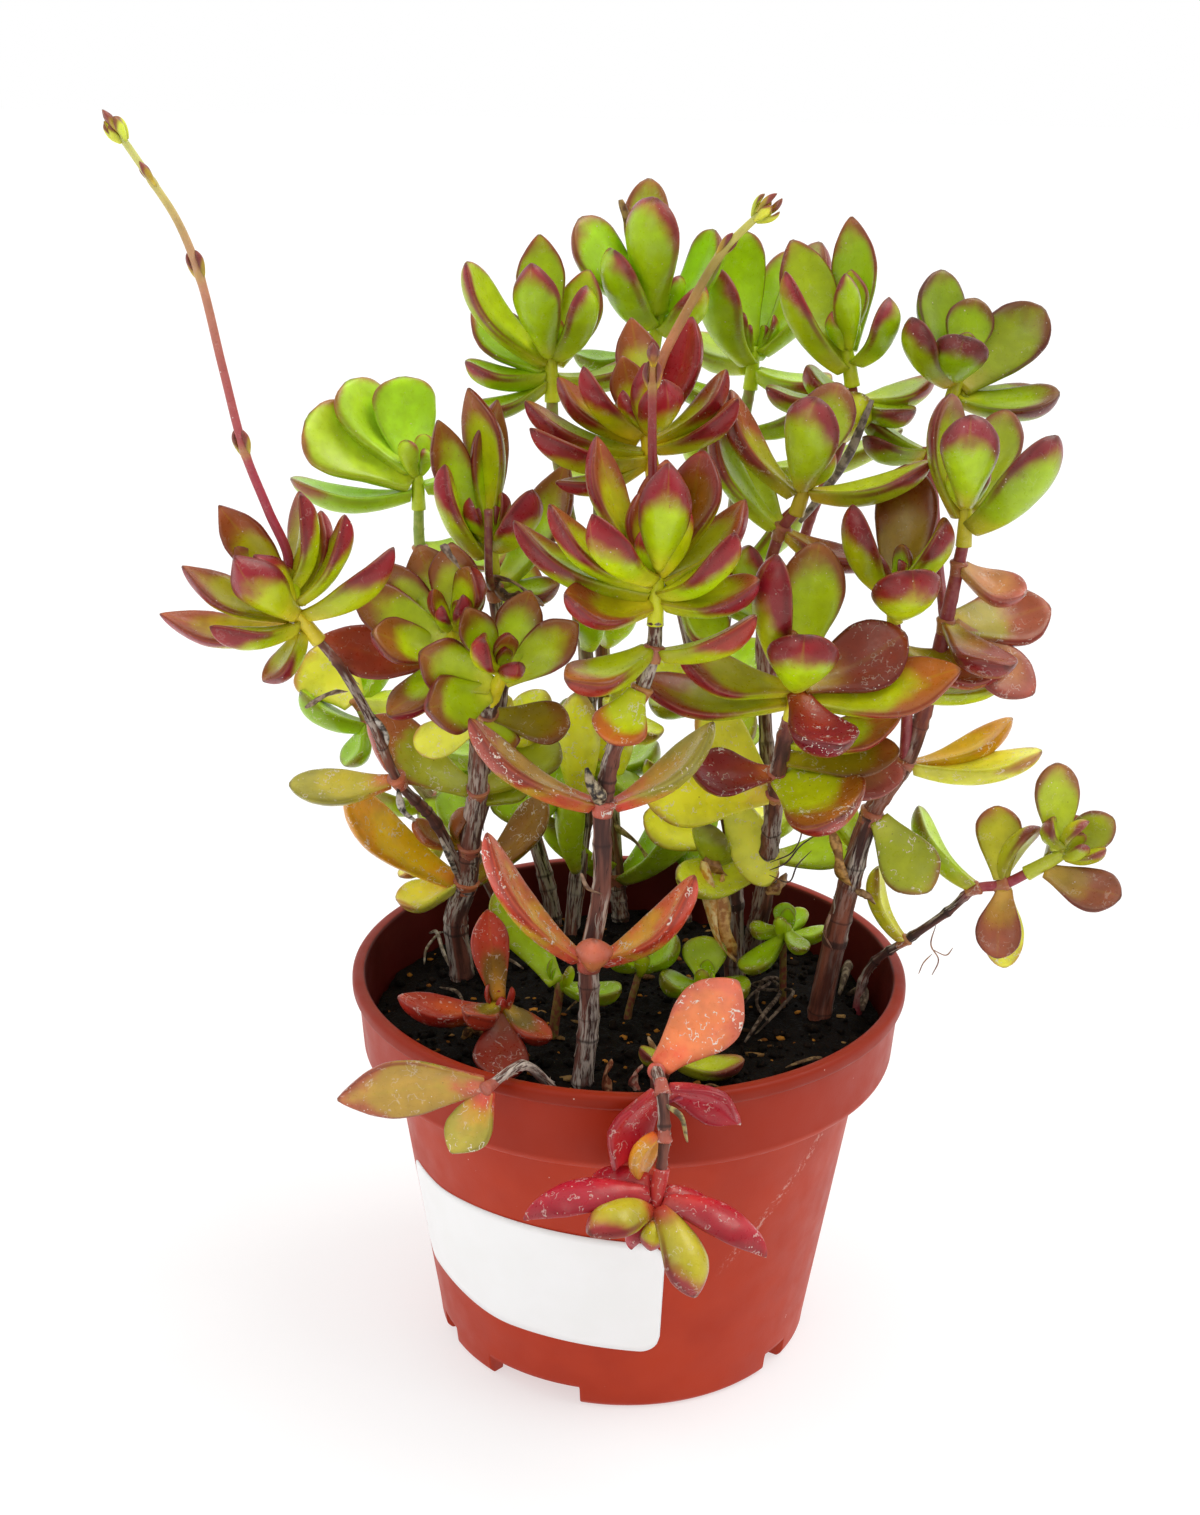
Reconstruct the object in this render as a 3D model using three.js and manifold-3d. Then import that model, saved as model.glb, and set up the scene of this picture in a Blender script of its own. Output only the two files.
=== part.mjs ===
// A crassula with red-edged leaves in a plastic nursery pot. Millimetres, +Z up.
// The origin is the middle of the pot's foot, on the surface that the pot stands on. The label faces -Y and -X.
// Turns are compass angles in degrees: 0 points along +X, 90 along +Y. Rises are degrees above the horizontal.

import * as THREE from "three";
import { mergeVertices } from "three/addons/utils/BufferGeometryUtils.js";
import Module from "manifold-3d";

const wasm = await Module();
wasm.setup();

// Pot
const LIP_RADIUS = 52.5;
const POT_HEIGHT = 75.2;
const LIP_HEIGHT = 3;
const COLLAR_TOP_RADIUS = 51.4;
const COLLAR_FOOT_RADIUS = 50.5;
const COLLAR_FOOT = 60.7;
const SHOULDER = 57.8;
const SHOULDER_RADIUS = 44.9;
const FOOT_CORNER = 5;
const FOOT_CORNER_RADIUS = 36.8;
const FOOT_RADIUS = 35.3;
const FOOT_RING = 2.2;
const DISC_RADIUS = 25;
const UNDERSIDE = 4.3;
const FLOOR = 5.8;
const WALL = 1.4;
const EDGE = 0.6;
const SHOULDER_STEP = 3.2;
const FLOOR_INSET = 1;
const POT_SIDES = 40;

// Drain notches in the foot ring: middle and width of each, in degrees. The set comes three times round.
const NOTCHES = [[-117.5, 31], [-156, 10]];
const NOTCH_SETS = 3;

// Label
const LABEL_MIDDLE = -122;
const LABEL_HALF_ANGLE = 42.5;
const LABEL_HEIGHT = 28.4;
const LABEL_HALF_HEIGHT = 12.8;
const LABEL_CORNER = 4;
const LABEL_LOW_TURN = -115;
const LABEL_DROP = 0.0015;
const LABEL_THICKNESS = 0.6;
const LABEL_STEPS = 20;

// Soil
const SOIL_TOP = 65;
const SOIL_MOUND = 1.2;
const SOIL_ROUGHNESS = 0.4;
const SOIL_LEVEL_RADIUS = 38;
const SOIL_SIDES = 32;
const ROOT_DEPTH = 4.5;
const GAP = 0.3;

// Leaves: half width and thickness at five stations from the root to the tip
const STATIONS = [0, 0.3, 0.62, 0.86, 1];
const HALF_WIDTHS = [0.28, 0.66, 1, 0.68, 0];
const THICKNESSES = [0.5, 0.9, 1, 0.72, 0];
const SMALL_STATIONS = [0, 0.36, 0.74, 1];
const SMALL_HALF_WIDTHS = [0.3, 0.78, 0.95, 0];
const SMALL_THICKNESSES = [0.5, 0.95, 0.9, 0];
const SMALL_LEAF = 15;
const LEAF_BASE_THICKNESS = 1.1;
const LEAF_THICKNESS_RATE = 0.23;
const LEAF_BOW = 0.09;
const TOP_SHARE = 0.32;
const BLADE_SIDES = 3;

// Rosettes
const CORE_RADIUS = 2;
const CORE_TIP_RADIUS = 1.3;
const CORE_OVER_HEART = 1;
const CORE_RISE_PER_LEAF = 0.45;
const FIRST_ROOT = 2.2;
const LAST_ROOT = 0.8;
const ROOT_REACH = 0.7;
const STEM_SIDES = 6;
const STALK_SIDES = 5;

// Leaves that meet bend apart. Where they meet is felt at these places along and across each leaf.
const FEEL_ALONG = [0.34, 0.5, 0.66, 0.82, 0.95];
const FEEL_ACROSS = [-0.7, 0, 0.7];
const FEEL_MIDDLE_ROOM = 0.5;
const FEEL_EDGE_ROOM = 0.38;
const OWN_SHOOT_FROM = 0.6;
const CLEARANCE = 0.5;
const LEAF_PUSH = 0.12;
const STEM_PUSH = 0.3;
const LONGEST_PUSH = 1.5;
const FAR_APART = 8;
const BEND_ROUNDS = 60;

// One leaf of a pair or rosette: its turn, rise, length and width, and how far it is twisted on its own length
const leaf = (turn, rise, length, width, twist = 0) => ({ turn, rise, length, width, twist });

// Each shoot is one woody stem with its branches. A stretch is a list of joints: x, y, z, radius, and the leaves
// that spring there. The first joint of a branch lies inside the stem that it grows from.
const SHOOTS = {
  shoot_front: [
    [
      [-8, -29, 65, 2.9],
      [-7, -29, 78, 2.8],
      [-7, -29, 89.5, 2.7, leaf(175, 52, 30, 9), leaf(0, 43, 25, 9), leaf(-80, 50, 9, 6)],
      [-5, -30, 104, 2.4],
      [-5, -30, 119.5, 2.3, leaf(180, 34, 28, 9), leaf(15, 39, 24, 8)],
      [-3, -30, 131, 2.1],
      [1, -29, 140, 2, leaf(-130, -40, 11, 9)],
      [3, -28.5, 147, 1.9, leaf(215, -6, 18, 10), leaf(-10, 24, 19, 8)],
      [3.2, -27.5, 152.5, 1.8],
    ],
  ],
  shoot_left: [
    [
      [-33, 14, 65, 3.2],
      [-34, 12, 78, 3],
      [-32, 11, 86, 2.9, leaf(195, 42, 31, 10, -20), leaf(190, -10, 14, 8), leaf(20, 45, 23, 8)],
      [-31, 8, 95, 2.7, leaf(200, 32, 13, 5), leaf(-80, 70, 10, 5)],
      [-29, 2, 109, 2.5, leaf(195, 39, 26, 11, -30), leaf(20, 27, 18, 9)],
      [-28, -6, 122, 2.2],
      [-26, -14, 130, 2, leaf(-60, -40, 9, 7), leaf(-5, -5, 15, 8)],
      [-25, -17, 134, 1.8],
    ],
    [
      [-28, -5, 121, 1.9],
      [-30, -9.5, 131, 1.8],
      [-31.2, -13, 138.5, 1.6],
    ],
    [
      [-31, 8, 95, 2.2],
      [-26, 7, 114, 2],
      [-24.5, 3, 135, 1.9],
      [-25.5, -3, 149.5, 1.8, leaf(40, 52, 27, 9), leaf(10, 4, 12, 7)],
      [-25.8, -3.6, 154, 1.6],
    ],
    [
      [-25.5, -3, 149.5, 1.1],
      [-26, -7.5, 153, 1.1],
      [-26, -10, 166, 1.2],
    ],
    [
      [-32, 11, 86, 2.2],
      [-37, 3, 102, 2],
      [-43, -6, 114, 1.8, leaf(185, -2, 20, 8)],
      [-47, -12, 128, 1.7],
      [-52, -17, 140, 1.6],
      [-55.5, -19, 145.5, 1.5],
    ],
  ],
  shoot_centre: [
    [
      [21, 12, 65, 2.7],
      [20, 12, 83, 2.5],
      [19.5, 11, 96, 2.4, leaf(190, 38, 18, 9, -30), leaf(10, 32, 15, 8)],
      [17, 9, 108, 2.3],
      [13, 6, 126, 2.1],
      [8, 3, 147, 1.9],
      [4, -1, 163, 1.8],
      [2.4, -1.8, 171, 1.7],
    ],
  ],
  shoot_right_front: [
    [
      [24, 20, 65, 2.6],
      [25, 14, 77, 2.5],
      [26, 7, 91, 2.4, leaf(160, 44, 20, 9)],
      [26, 0, 103, 2.2],
      [26, -9, 114, 2, leaf(180, -3, 24, 10, -20), leaf(10, 11, 23, 9, 20)],
      [25.7, -14.5, 120, 2, leaf(190, 6, 16, 9), leaf(0, 2, 23, 9), leaf(-50, -5, 18, 15)],
      [26.5, -19, 129, 1.9],
      [27.2, -21.4, 134, 1.7],
    ],
    [
      [26, 0, 103, 2],
      [24, 6, 127, 1.9],
      [23, 4, 147, 1.7],
      [25.5, 1, 160.5, 1.6, leaf(165, 54, 22, 8), leaf(130, 40, 18, 8, -30), leaf(-15, -8, 18, 8)],
      [28.2, 0.3, 164.8, 1.5],
    ],
    [
      [24, 6, 127, 1.8],
      [29, 16, 146, 1.7],
      [32, 20, 158, 1.6],
      [36, 22, 168, 1.5],
      [39, 22, 179.5, 1.4, leaf(190, 10, 17, 8), leaf(20, 13, 17, 8),
        leaf(-20, -17, 12, 8), leaf(170, 34, 11, 8)],
      [38.4, 22, 183.5, 1.3],
    ],
  ],
  shoot_right: [
    [
      [37, 1, 65, 3],
      [39, 0, 81, 2.9],
      [41, -1, 93, 2.7],
      [44, -3, 108, 2.4, leaf(-30, -45, 18, 10)],
      [49.5, -4, 118.5, 2.1, leaf(-5, 9, 25, 8), leaf(15, 20, 22, 7)],
      [52, -6, 129, 1.9],
      [54.5, -8, 146.5, 1.7, leaf(20, 4, 21, 12, 30), leaf(-20, -33, 20, 9, 40), leaf(-60, -7, 19, 9)],
      [56, -8, 157, 1.5, leaf(-25, -14, 13, 8, 20)],
      [56.7, -8, 162, 1.4],
    ],
    [
      [49.5, -4, 118.5, 1.7],
      [48.5, -8, 133, 1.6, leaf(5, 16, 20, 8), leaf(200, -4, 12, 8)],
      [46, -11, 144, 1.4],
      [45, -12, 149, 1.3],
    ],
    [
      [54.5, -8, 146.5, 1.6],
      [54, 4, 155, 1.5],
      [54, 14, 163, 1.4],
      [53, 18, 171, 1.4, leaf(185, 14, 13, 7), leaf(150, 42, 15, 8)],
      [56, 18, 179.5, 1.3],
    ],
  ],
  shoot_back_left: [
    [
      [-16, 42, 65, 2.2],
      [-23, 44, 90, 2],
      [-38, 44, 116, 1.8],
      [-43, 42, 144, 1.5, leaf(15, -2, 20, 9, 30)],
      [-43.2, 42, 153.5, 1.3],
    ],
  ],
  shoot_left_back: [
    [
      [-24, 31, 65, 1.9],
      [-31, 29, 83, 1.8],
      [-40, 28, 96.5, 1.7, leaf(200, 16, 13, 7), leaf(30, 50, 15, 8), leaf(-30, -12, 9, 9)],
      [-47, 27, 106, 1.6, leaf(110, 30, 17, 9)],
      [-52, 26, 113.4, 1.5, leaf(190, 28, 15, 9), leaf(230, -49, 10, 7)],
      [-54, 26, 117.5, 1.4, leaf(160, 45, 14, 13, -30), leaf(5, 12, 13, 8), leaf(70, 50, 14, 9)],
    ],
  ],
  shoot_top_left: [
    [
      [-12, 34, 65, 2.2],
      [-9, 34, 103, 2.1, leaf(200, -22, 22, 12, -40), leaf(5, -30, 14, 10)],
      [-10, 28, 131, 1.9],
      [-13, 22, 156, 1.7],
      [-16, 18, 175, 1.5],
      [-16.2, 18, 180.5, 1.4],
    ],
  ],
  shoot_top_centre: [
    [
      [-2, 43, 65, 2.3],
      [-3, 43, 74, 2.2, leaf(190, 56, 22, 7), leaf(5, 48, 25, 9, 40)],
      [-5, 44, 97, 2.1, leaf(170, 58, 18, 12, -30), leaf(10, 31, 12, 9)],
      [-7, 41, 135, 1.9],
      [-7, 35, 163, 1.7],
      [-3, 31, 178, 1.5],
      [1, 30, 185.5, 1.4, leaf(180, 1, 14, 7), leaf(-10, -25, 17, 7)],
      [2.2, 30, 188.4, 1.3],
    ],
  ],
  shoot_top_right: [
    [
      [11, 43, 65, 2.3],
      [12.5, 45, 76, 2.2, leaf(-90, 62, 10, 9), leaf(80, 40, 17, 8)],
      [15, 46, 99, 2.1],
      [16, 46, 114, 2, leaf(-40, -40, 14, 10), leaf(200, -5, 14, 9), leaf(60, 20, 20, 9)],
      [18, 45, 134, 1.9, leaf(100, 25, 19, 9)],
      [19.5, 42, 167, 1.6],
      [21, 42, 178.5, 1.4],
    ],
  ],
  shoot_trailing: [
    [
      [44.5, 4, 65, 1.2],
      [45, 3.6, 70, 1.1],
      [47, 3, 75, 1],
      [52.3, 1, 80.5, 1, leaf(190, 58, 17, 6)],
      [60, -1, 88, 1],
      [64.4, -2, 93, 1.2, leaf(150, 48, 19, 8)],
      [69.5, -2, 94, 1.3, leaf(100, 62, 15, 8), leaf(-100, -65, 14, 8),
        leaf(60, -76, 20, 7), leaf(30, 52, 13, 6)],
      [74.5, -3, 97.4, 1.2],
    ],
  ],
  shoot_hanging: [
    [
      [6, -43, 65, 1.6],
      [5.5, -45.5, 72, 1.5],
      [5, -49.8, 79, 1.4, leaf(20, 46, 21, 11)],
      [6, -55.5, 78.5, 1.4, leaf(215, -58, 16, 8), leaf(0, -25, 15, 7)],
      [6.5, -59.5, 72, 1.2, leaf(190, -60, 9, 6)],
      [6, -61, 65.5, 1.1],
    ],
  ],
  shoot_over_lip: [
    [
      [-12, -37, 65, 1.3],
      [-13.5, -41.5, 71, 1.2],
      [-18, -47, 78, 1.1],
      [-23.4, -53, 77, 1.1, leaf(182, -6, 26, 10), leaf(215, -55, 13, 8)],
    ],
  ],
};

// Each rosette sits on the end of a stretch: shoot, number of the stretch, the heart where its leaves meet,
// and its leaves from the outside in
const ROSETTES = {
  rosette_far_left: ["shoot_left", 4, [-57.8, -20, 149], [
    leaf(200, -58, 13, 7), leaf(175, -1, 25, 7), leaf(215, 4, 17, 7), leaf(5, 38, 21, 8, -35),
    leaf(180, 24, 22, 7), leaf(225, 46, 19, 8), leaf(60, 73, 19, 7), leaf(-10, 67, 21, 7),
    leaf(190, 60, 24, 7), leaf(100, 80, 22, 7), leaf(-80, 78, 24, 6.5),
  ]],
  rosette_left_upper: ["shoot_left", 1, [-31.6, -14, 142.7], [
    leaf(192, 0, 25, 9, -35), leaf(225, -33, 18, 8), leaf(205, 16, 16, 8.5), leaf(170, 50, 20, 7),
    leaf(190, 39, 21, 8), leaf(60, 50, 14, 7), leaf(150, 57, 19, 8.5), leaf(100, 70, 18, 8),
    leaf(30, 78, 15, 8),
  ]],
  rosette_left_lower: ["shoot_left", 0, [-23.4, -20, 138.5], [
    leaf(215, -8, 15, 9.5), leaf(195, 21, 15.5, 9), leaf(10, 36, 17, 8), leaf(60, 55, 17, 7.5),
    leaf(200, 66, 15, 6), leaf(-105, 50, 13, 6.5),
  ]],
  rosette_dark: ["shoot_left", 2, [-26.1, -4, 158.1], [
    leaf(200, 38, 18, 8), leaf(150, 48, 16, 6), leaf(-55, 57, 16, 9), leaf(160, 68, 24, 7),
    leaf(87, 72, 26, 7.5), leaf(126, 74, 28, 8),
  ]],
  rosette_centre: ["shoot_centre", 0, [1.4, -2, 176.2], [
    leaf(200, -18, 18, 5), leaf(205, 12, 23, 8), leaf(180, 19, 23, 8), leaf(-20, 31, 19, 7.5),
    leaf(10, 44, 19, 8), leaf(165, 33, 20, 7), leaf(200, 50, 19, 7), leaf(50, 62, 24, 8),
    leaf(-80, 46, 20, 7.5), leaf(110, 64, 23, 7),
  ]],
  rosette_front: ["shoot_front", 0, [3.3, -27, 157.3], [
    leaf(205, 4, 17, 10), leaf(-15, 11, 18, 9), leaf(170, 23, 27, 8.5), leaf(-35, 40, 20, 9),
    leaf(190, 40, 24, 8), leaf(30, 39, 22, 9), leaf(225, 46, 22, 8), leaf(140, 60, 28, 8),
    leaf(50, 62, 25, 10), leaf(-80, 72, 25, 8), leaf(80, 72, 22, 8),
  ]],
  rosette_right_front: ["shoot_right_front", 0, [27.5, -22, 138.4], [
    leaf(182, 2, 28, 9), leaf(0, 9, 29, 10.5), leaf(-65, -14, 18, 11), leaf(190, 20, 22, 9),
    leaf(15, 24, 22, 12, 35), leaf(-88, 50, 18, 11), leaf(-125, 74, 27, 10), leaf(60, 74, 26, 10),
  ]],
  rosette_right_middle: ["shoot_right_front", 1, [29.1, 0, 168.4], [
    leaf(160, 49, 22, 8.5), leaf(-10, 14, 23, 8), leaf(-85, 62, 21, 9.5), leaf(60, 54, 21, 9),
  ]],
  rosette_right_upper: ["shoot_right_front", 2, [37.6, 22, 187.5], [
    leaf(200, 51, 21, 7), leaf(-30, 58, 14, 9), leaf(150, 58, 24, 10, -20), leaf(90, 70, 26, 8),
    leaf(-110, 72, 17, 5), leaf(90, 76, 16, 6),
  ]],
  rosette_right_inner: ["shoot_right", 1, [44.5, -12, 152.8], [
    leaf(-85, 31, 17, 11), leaf(90, 52, 25, 10.5), leaf(200, 63, 19, 7.5), leaf(-20, 60, 17, 9),
  ]],
  rosette_right: ["shoot_right", 0, [56.7, -8, 166.7], [
    leaf(-30, 46, 22, 10, -30), leaf(140, 72, 21, 9), leaf(60, 45, 22, 9), leaf(-100, 66, 21, 9),
  ]],
  rosette_right_back: ["shoot_right", 2, [56.8, 18, 183.2], [
    leaf(-10, 0, 19, 9, 20), leaf(25, -8, 22, 9, 20), leaf(20, 39, 22, 11, 40), leaf(210, 53, 17, 9),
    leaf(100, 58, 23, 10), leaf(-90, 52, 14, 9), leaf(60, 64, 17, 8),
  ]],
  rosette_back_left: ["shoot_back_left", 0, [-43.3, 42, 157.8], [
    leaf(185, 2, 25, 9), leaf(10, 20, 16, 9), leaf(190, 36, 25, 14, -40), leaf(125, 63, 21, 12),
    leaf(160, 50, 24, 13, -20),
  ]],
  rosette_top_left: ["shoot_top_left", 0, [-16.4, 18, 184.7], [
    leaf(205, -17, 18, 6), leaf(20, 5, 17, 8), leaf(190, 8, 16, 8), leaf(160, 34, 19, 9),
    leaf(40, 60, 20, 9), leaf(200, 52, 26, 9), leaf(-30, 66, 18, 8), leaf(-110, 66, 23, 8),
    leaf(110, 72, 25, 8),
  ]],
  rosette_top_centre: ["shoot_top_centre", 0, [2.8, 30, 192], [
    leaf(-30, 40, 12, 8), leaf(215, 46, 18, 11), leaf(25, 52, 20, 9), leaf(165, 50, 24, 11, -35),
    leaf(-98, 72, 25, 11), leaf(102, 68, 27, 9),
  ]],
  rosette_top_right: ["shoot_top_right", 0, [21.3, 42, 182.5], [
    leaf(-20, -8, 16, 10), leaf(130, 10, 18, 10), leaf(215, 62, 21, 11), leaf(60, 52, 25, 10),
    leaf(20, 60, 26, 12), leaf(115, 76, 25, 11),
  ]],
  rosette_trailing: ["shoot_trailing", 0, [78.5, -4, 100.5], [
    leaf(-30, -20, 14, 8), leaf(60, 10, 15, 6), leaf(10, 35, 13, 7), leaf(100, 78, 18, 8),
    leaf(170, 78, 8, 6),
  ]],
  rosette_hanging: ["shoot_hanging", 0, [5.5, -61.5, 61.5], [
    leaf(150, -9, 14, 7), leaf(15, -40, 13, 7), leaf(185, -10, 23, 8), leaf(-15, -23, 21, 8),
    leaf(-60, -42, 18, 8), leaf(220, -6, 15, 8), leaf(-100, -55, 9, 4),
  ]],
};

// Each flower stalk stands in the heart of a rosette: its joints, and the bract pairs at some of them
const STALKS = {
  stalk_far_left: ["rosette_far_left", [
    [-59.4, -20, 159, 1.2],
    [-62.5, -20.4, 168, 1.1],
    [-66, -20.7, 178, 1.05, leaf(180, 60, 7, 2.4), leaf(180, 88, 7, 2.4)],
    [-69, -21, 192, 1],
    [-72, -22, 207.5, 1, leaf(180, 57, 8, 2.4), leaf(180, 82, 8, 2.4)],
    [-75, -22.5, 216, 0.9],
    [-78.5, -23, 222, 0.85, leaf(180, 64, 7, 2.4)],
    [-83.5, -24, 230, 0.8, leaf(180, 42, 4.5, 2.2), leaf(180, 75, 4.5, 2.2)],
  ]],
  stalk_centre: ["rosette_centre", [
    [2.2, -2.3, 184, 1.3],
    [3, -3, 190, 1.2],
    [7.5, -4, 200, 1.1],
    [13, -5, 210, 1, leaf(0, 40, 7, 2.4), leaf(0, 70, 7, 2.4)],
    [16.5, -6, 214, 0.9],
    [19.5, -6.6, 217, 0.8, leaf(0, 35, 4.5, 2.2), leaf(0, 70, 4.5, 2.2)],
  ]],
  stalk_front: ["rosette_front", [
    [3.2, -27.4, 165, 1.2],
    [2.5, -28, 172, 1.1],
    [2, -28, 182, 1],
    [1.8, -28, 192, 0.95, leaf(0, 84, 7, 2.4), leaf(180, 78, 7, 2.4)],
    [1.8, -28, 197, 0.8],
  ]],
};

// Small sprouts in the soil: foot on the soil, heart, stem radius and leaves
const SPROUTS = {
  sprout_left: [[-21, -21, 65], [-23.3, -22, 75.5], 1.3, [
    leaf(-85, -25, 16, 9), leaf(185, 10, 19, 8), leaf(-20, -20, 11, 7), leaf(230, 15, 9, 7),
    leaf(115, 72, 19, 7),
  ]],
  sprout_green: [[-14, -12, 65], [-12.7, -13, 76.5], 1.2, [
    leaf(-15, 5, 12, 6), leaf(168, 56, 22, 8.5),
  ]],
  sprout_star: [[30, 5, 65], [29.5, 4.5, 79], 0.9, [
    leaf(215, -25, 11, 6), leaf(5, 12, 9, 4), leaf(60, 20, 9, 4), leaf(115, 45, 7, 4), leaf(170, 15, 7, 4),
    leaf(-60, 5, 8, 4),
  ]],
  sprout_round: [[14, -4, 65], [14.4, -3, 71.8], 1, [
    leaf(180, 18, 9, 7), leaf(0, 8, 9, 7), leaf(90, 55, 10, 8),
  ]],
  sprout_middle: [[0, -2, 65], [2, -1, 74], 0.9, [
    leaf(20, 40, 10, 6), leaf(190, 40, 8, 5),
  ]],
  sprout_olive: [[7, -26, 65], [8.5, -26, 67.8], 0.9, [
    leaf(0, 4, 13, 6.5), leaf(180, 25, 7, 4),
  ]],
};

const COLOURS = {
  pot: "#a8412b",
  label: "#f4f3f0",
  soil: "#241c17",
  shoot: "#6d7a2c",
  rosette: "#8f9a2e",
  stalk: "#8c2f33",
  sprout: "#7fae3a",
};

function material(kind, roughness) {
  return new THREE.MeshStandardMaterial({ color: COLOURS[kind], roughness, metalness: 0 });
}

function radians(degrees) {
  return degrees * Math.PI / 180;
}

// Unit vector with this turn and rise
function pointing(turn, rise) {
  const flat = Math.cos(radians(rise));
  const x = flat * Math.cos(radians(turn));
  const y = flat * Math.sin(radians(turn));
  return new THREE.Vector3(x, y, Math.sin(radians(rise)));
}

function vector(numbers) {
  return new THREE.Vector3(numbers[0], numbers[1], numbers[2]);
}

// Value at this share of the way through evenly spaced values
function blend(values, share) {
  const place = share * (values.length - 1);
  const low = Math.min(Math.floor(place), values.length - 2);
  return values[low] + (values[low + 1] - values[low]) * (place - low);
}

// Value at this place, from values that belong to rising places
function valueAt(places, values, place) {
  const high = places.findIndex((one) => one >= place);
  if (high <= 0) {
    return values[0];
  }
  const share = (place - places[high - 1]) / (places[high] - places[high - 1]);
  return values[high - 1] + (values[high] - values[high - 1]) * share;
}

// Geometry to solid and back
function solidFrom(geometry) {
  geometry.deleteAttribute("normal");
  geometry.deleteAttribute("uv");
  const closed = mergeVertices(geometry, 1e-4);
  const vertProperties = new Float32Array(closed.attributes.position.array);
  const triVerts = new Uint32Array(closed.index.array);
  return new wasm.Manifold(new wasm.Mesh({ numProp: 3, vertProperties, triVerts }));
}

function meshFrom(solid, name, kind, roughness) {
  const cut = solid.getMesh();
  const geometry = new THREE.BufferGeometry();
  geometry.setAttribute("position", new THREE.BufferAttribute(cut.vertProperties, 3));
  geometry.setIndex(new THREE.BufferAttribute(cut.triVerts, 1));
  geometry.computeVertexNormals();
  const mesh = new THREE.Mesh(geometry, material(kind, roughness));
  mesh.name = name;
  return mesh;
}

// One body from overlapping solids, less the room of what stands in it. A hollow that the joining seals is
// filled, and a loose scrap is dropped.
function joined(solids, rooms) {
  const whole = solids.reduce((sum, next) => sum.add(next));
  const bodies = rooms.reduce((rest, room) => rest.subtract(room), whole).decompose();
  return bodies.reduce((largest, body) => (body.volume() > largest.volume() ? body : largest));
}

// A closed prism whose rings are moved by place(share along it, sideways, upwards), which returns a point
function sweep(sides, steps, place, pointed) {
  const prism = new THREE.CylinderGeometry(pointed ? 0 : 1, 1, 1, sides, steps);
  const points = prism.attributes.position;
  for (let i = 0; i < points.count; i += 1) {
    const share = points.getY(i) + 0.5;
    const reach = Math.hypot(points.getX(i), points.getZ(i));
    const scale = reach > 1e-6 ? 1 / reach : 0;
    const point = place(share, points.getX(i) * scale, -points.getZ(i) * scale);
    points.setXYZ(i, point.x, point.y, point.z);
  }
  return solidFrom(prism);
}

// The stem through these joints: a round tube along a smooth curve
function stem(joints, sides) {
  const curve = new THREE.CatmullRomCurve3(joints.map(vector), false, "centripetal");
  const radii = joints.map((joint) => joint[3]);
  const steps = joints.length - 1;
  const side = new THREE.Vector3();
  const up = new THREE.Vector3();
  const start = curve.getTangent(0);
  side.crossVectors(start, Math.abs(start.z) > 0.7 ? new THREE.Vector3(0, 1, 0) : new THREE.Vector3(0, 0, 1));
  side.normalize();
  return sweep(sides, steps, (share, across, above) => {
    const along = curve.getTangent(share);
    const firm = side.clone().addScaledVector(along, -side.dot(along)).normalize();
    up.crossVectors(firm, along).negate();
    const radius = blend(radii, share);
    const point = curve.getPoint(share);
    point.addScaledVector(firm, across * radius);
    return point.addScaledVector(up, above * radius);
  }, false);
}

// The direction of a leaf's upper face: towards the axis that the leaf stands round
function upperFace(blade) {
  const along = blade.tip.clone().sub(blade.root).normalize();
  const face = blade.axis.clone().addScaledVector(along, -blade.axis.dot(along));
  if (face.length() < 0.15) {
    face.copy(blade.outward).negate();
    face.addScaledVector(along, -face.dot(along));
  }
  return face.normalize().applyAxisAngle(along, radians(blade.twist));
}

// How far the middle of a blade bows away from the straight line between its ends
function bowAt(blade, along) {
  return 4 * LEAF_BOW * blade.length * along * (1 - along);
}

// A fleshy pointed blade, flat above and keeled below, which bows outwards
function bladeSolid(blade) {
  const small = blade.length < SMALL_LEAF;
  const stations = small ? SMALL_STATIONS : STATIONS;
  const halves = small ? SMALL_HALF_WIDTHS : HALF_WIDTHS;
  const depths = small ? SMALL_THICKNESSES : THICKNESSES;
  const chord = blade.tip.clone().sub(blade.root);
  const face = upperFace(blade);
  const side = new THREE.Vector3().crossVectors(face, chord).normalize();
  const edge = Math.sin(2 * Math.PI / BLADE_SIDES);
  return sweep(BLADE_SIDES, stations.length - 1, (share, across, above) => {
    const station = Math.round(share * (stations.length - 1));
    const along = stations[station];
    const half = halves[station] * blade.width / 2;
    const deep = depths[station] * blade.thickness;
    const lift = above > 0 ? TOP_SHARE * deep : (TOP_SHARE - 1) * deep;
    const point = blade.root.clone().addScaledVector(chord, along);
    point.addScaledVector(face, lift - bowAt(blade, along));
    return point.addScaledVector(side, across / edge * half);
  }, true);
}

// A blade with its root sunk in what it grows from, which has this axis and radius at the root
function makeBlade(node, heart, middle, axis, radius, form) {
  const direction = pointing(form.turn, form.rise);
  const outward = direction.clone().addScaledVector(axis, -direction.dot(axis)).normalize();
  const root = middle.clone().addScaledVector(outward, ROOT_REACH * radius);
  const tip = heart.clone().addScaledVector(direction, form.length);
  const thickness = LEAF_BASE_THICKNESS + LEAF_THICKNESS_RATE * form.width;
  const length = tip.distanceTo(root);
  return { node, root, tip, axis, outward, thickness, length, width: form.width, twist: form.twist };
}

// Direction of a stretch at one of its joints
function axisAt(joints, number) {
  const curve = new THREE.CatmullRomCurve3(joints.map(vector), false, "centripetal");
  return curve.getTangent(number / (joints.length - 1));
}

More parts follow.
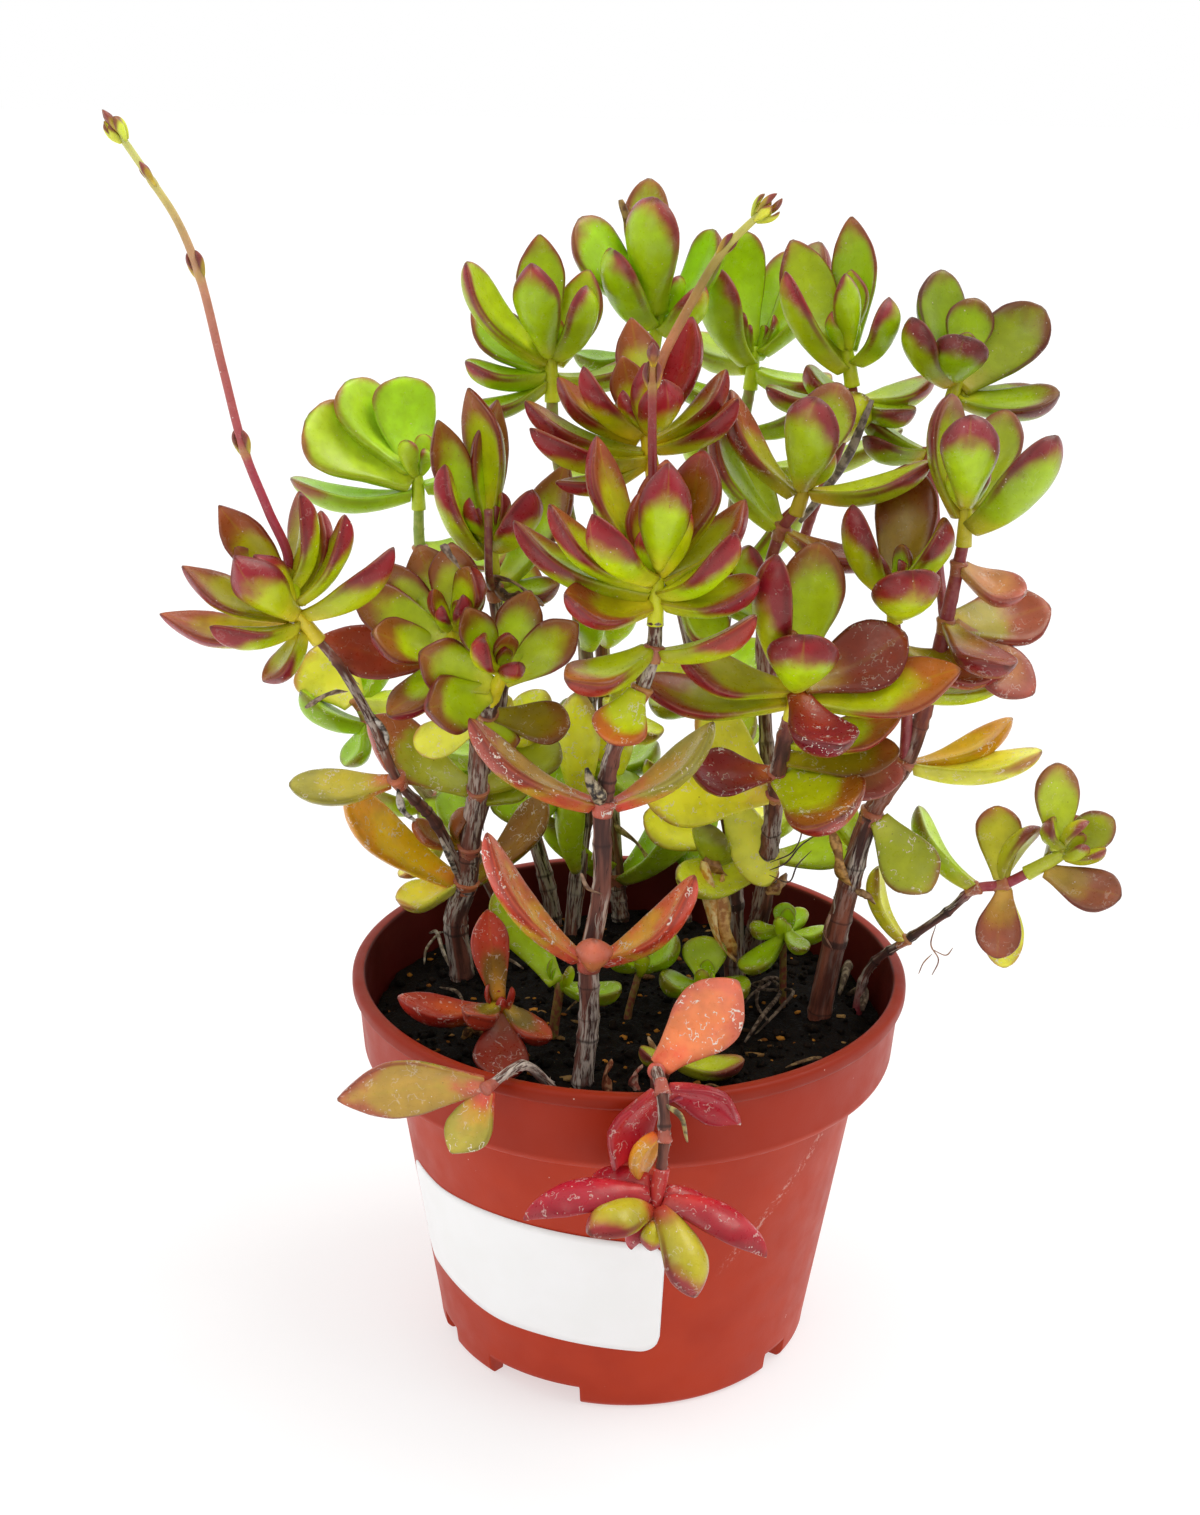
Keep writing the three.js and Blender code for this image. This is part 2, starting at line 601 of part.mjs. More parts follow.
// Blades that spring from the joints of a stretch
function stretchBlades(node, joints) {
  const blades = [];
  joints.forEach((joint, number) => {
    const heart = vector(joint);
    const axis = axisAt(joints, number);
    for (const form of joint.slice(4)) {
      blades.push(makeBlade(node, heart, heart, axis, joint[3], form));
    }
  });
  return blades;
}

// How far a rosette's core reaches past its heart
function coreReach(forms) {
  return CORE_OVER_HEART + CORE_RISE_PER_LEAF * forms.length;
}

// Blades of a rosette, from the outside in. Their roots climb its core.
function rosetteBlades(node, foot, heart, forms) {
  const axis = heart.clone().sub(foot).normalize();
  const height = heart.distanceTo(foot) + coreReach(forms);
  const step = (height - FIRST_ROOT - LAST_ROOT) / Math.max(forms.length - 1, 1);
  return forms.map((form, number) => {
    const climbed = FIRST_ROOT + step * number;
    const root = foot.clone().addScaledVector(axis, climbed);
    const radius = blend([CORE_RADIUS, CORE_TIP_RADIUS], climbed / height);
    return makeBlade(node, heart, root, axis, radius, form);
  });
}

// Points spread over a blade, with the room that each one takes, for telling where blades meet
function feelers(blade) {
  const chord = blade.tip.clone().sub(blade.root);
  const face = upperFace(blade);
  const side = new THREE.Vector3().crossVectors(face, chord).normalize();
  const points = [];
  const sink = (0.5 - TOP_SHARE) * blade.thickness;
  for (const along of FEEL_ALONG) {
    const half = valueAt(STATIONS, HALF_WIDTHS, along) * blade.width / 2;
    for (const across of FEEL_ACROSS) {
      const middle = blade.root.clone().addScaledVector(chord, along);
      middle.addScaledVector(face, -bowAt(blade, along) - sink);
      middle.addScaledVector(side, across * half);
      const room = blade.thickness * (across === 0 ? FEEL_MIDDLE_ROOM : FEEL_EDGE_ROOM) + CLEARANCE / 2;
      points.push({ middle, room, along });
    }
  }
  return points;
}

// Nearest point to this one on the stretch between two joints
function nearest(point, start, end) {
  const line = end.clone().sub(start);
  const share = point.clone().sub(start).dot(line) / line.lengthSq();
  return start.clone().addScaledVector(line, Math.min(Math.max(share, 0), 1));
}

// Pushes two blades apart where their feelers meet. Blades of one shoot may meet near their roots.
function pushBlades(a, b, feltA, feltB, pushA, pushB) {
  const from = a.node === b.node ? OWN_SHOOT_FROM : 0;
  for (const one of feltA) {
    for (const other of feltB) {
      const apart = one.middle.clone().sub(other.middle);
      const overlap = one.room + other.room - apart.length();
      if (overlap > 0 && Math.min(one.along, other.along) >= from) {
        apart.normalize();
        pushA.addScaledVector(apart, overlap * LEAF_PUSH);
        pushB.addScaledVector(apart, -overlap * LEAF_PUSH);
      }
    }
  }
}

// Pushes a blade away from a stem of another shoot
function pushFromStem(felt, rod, push) {
  for (const one of felt) {
    const foot = nearest(one.middle, rod.start, rod.end);
    const apart = one.middle.clone().sub(foot);
    const overlap = one.room + rod.radius + CLEARANCE - apart.length();
    if (overlap > 0) {
      push.addScaledVector(apart.normalize(), overlap * STEM_PUSH);
    }
  }
}

// Leaves that meet another leaf or a stem bend apart, a little in each round, and keep their lengths
function bendClear(blades, stems) {
  const middle = Math.floor(FEEL_ALONG.length * FEEL_ACROSS.length / 2);
  for (let round = 0; round < BEND_ROUNDS; round += 1) {
    const felt = blades.map(feelers);
    const pushes = blades.map(() => new THREE.Vector3());
    blades.forEach((blade, a) => {
      for (let b = a + 1; b < blades.length; b += 1) {
        const reach = (blade.length + blades[b].length) / 2 + FAR_APART;
        if (felt[a][middle].middle.distanceTo(felt[b][middle].middle) <= reach) {
          pushBlades(blade, blades[b], felt[a], felt[b], pushes[a], pushes[b]);
        }
      }
      for (const rod of stems) {
        if (rod.node !== blade.node) {
          pushFromStem(felt[a], rod, pushes[a]);
        }
      }
    });
    blades.forEach((blade, number) => {
      const push = pushes[number].clampLength(0, LONGEST_PUSH);
      const moved = blade.tip.clone().add(push).sub(blade.root);
      blade.tip.copy(blade.root).addScaledVector(moved.normalize(), blade.length);
    });
  }
}

// Pot, turned from its half section: underside, wall, shoulder, collar, lip, and back down inside
function potSolid() {
  const outline = [
    [0, 0], [DISC_RADIUS, 0], [DISC_RADIUS + 1, UNDERSIDE], [FOOT_RADIUS - FOOT_RING, UNDERSIDE],
    [FOOT_RADIUS - FOOT_RING, 0], [FOOT_RADIUS, 0], [FOOT_RADIUS + 1, 1], [FOOT_CORNER_RADIUS, FOOT_CORNER],
    [SHOULDER_RADIUS, SHOULDER], [SHOULDER_RADIUS + SHOULDER_STEP, SHOULDER + 1.5 * EDGE],
    [COLLAR_FOOT_RADIUS - EDGE, COLLAR_FOOT - 2 * EDGE], [COLLAR_FOOT_RADIUS, COLLAR_FOOT],
    [COLLAR_TOP_RADIUS, POT_HEIGHT - LIP_HEIGHT], [LIP_RADIUS, POT_HEIGHT - LIP_HEIGHT + EDGE],
    [LIP_RADIUS, POT_HEIGHT - EDGE], [LIP_RADIUS - EDGE, POT_HEIGHT],
    [COLLAR_TOP_RADIUS - WALL + EDGE, POT_HEIGHT], [COLLAR_TOP_RADIUS - WALL, POT_HEIGHT - EDGE],
    [COLLAR_FOOT_RADIUS - WALL, COLLAR_FOOT + 1], [SHOULDER_RADIUS - WALL, SHOULDER - EDGE],
    [FOOT_CORNER_RADIUS - WALL - FLOOR_INSET, FLOOR], [0, FLOOR],
  ];
  const turned = new THREE.LatheGeometry(outline.map(([x, y]) => new THREE.Vector2(x, y)), POT_SIDES);
  turned.rotateX(Math.PI / 2);
  let pot = solidFrom(turned);
  for (let set = 0; set < NOTCH_SETS; set += 1) {
    for (const [middle, width] of NOTCHES) {
      pot = pot.subtract(notchSolid(middle + set * 360 / NOTCH_SETS, width));
    }
  }
  return pot;
}

// The space of one drain notch, a wedge through the foot ring
function notchSolid(middle, width) {
  const near = FOOT_RADIUS - FOOT_RING - 1;
  const far = FOOT_RADIUS + 6;
  const outline = new THREE.Shape();
  outline.absarc(0, 0, far, radians(middle - width / 2), radians(middle + width / 2), false);
  outline.absarc(0, 0, near, radians(middle + width / 2), radians(middle - width / 2), true);
  const form = { depth: UNDERSIDE + 1, bevelEnabled: false, curveSegments: 4 };
  const wedge = new THREE.ExtrudeGeometry(outline, form);
  wedge.translate(0, 0, -1);
  return solidFrom(wedge);
}

// Radius of the pot's outer wall below the collar
function wallRadius(height) {
  const share = (height - FOOT_CORNER) / (SHOULDER - FOOT_CORNER);
  return FOOT_CORNER_RADIUS + (SHOULDER_RADIUS - FOOT_CORNER_RADIUS) * share;
}

// Label: a bent sheet with round corners, bare
function labelSolid() {
  const arc = radians(LABEL_HALF_ANGLE) * wallRadius(LABEL_HEIGHT);
  return sweep(4, LABEL_STEPS, (share, across, above) => {
    const angle = LABEL_MIDDLE + (2 * share - 1) * LABEL_HALF_ANGLE;
    const fromEnd = (1 - Math.abs(2 * share - 1)) * arc;
    const cornered = LABEL_CORNER - Math.min(fromEnd, LABEL_CORNER);
    const half = LABEL_HALF_HEIGHT - LABEL_CORNER + Math.sqrt(LABEL_CORNER ** 2 - cornered ** 2);
    const upper = above + across > 0 ? 1 : -1;
    const outer = above - across > 0 ? 1 : 0;
    const middle = LABEL_HEIGHT - LABEL_DROP * (angle - LABEL_LOW_TURN) ** 2;
    const height = middle + upper * half;
    const radius = wallRadius(height) + GAP + outer * LABEL_THICKNESS;
    const bearing = radians(angle);
    return new THREE.Vector3(radius * Math.cos(bearing), radius * Math.sin(bearing), height);
  }, false);
}

// Soil: fills the pot, with a low uneven mound on top and a plain hole for each stem
function soilSolid(feet) {
  const outline = [
    [0, FLOOR + GAP], [FOOT_CORNER_RADIUS - WALL - FLOOR_INSET - GAP, FLOOR + GAP],
    [SHOULDER_RADIUS - WALL - GAP, SHOULDER - EDGE], [COLLAR_FOOT_RADIUS - WALL - GAP, COLLAR_FOOT + 2 * EDGE],
    [COLLAR_FOOT_RADIUS - WALL - GAP, SOIL_TOP - SOIL_MOUND], [SOIL_LEVEL_RADIUS, SOIL_TOP], [0, SOIL_TOP],
  ];
  const turned = new THREE.LatheGeometry(outline.map(([x, y]) => new THREE.Vector2(x, y)), SOIL_SIDES);
  turned.rotateX(Math.PI / 2);
  const points = turned.attributes.position;
  for (let i = 0; i < points.count; i += 1) {
    const x = points.getX(i);
    const y = points.getY(i);
    if (points.getZ(i) > SOIL_TOP - 0.1) {
      points.setZ(i, SOIL_TOP + SOIL_ROUGHNESS * (Math.sin(0.31 * x + 1) * Math.cos(0.27 * y - 0.4) - 1));
    }
  }
  let soil = solidFrom(turned);
  for (const [x, y, , radius] of feet) {
    const hole = new THREE.CylinderGeometry(radius + GAP, radius + GAP, 2 * ROOT_DEPTH, STEM_SIDES);
    hole.rotateX(Math.PI / 2);
    hole.translate(x, y, SOIL_TOP);
    soil = soil.subtract(solidFrom(hole));
  }
  return soil;
}

// The stretch with the straight part that stands in the soil
function rooted(joints) {
  const [x, y, , radius] = joints[0];
  return [[x, y, SOIL_TOP - ROOT_DEPTH + GAP, radius], ...joints];
}

function coreSolid(foot, heart, forms) {
  const axis = heart.clone().sub(foot).normalize();
  const start = foot.clone().addScaledVector(axis, GAP);
  const end = heart.clone().addScaledVector(axis, coreReach(forms));
  const joints = [[start.x, start.y, start.z, CORE_RADIUS], [end.x, end.y, end.z, CORE_TIP_RADIUS]];
  return stem(joints, STEM_SIDES);
}

// The room that a stem leaves round itself where something else is seated on it or round it
function seatSolid(joints, sides) {
  const roomy = joints.map(([x, y, z, radius]) => [x, y, z, radius + GAP]);
  return stem(roomy, sides);
}

const plant = new THREE.Group();
const blades = [];
const stems = [];
const woods = {};
const seats = {};
const feet = [];

function addStretch(node, joints, sides) {
  for (let i = 1; i < joints.length; i += 1) {
    const radius = Math.max(joints[i - 1][3], joints[i][3]);
    stems.push({ node, start: vector(joints[i - 1]), end: vector(joints[i]), radius });
  }
  woods[node] = woods[node] || [];
  woods[node].push(stem(joints, sides));
  blades.push(...stretchBlades(node, joints));
}

for (const [node, stretches] of Object.entries(SHOOTS)) {
  stretches.forEach((joints, number) => {
    addStretch(node, number === 0 ? rooted(joints) : joints, STEM_SIDES);
  });
  feet.push(stretches[0][0]);
}

const tops = {};
for (const [node, [shoot, number, place, forms]] of Object.entries(ROSETTES)) {
  const stretch = SHOOTS[shoot][number];
  const foot = vector(stretch.at(-1));
  const heart = vector(place);
  const axis = heart.clone().sub(foot).normalize();
  woods[node] = [coreSolid(foot, heart, forms)];
  seats[node] = [seatSolid(stretch.slice(-2), STEM_SIDES)];
  tops[node] = heart.clone().addScaledVector(axis, coreReach(forms) + GAP);
  stems.push({ node, start: foot, end: heart, radius: CORE_RADIUS });
  blades.push(...rosetteBlades(node, foot, heart, forms));
}

for (const [node, [rosette, joints]] of Object.entries(STALKS)) {
  const start = tops[rosette];
  const rising = [[start.x, start.y, start.z, joints[0][3]], ...joints];
  addStretch(node, rising, STALK_SIDES);
  seats[rosette].push(seatSolid(rising.slice(0, 3), STALK_SIDES));
}

for (const [node, [low, high, radius, forms]] of Object.entries(SPROUTS)) {
  const foot = [...low, radius];
  const heart = vector(high);
  const axis = new THREE.Vector3(0, 0, 1);
  const top = [high[0], high[1], high[2] + coreReach(forms), radius];
  addStretch(node, rooted([foot, [...high, radius], top]), STEM_SIDES);
  feet.push(foot);
  forms.forEach((form, number) => {
    const root = heart.clone().addScaledVector(axis, CORE_RISE_PER_LEAF * number);
    blades.push(makeBlade(node, heart, root, axis, radius, form));
  });
}

bendClear(blades, stems);

plant.add(meshFrom(potSolid(), "pot", "pot", 0.45));
plant.add(meshFrom(labelSolid(), "label", "label", 0.6));
plant.add(meshFrom(soilSolid(feet), "soil", "soil", 0.95));
for (const node of Object.keys(woods)) {
  const own = blades.filter((blade) => blade.node === node);
  const room = seats[node] || [];
  const solid = joined([...woods[node], ...own.map(bladeSolid)], room);
  plant.add(meshFrom(solid, node, node.split("_")[0], 0.5));
}

export default plant;
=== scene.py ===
"""A potted red carpet crassula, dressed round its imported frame.

Lengths are millimetres in this file and metres in the meshes. The origin is the middle of the pot's foot,
+Z is up and the label faces -Y and -X. Turns are compass angles in degrees: 0 points along +X and 90 along
+Y. Rises are degrees above the horizontal.
"""

import logging
import math
from dataclasses import dataclass, field
from enum import Enum

import bpy
import numpy as np
from mathutils import Matrix


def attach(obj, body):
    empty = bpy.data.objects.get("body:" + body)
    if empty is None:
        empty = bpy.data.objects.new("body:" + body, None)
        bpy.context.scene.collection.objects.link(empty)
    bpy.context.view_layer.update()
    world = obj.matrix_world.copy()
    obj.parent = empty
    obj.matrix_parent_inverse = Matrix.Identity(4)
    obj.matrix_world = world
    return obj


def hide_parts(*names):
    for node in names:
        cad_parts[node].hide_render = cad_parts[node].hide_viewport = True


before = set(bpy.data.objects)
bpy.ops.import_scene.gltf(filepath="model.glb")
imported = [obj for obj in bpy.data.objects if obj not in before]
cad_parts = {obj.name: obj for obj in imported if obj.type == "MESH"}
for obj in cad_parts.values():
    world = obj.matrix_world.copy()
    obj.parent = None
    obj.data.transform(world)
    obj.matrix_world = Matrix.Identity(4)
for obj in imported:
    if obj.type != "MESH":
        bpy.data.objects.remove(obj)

Array = np.ndarray
Draws = np.random.Generator
Place = tuple[float, float, float]
Socket = bpy.types.NodeSocket
LOG = logging.getLogger("crassula")
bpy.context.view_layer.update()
METRE = 0.001
SOIL_TOP = 65.0
ROOT_DEPTH = 4.5
GAP = 0.3


# Colours and finishes of leaves

def linear(code: str) -> Array:
    """Gives the linear colour of an sRGB code such as #a1b2c3: each channel goes through the sRGB curve."""
    shares = np.array([int(code[k:k + 2], 16) for k in (1, 3, 5)]) / 255
    return np.where(shares <= 0.04045, shares / 12.92, ((shares + 0.055) / 1.055) ** 2.4)


@dataclass(frozen=True)
class LeafFinish:
    """How one kind of leaf is coloured.

    root, flesh and blush are the colours of its base, middle and tip, and inner that of its upper face.
    reach is how far the blush comes down from the tip, inside how much of the upper face has the inner
    colour, edge how strong the line along the margin is, specks how many white dots it has, the next field
    how many painted glints it has (white beads and streaks that stand in for the highlights of damp patches,
    partly white residue), blunt how round its end is, and patchy how far the colours wander into each other.
    """

    root: str
    flesh: str
    blush: str
    inner: str
    reach: float
    inside: float
    edge: float
    specks: float
    painted_glints: float
    blunt: float
    patchy: float


class Look(Enum):
    """The kinds of leaf on the plant."""

    LIME = LeafFinish("#c8c04a", "#a9bc10", "#901c30", "#8c6014", 0.36, 0.5, 0.8, 0.4, 0.1, 0, 0.3)
    LIME_TIPPED = LeafFinish("#b4b43c", "#b0ba14", "#a83a34", "#a8b41c", 0.34, 0.3, 0.8, 0.4, 0.1, 0.1, 0.3)
    DARK_BACK = LeafFinish("#8f7a12", "#98940c", "#861c20", "#7c4c0c", 0.28, 1, 1, 0.4, 0.1, 0.3, 0.3)
    CRIMSON = LeafFinish("#c4b030", "#a8ac14", "#901c30", "#a0a41c", 0.38, 0.5, 0.8, 0.4, 0.1, 0, 0.3)
    SCARLET = LeafFinish("#b0902c", "#a06024", "#a01c30", "#a42a2c", 0.8, 1, 0.8, 0.4, 0.1, 0.2, 0.3)
    BURGUNDY = LeafFinish("#c4c04c", "#a2b40c", "#821e2c", "#96a60a", 0.34, 0.7, 0.8, 0.4, 0.1, 0.5, 0.3)
    GREEN = LeafFinish("#c0c048", "#a0b20c", "#862030", "#a4b410", 0.36, 0.5, 1, 0.4, 0.1, 0.1, 0.3)
    LANCE = LeafFinish("#c4b450", "#a8b214", "#8e2438", "#9a7a20", 0.34, 0.4, 0.8, 0.4, 0.1, -0.1, 0.3)
    OLIVE = LeafFinish("#b4b438", "#9eb80c", "#881c30", "#9cb40e", 0.35, 0.5, 1, 0.4, 0.1, 0, 0.3)
    MATT = LeafFinish("#b8a44c", "#9c6038", "#8c342a", "#944832", 0.75, 0.9, 0.8, 0.9, 0.1, 0.1, 0.3)
    FRESH = LeafFinish("#b4c044", "#98b210", "#9a3040", "#a0b818", 0.17, 0.4, 1, 0.1, 0.1, 0.2, 0.3)
    TOPGREEN = LeafFinish("#a8bc38", "#9ab818", "#9a3c40", "#a4c022", 0.1, 0.4, 0.7, 0.1, 0.1, 0.7, 0.3)
    BRIGHT = LeafFinish("#a8bc48", "#98b434", "#a06040", "#a6c84c", 0.03, 0.9, 0.2, 0.05, 0.1, 1, 0.3)
    PALE = LeafFinish("#d8dc90", "#dae274", "#b88a50", "#d6e070", 0.03, 0.5, 0.1, 0.4, 0.7, 0.6, 0.3)
    MAUVE = LeafFinish("#b4a84c", "#9cb028", "#8e3a48", "#96a42a", 0.22, 0.6, 1, 0.4, 0.1, 0.6, 0.3)
    MAUVE_DARK = LeafFinish("#a8a038", "#88a60e", "#742c34", "#8a9a12", 0.22, 0.8, 1, 0.4, 0.1, 0.6, 0.3)
    MAUVE_RED = LeafFinish("#b8a04c", "#98903a", "#7e262e", "#8e3a30", 0.62, 0.75, 0.8, 0.4, 0.35, 0.5, 0.3)
    BROWN = LeafFinish("#8a8a24", "#968a30", "#7c2a20", "#96703c", 0.34, 0.8, 0.8, 0.4, 0.1, 0.6, 0.3)
    CORAL = LeafFinish("#d8506c", "#c8a450", "#d0503f", "#cc8450", 0.44, 0.6, 1, 1, 1.2, 0, 1)
    SALMON = LeafFinish("#cc5468", "#bc9450", "#b04a40", "#bc8a58", 0.36, 0.6, 1, 1, 1.2, 0, 1)
    SALMON_TIP = LeafFinish("#cc5070", "#c09068", "#a8b050", "#bc9864", 0.5, 0.6, 0.6, 0.9, 1.2, 0, 0.9)
    ROSE_RED = LeafFinish("#cc3a5c", "#e07a92", "#cc6c6c", "#dc7086", 0.42, 0.8, 0.3, 1, 1.3, 0.2, 0.9)
    BUD_RED = LeafFinish("#b2707e", "#a8646c", "#b4685c", "#a4606a", 0.4, 0.8, 0, 0.7, 0, 0.2, 0.3)
    AMBER = LeafFinish("#cc7a44", "#cfa524", "#d49a20", "#d2a428", 0.3, 0.8, 0.1, 0.7, 0.9, 0.5, 0.6)
    YELLOW = LeafFinish("#d0c478", "#d2d84e", "#b0a044", "#d0d84e", 0.06, 0.4, 0.2, 0.7, 0.8, 0.5, 0.3)
    BACKGREEN = LeafFinish("#a8a848", "#a6c028", "#8a8a28", "#a8c42c", 0.05, 0.5, 0.2, 0.8, 0.4, 0.7, 0.3)
    SPOTTED = LeafFinish("#9a8c2c", "#827414", "#7e4a24", "#7c6414", 0.3, 0.8, 0.6, 1.6, 0.3, 0.6, 0.3)
    ROSY = LeafFinish("#b88c90", "#b2788c", "#a4585c", "#ac7484", 0.3, 0.6, 0.7, 0.8, 0.4, 0.4, 0.3)
    OLIVE_PINK = LeafFinish("#a8a858", "#aaae4a", "#c0584c", "#aaa444", 0.4, 0.8, 1, 1.4, 0.9, 0, 0.8)
    SCARRED = LeafFinish("#b0963c", "#a08c2a", "#9a6a20", "#93501e", 0.3, 0.9, 0.4, 1.4, 0.9, 0.7, 0.8)
    OLIVE_ROUND = LeafFinish("#a2a23c", "#949e2c", "#82882c", "#8e9a2c", 0.1, 0.6, 0.2, 0.9, 0.2, 1, 0.3)
    RUSTY = LeafFinish("#a88a3c", "#8c5a22", "#98562e", "#8c6a2e", 0.4, 0.7, 0.8, 0.7, 0.2, 0.1, 0.3)
    PALE_ROSE = LeafFinish("#cc7460", "#c2b85c", "#a8b44c", "#c0b454", 0.3, 0.6, 0.5, 0.8, 0.8, 0.5, 0.5)
    CORAL_EDGE = LeafFinish("#c4c04c", "#bcc02c", "#cc5038", "#bcc02c", 0.42, 0.8, 0.5, 1, 0.8, 0.5, 0.4)
    ROUND_RED = LeafFinish("#b8c030", "#b4b820", "#9c3026", "#b4b820", 0.46, 0.9, 0.9, 1, 0.9, 0.8, 0.4)
    GREEN_PINK = LeafFinish("#b0b04c", "#a2a83c", "#a47850", "#9ea43c", 0.16, 0.4, 0.5, 0.8, 1.2, 0.4, 0.3)
    MAGENTA = LeafFinish("#a83058", "#a8244e", "#a01c3a", "#a21e46", 0.75, 1, 0.3, 0.8, 0.5, -0.6, 0.3)
    PINKGREEN = LeafFinish("#a03a48", "#a9a042", "#9a3440", "#a4964a", 0.18, 0.6, 1, 0.4, 0.3, 0.2, 0.3)
    PEACH = LeafFinish("#cc5a4c", "#d89050", "#d8a050", "#d48a4c", 0.3, 0.7, 0.5, 0.7, 0.6, 0.3, 0.3)
    LIP = LeafFinish("#b05868", "#a0a048", "#a85c50", "#a88660", 0.2, 0.9, 1, 0.6, 0.4, 0, 0.7)
    SPROUT = LeafFinish("#98b03c", "#92b40c", "#8c9a1c", "#96b410", 0.1, 0.5, 0.1, 0.7, 0.6, 0.6, 0.3)
    DUSTY = LeafFinish("#a0a050", "#a0a83c", "#8e4a4c", "#a0a83c", 0.18, 0.5, 0.8, 0.6, 0.2, 0.6, 0.3)
    DUSTY_RED = LeafFinish("#b48a5c", "#a08848", "#8c4a48", "#9c6a4c", 0.5, 0.8, 0.9, 0.8, 0.2, 0.5, 0.3)
    REDSPROUT = LeafFinish("#b84a44", "#b45a3c", "#a8322c", "#b04a34", 0.6, 1, 0.5, 1, 0.6, 0.2, 0.8)
    DARKSPROUT = LeafFinish("#84342c", "#7a3a1c", "#72201c", "#74241c", 0.8, 1, 0.5, 1, 0.3, 0.3, 0.3)
    TWO_TONE = LeafFinish("#b08a3c", "#b8984a", "#b23c2e", "#6e561a", 0.5, 1, 1, 0.8, 0.5, 0.1, 0.3)
    PLUM = LeafFinish("#b0604c", "#8c2c3a", "#7c2034", "#8a2a36", 0.6, 0.9, 0.8, 0.7, 0.9, 0.3, 0.3)
    WINE = LeafFinish("#b0a048", "#9a943a", "#983038", "#948a32", 0.55, 0.8, 1, 0.7, 0.4, 0.3, 0.3)
    BRACT = LeafFinish("#b8a060", "#a08850", "#84484c", "#946048", 0.4, 0.7, 0.2, 0.1, 0, 0, 0.3)
    MAUVE_BRACT = LeafFinish("#b8984c", "#9a6450", "#7c4048", "#8a5048", 0.5, 0.9, 0.2, 0.1, 0, 0, 0.3)
    TIP_BUD = LeafFinish("#c4c468", "#c8cc6c", "#8a5a40", "#c8c870", 0.22, 0.5, 0.2, 0.1, 0, 0.3, 0.3)


@dataclass(frozen=True)
class Leaf:
    """One leaf of the frame's own layout: where it points, its sizes, its look, and its own turn."""

    turn: float
    rise: float
    length: float
    width: float
    look: Look | None = None
    twist: float = 0.0


@dataclass(frozen=True)
class Joint:
    """A place on a stem: where it is, how thick the stem is there, and the leaves that spring there."""

    place: Place
    radius: float
    leaves: tuple[Leaf, ...] = ()


def leaves(*rows: tuple) -> tuple[Leaf, ...]:
    """Gives the leaves of rows that hold a turn, rise, length and width, and may hold a look and a twist."""
    return tuple(Leaf(*row) for row in rows)


def at(x: float, y: float, z: float, radius: float, *rows: tuple) -> Joint:
    """Gives the joint at this place, of this radius, with the leaves of these rows."""
    return Joint((x, y, z), radius, leaves(*rows))


@dataclass(frozen=True)
class Filler:
    """A leaf between the frame's own: its stretch, its place on it, its tip, width, look and twist."""

    stretch: int
    share: float
    tip: Place
    width: float
    look: Look
    twist: float = 0.0


@dataclass(frozen=True)
class Scrap:
    """A dry curl, chip or thread: the points on its way, its width, thickness, two colours and twist."""

    points: tuple[Place, ...]
    width: float
    thickness: float
    tone: str
    flecked: str
    twist: float = 60.0


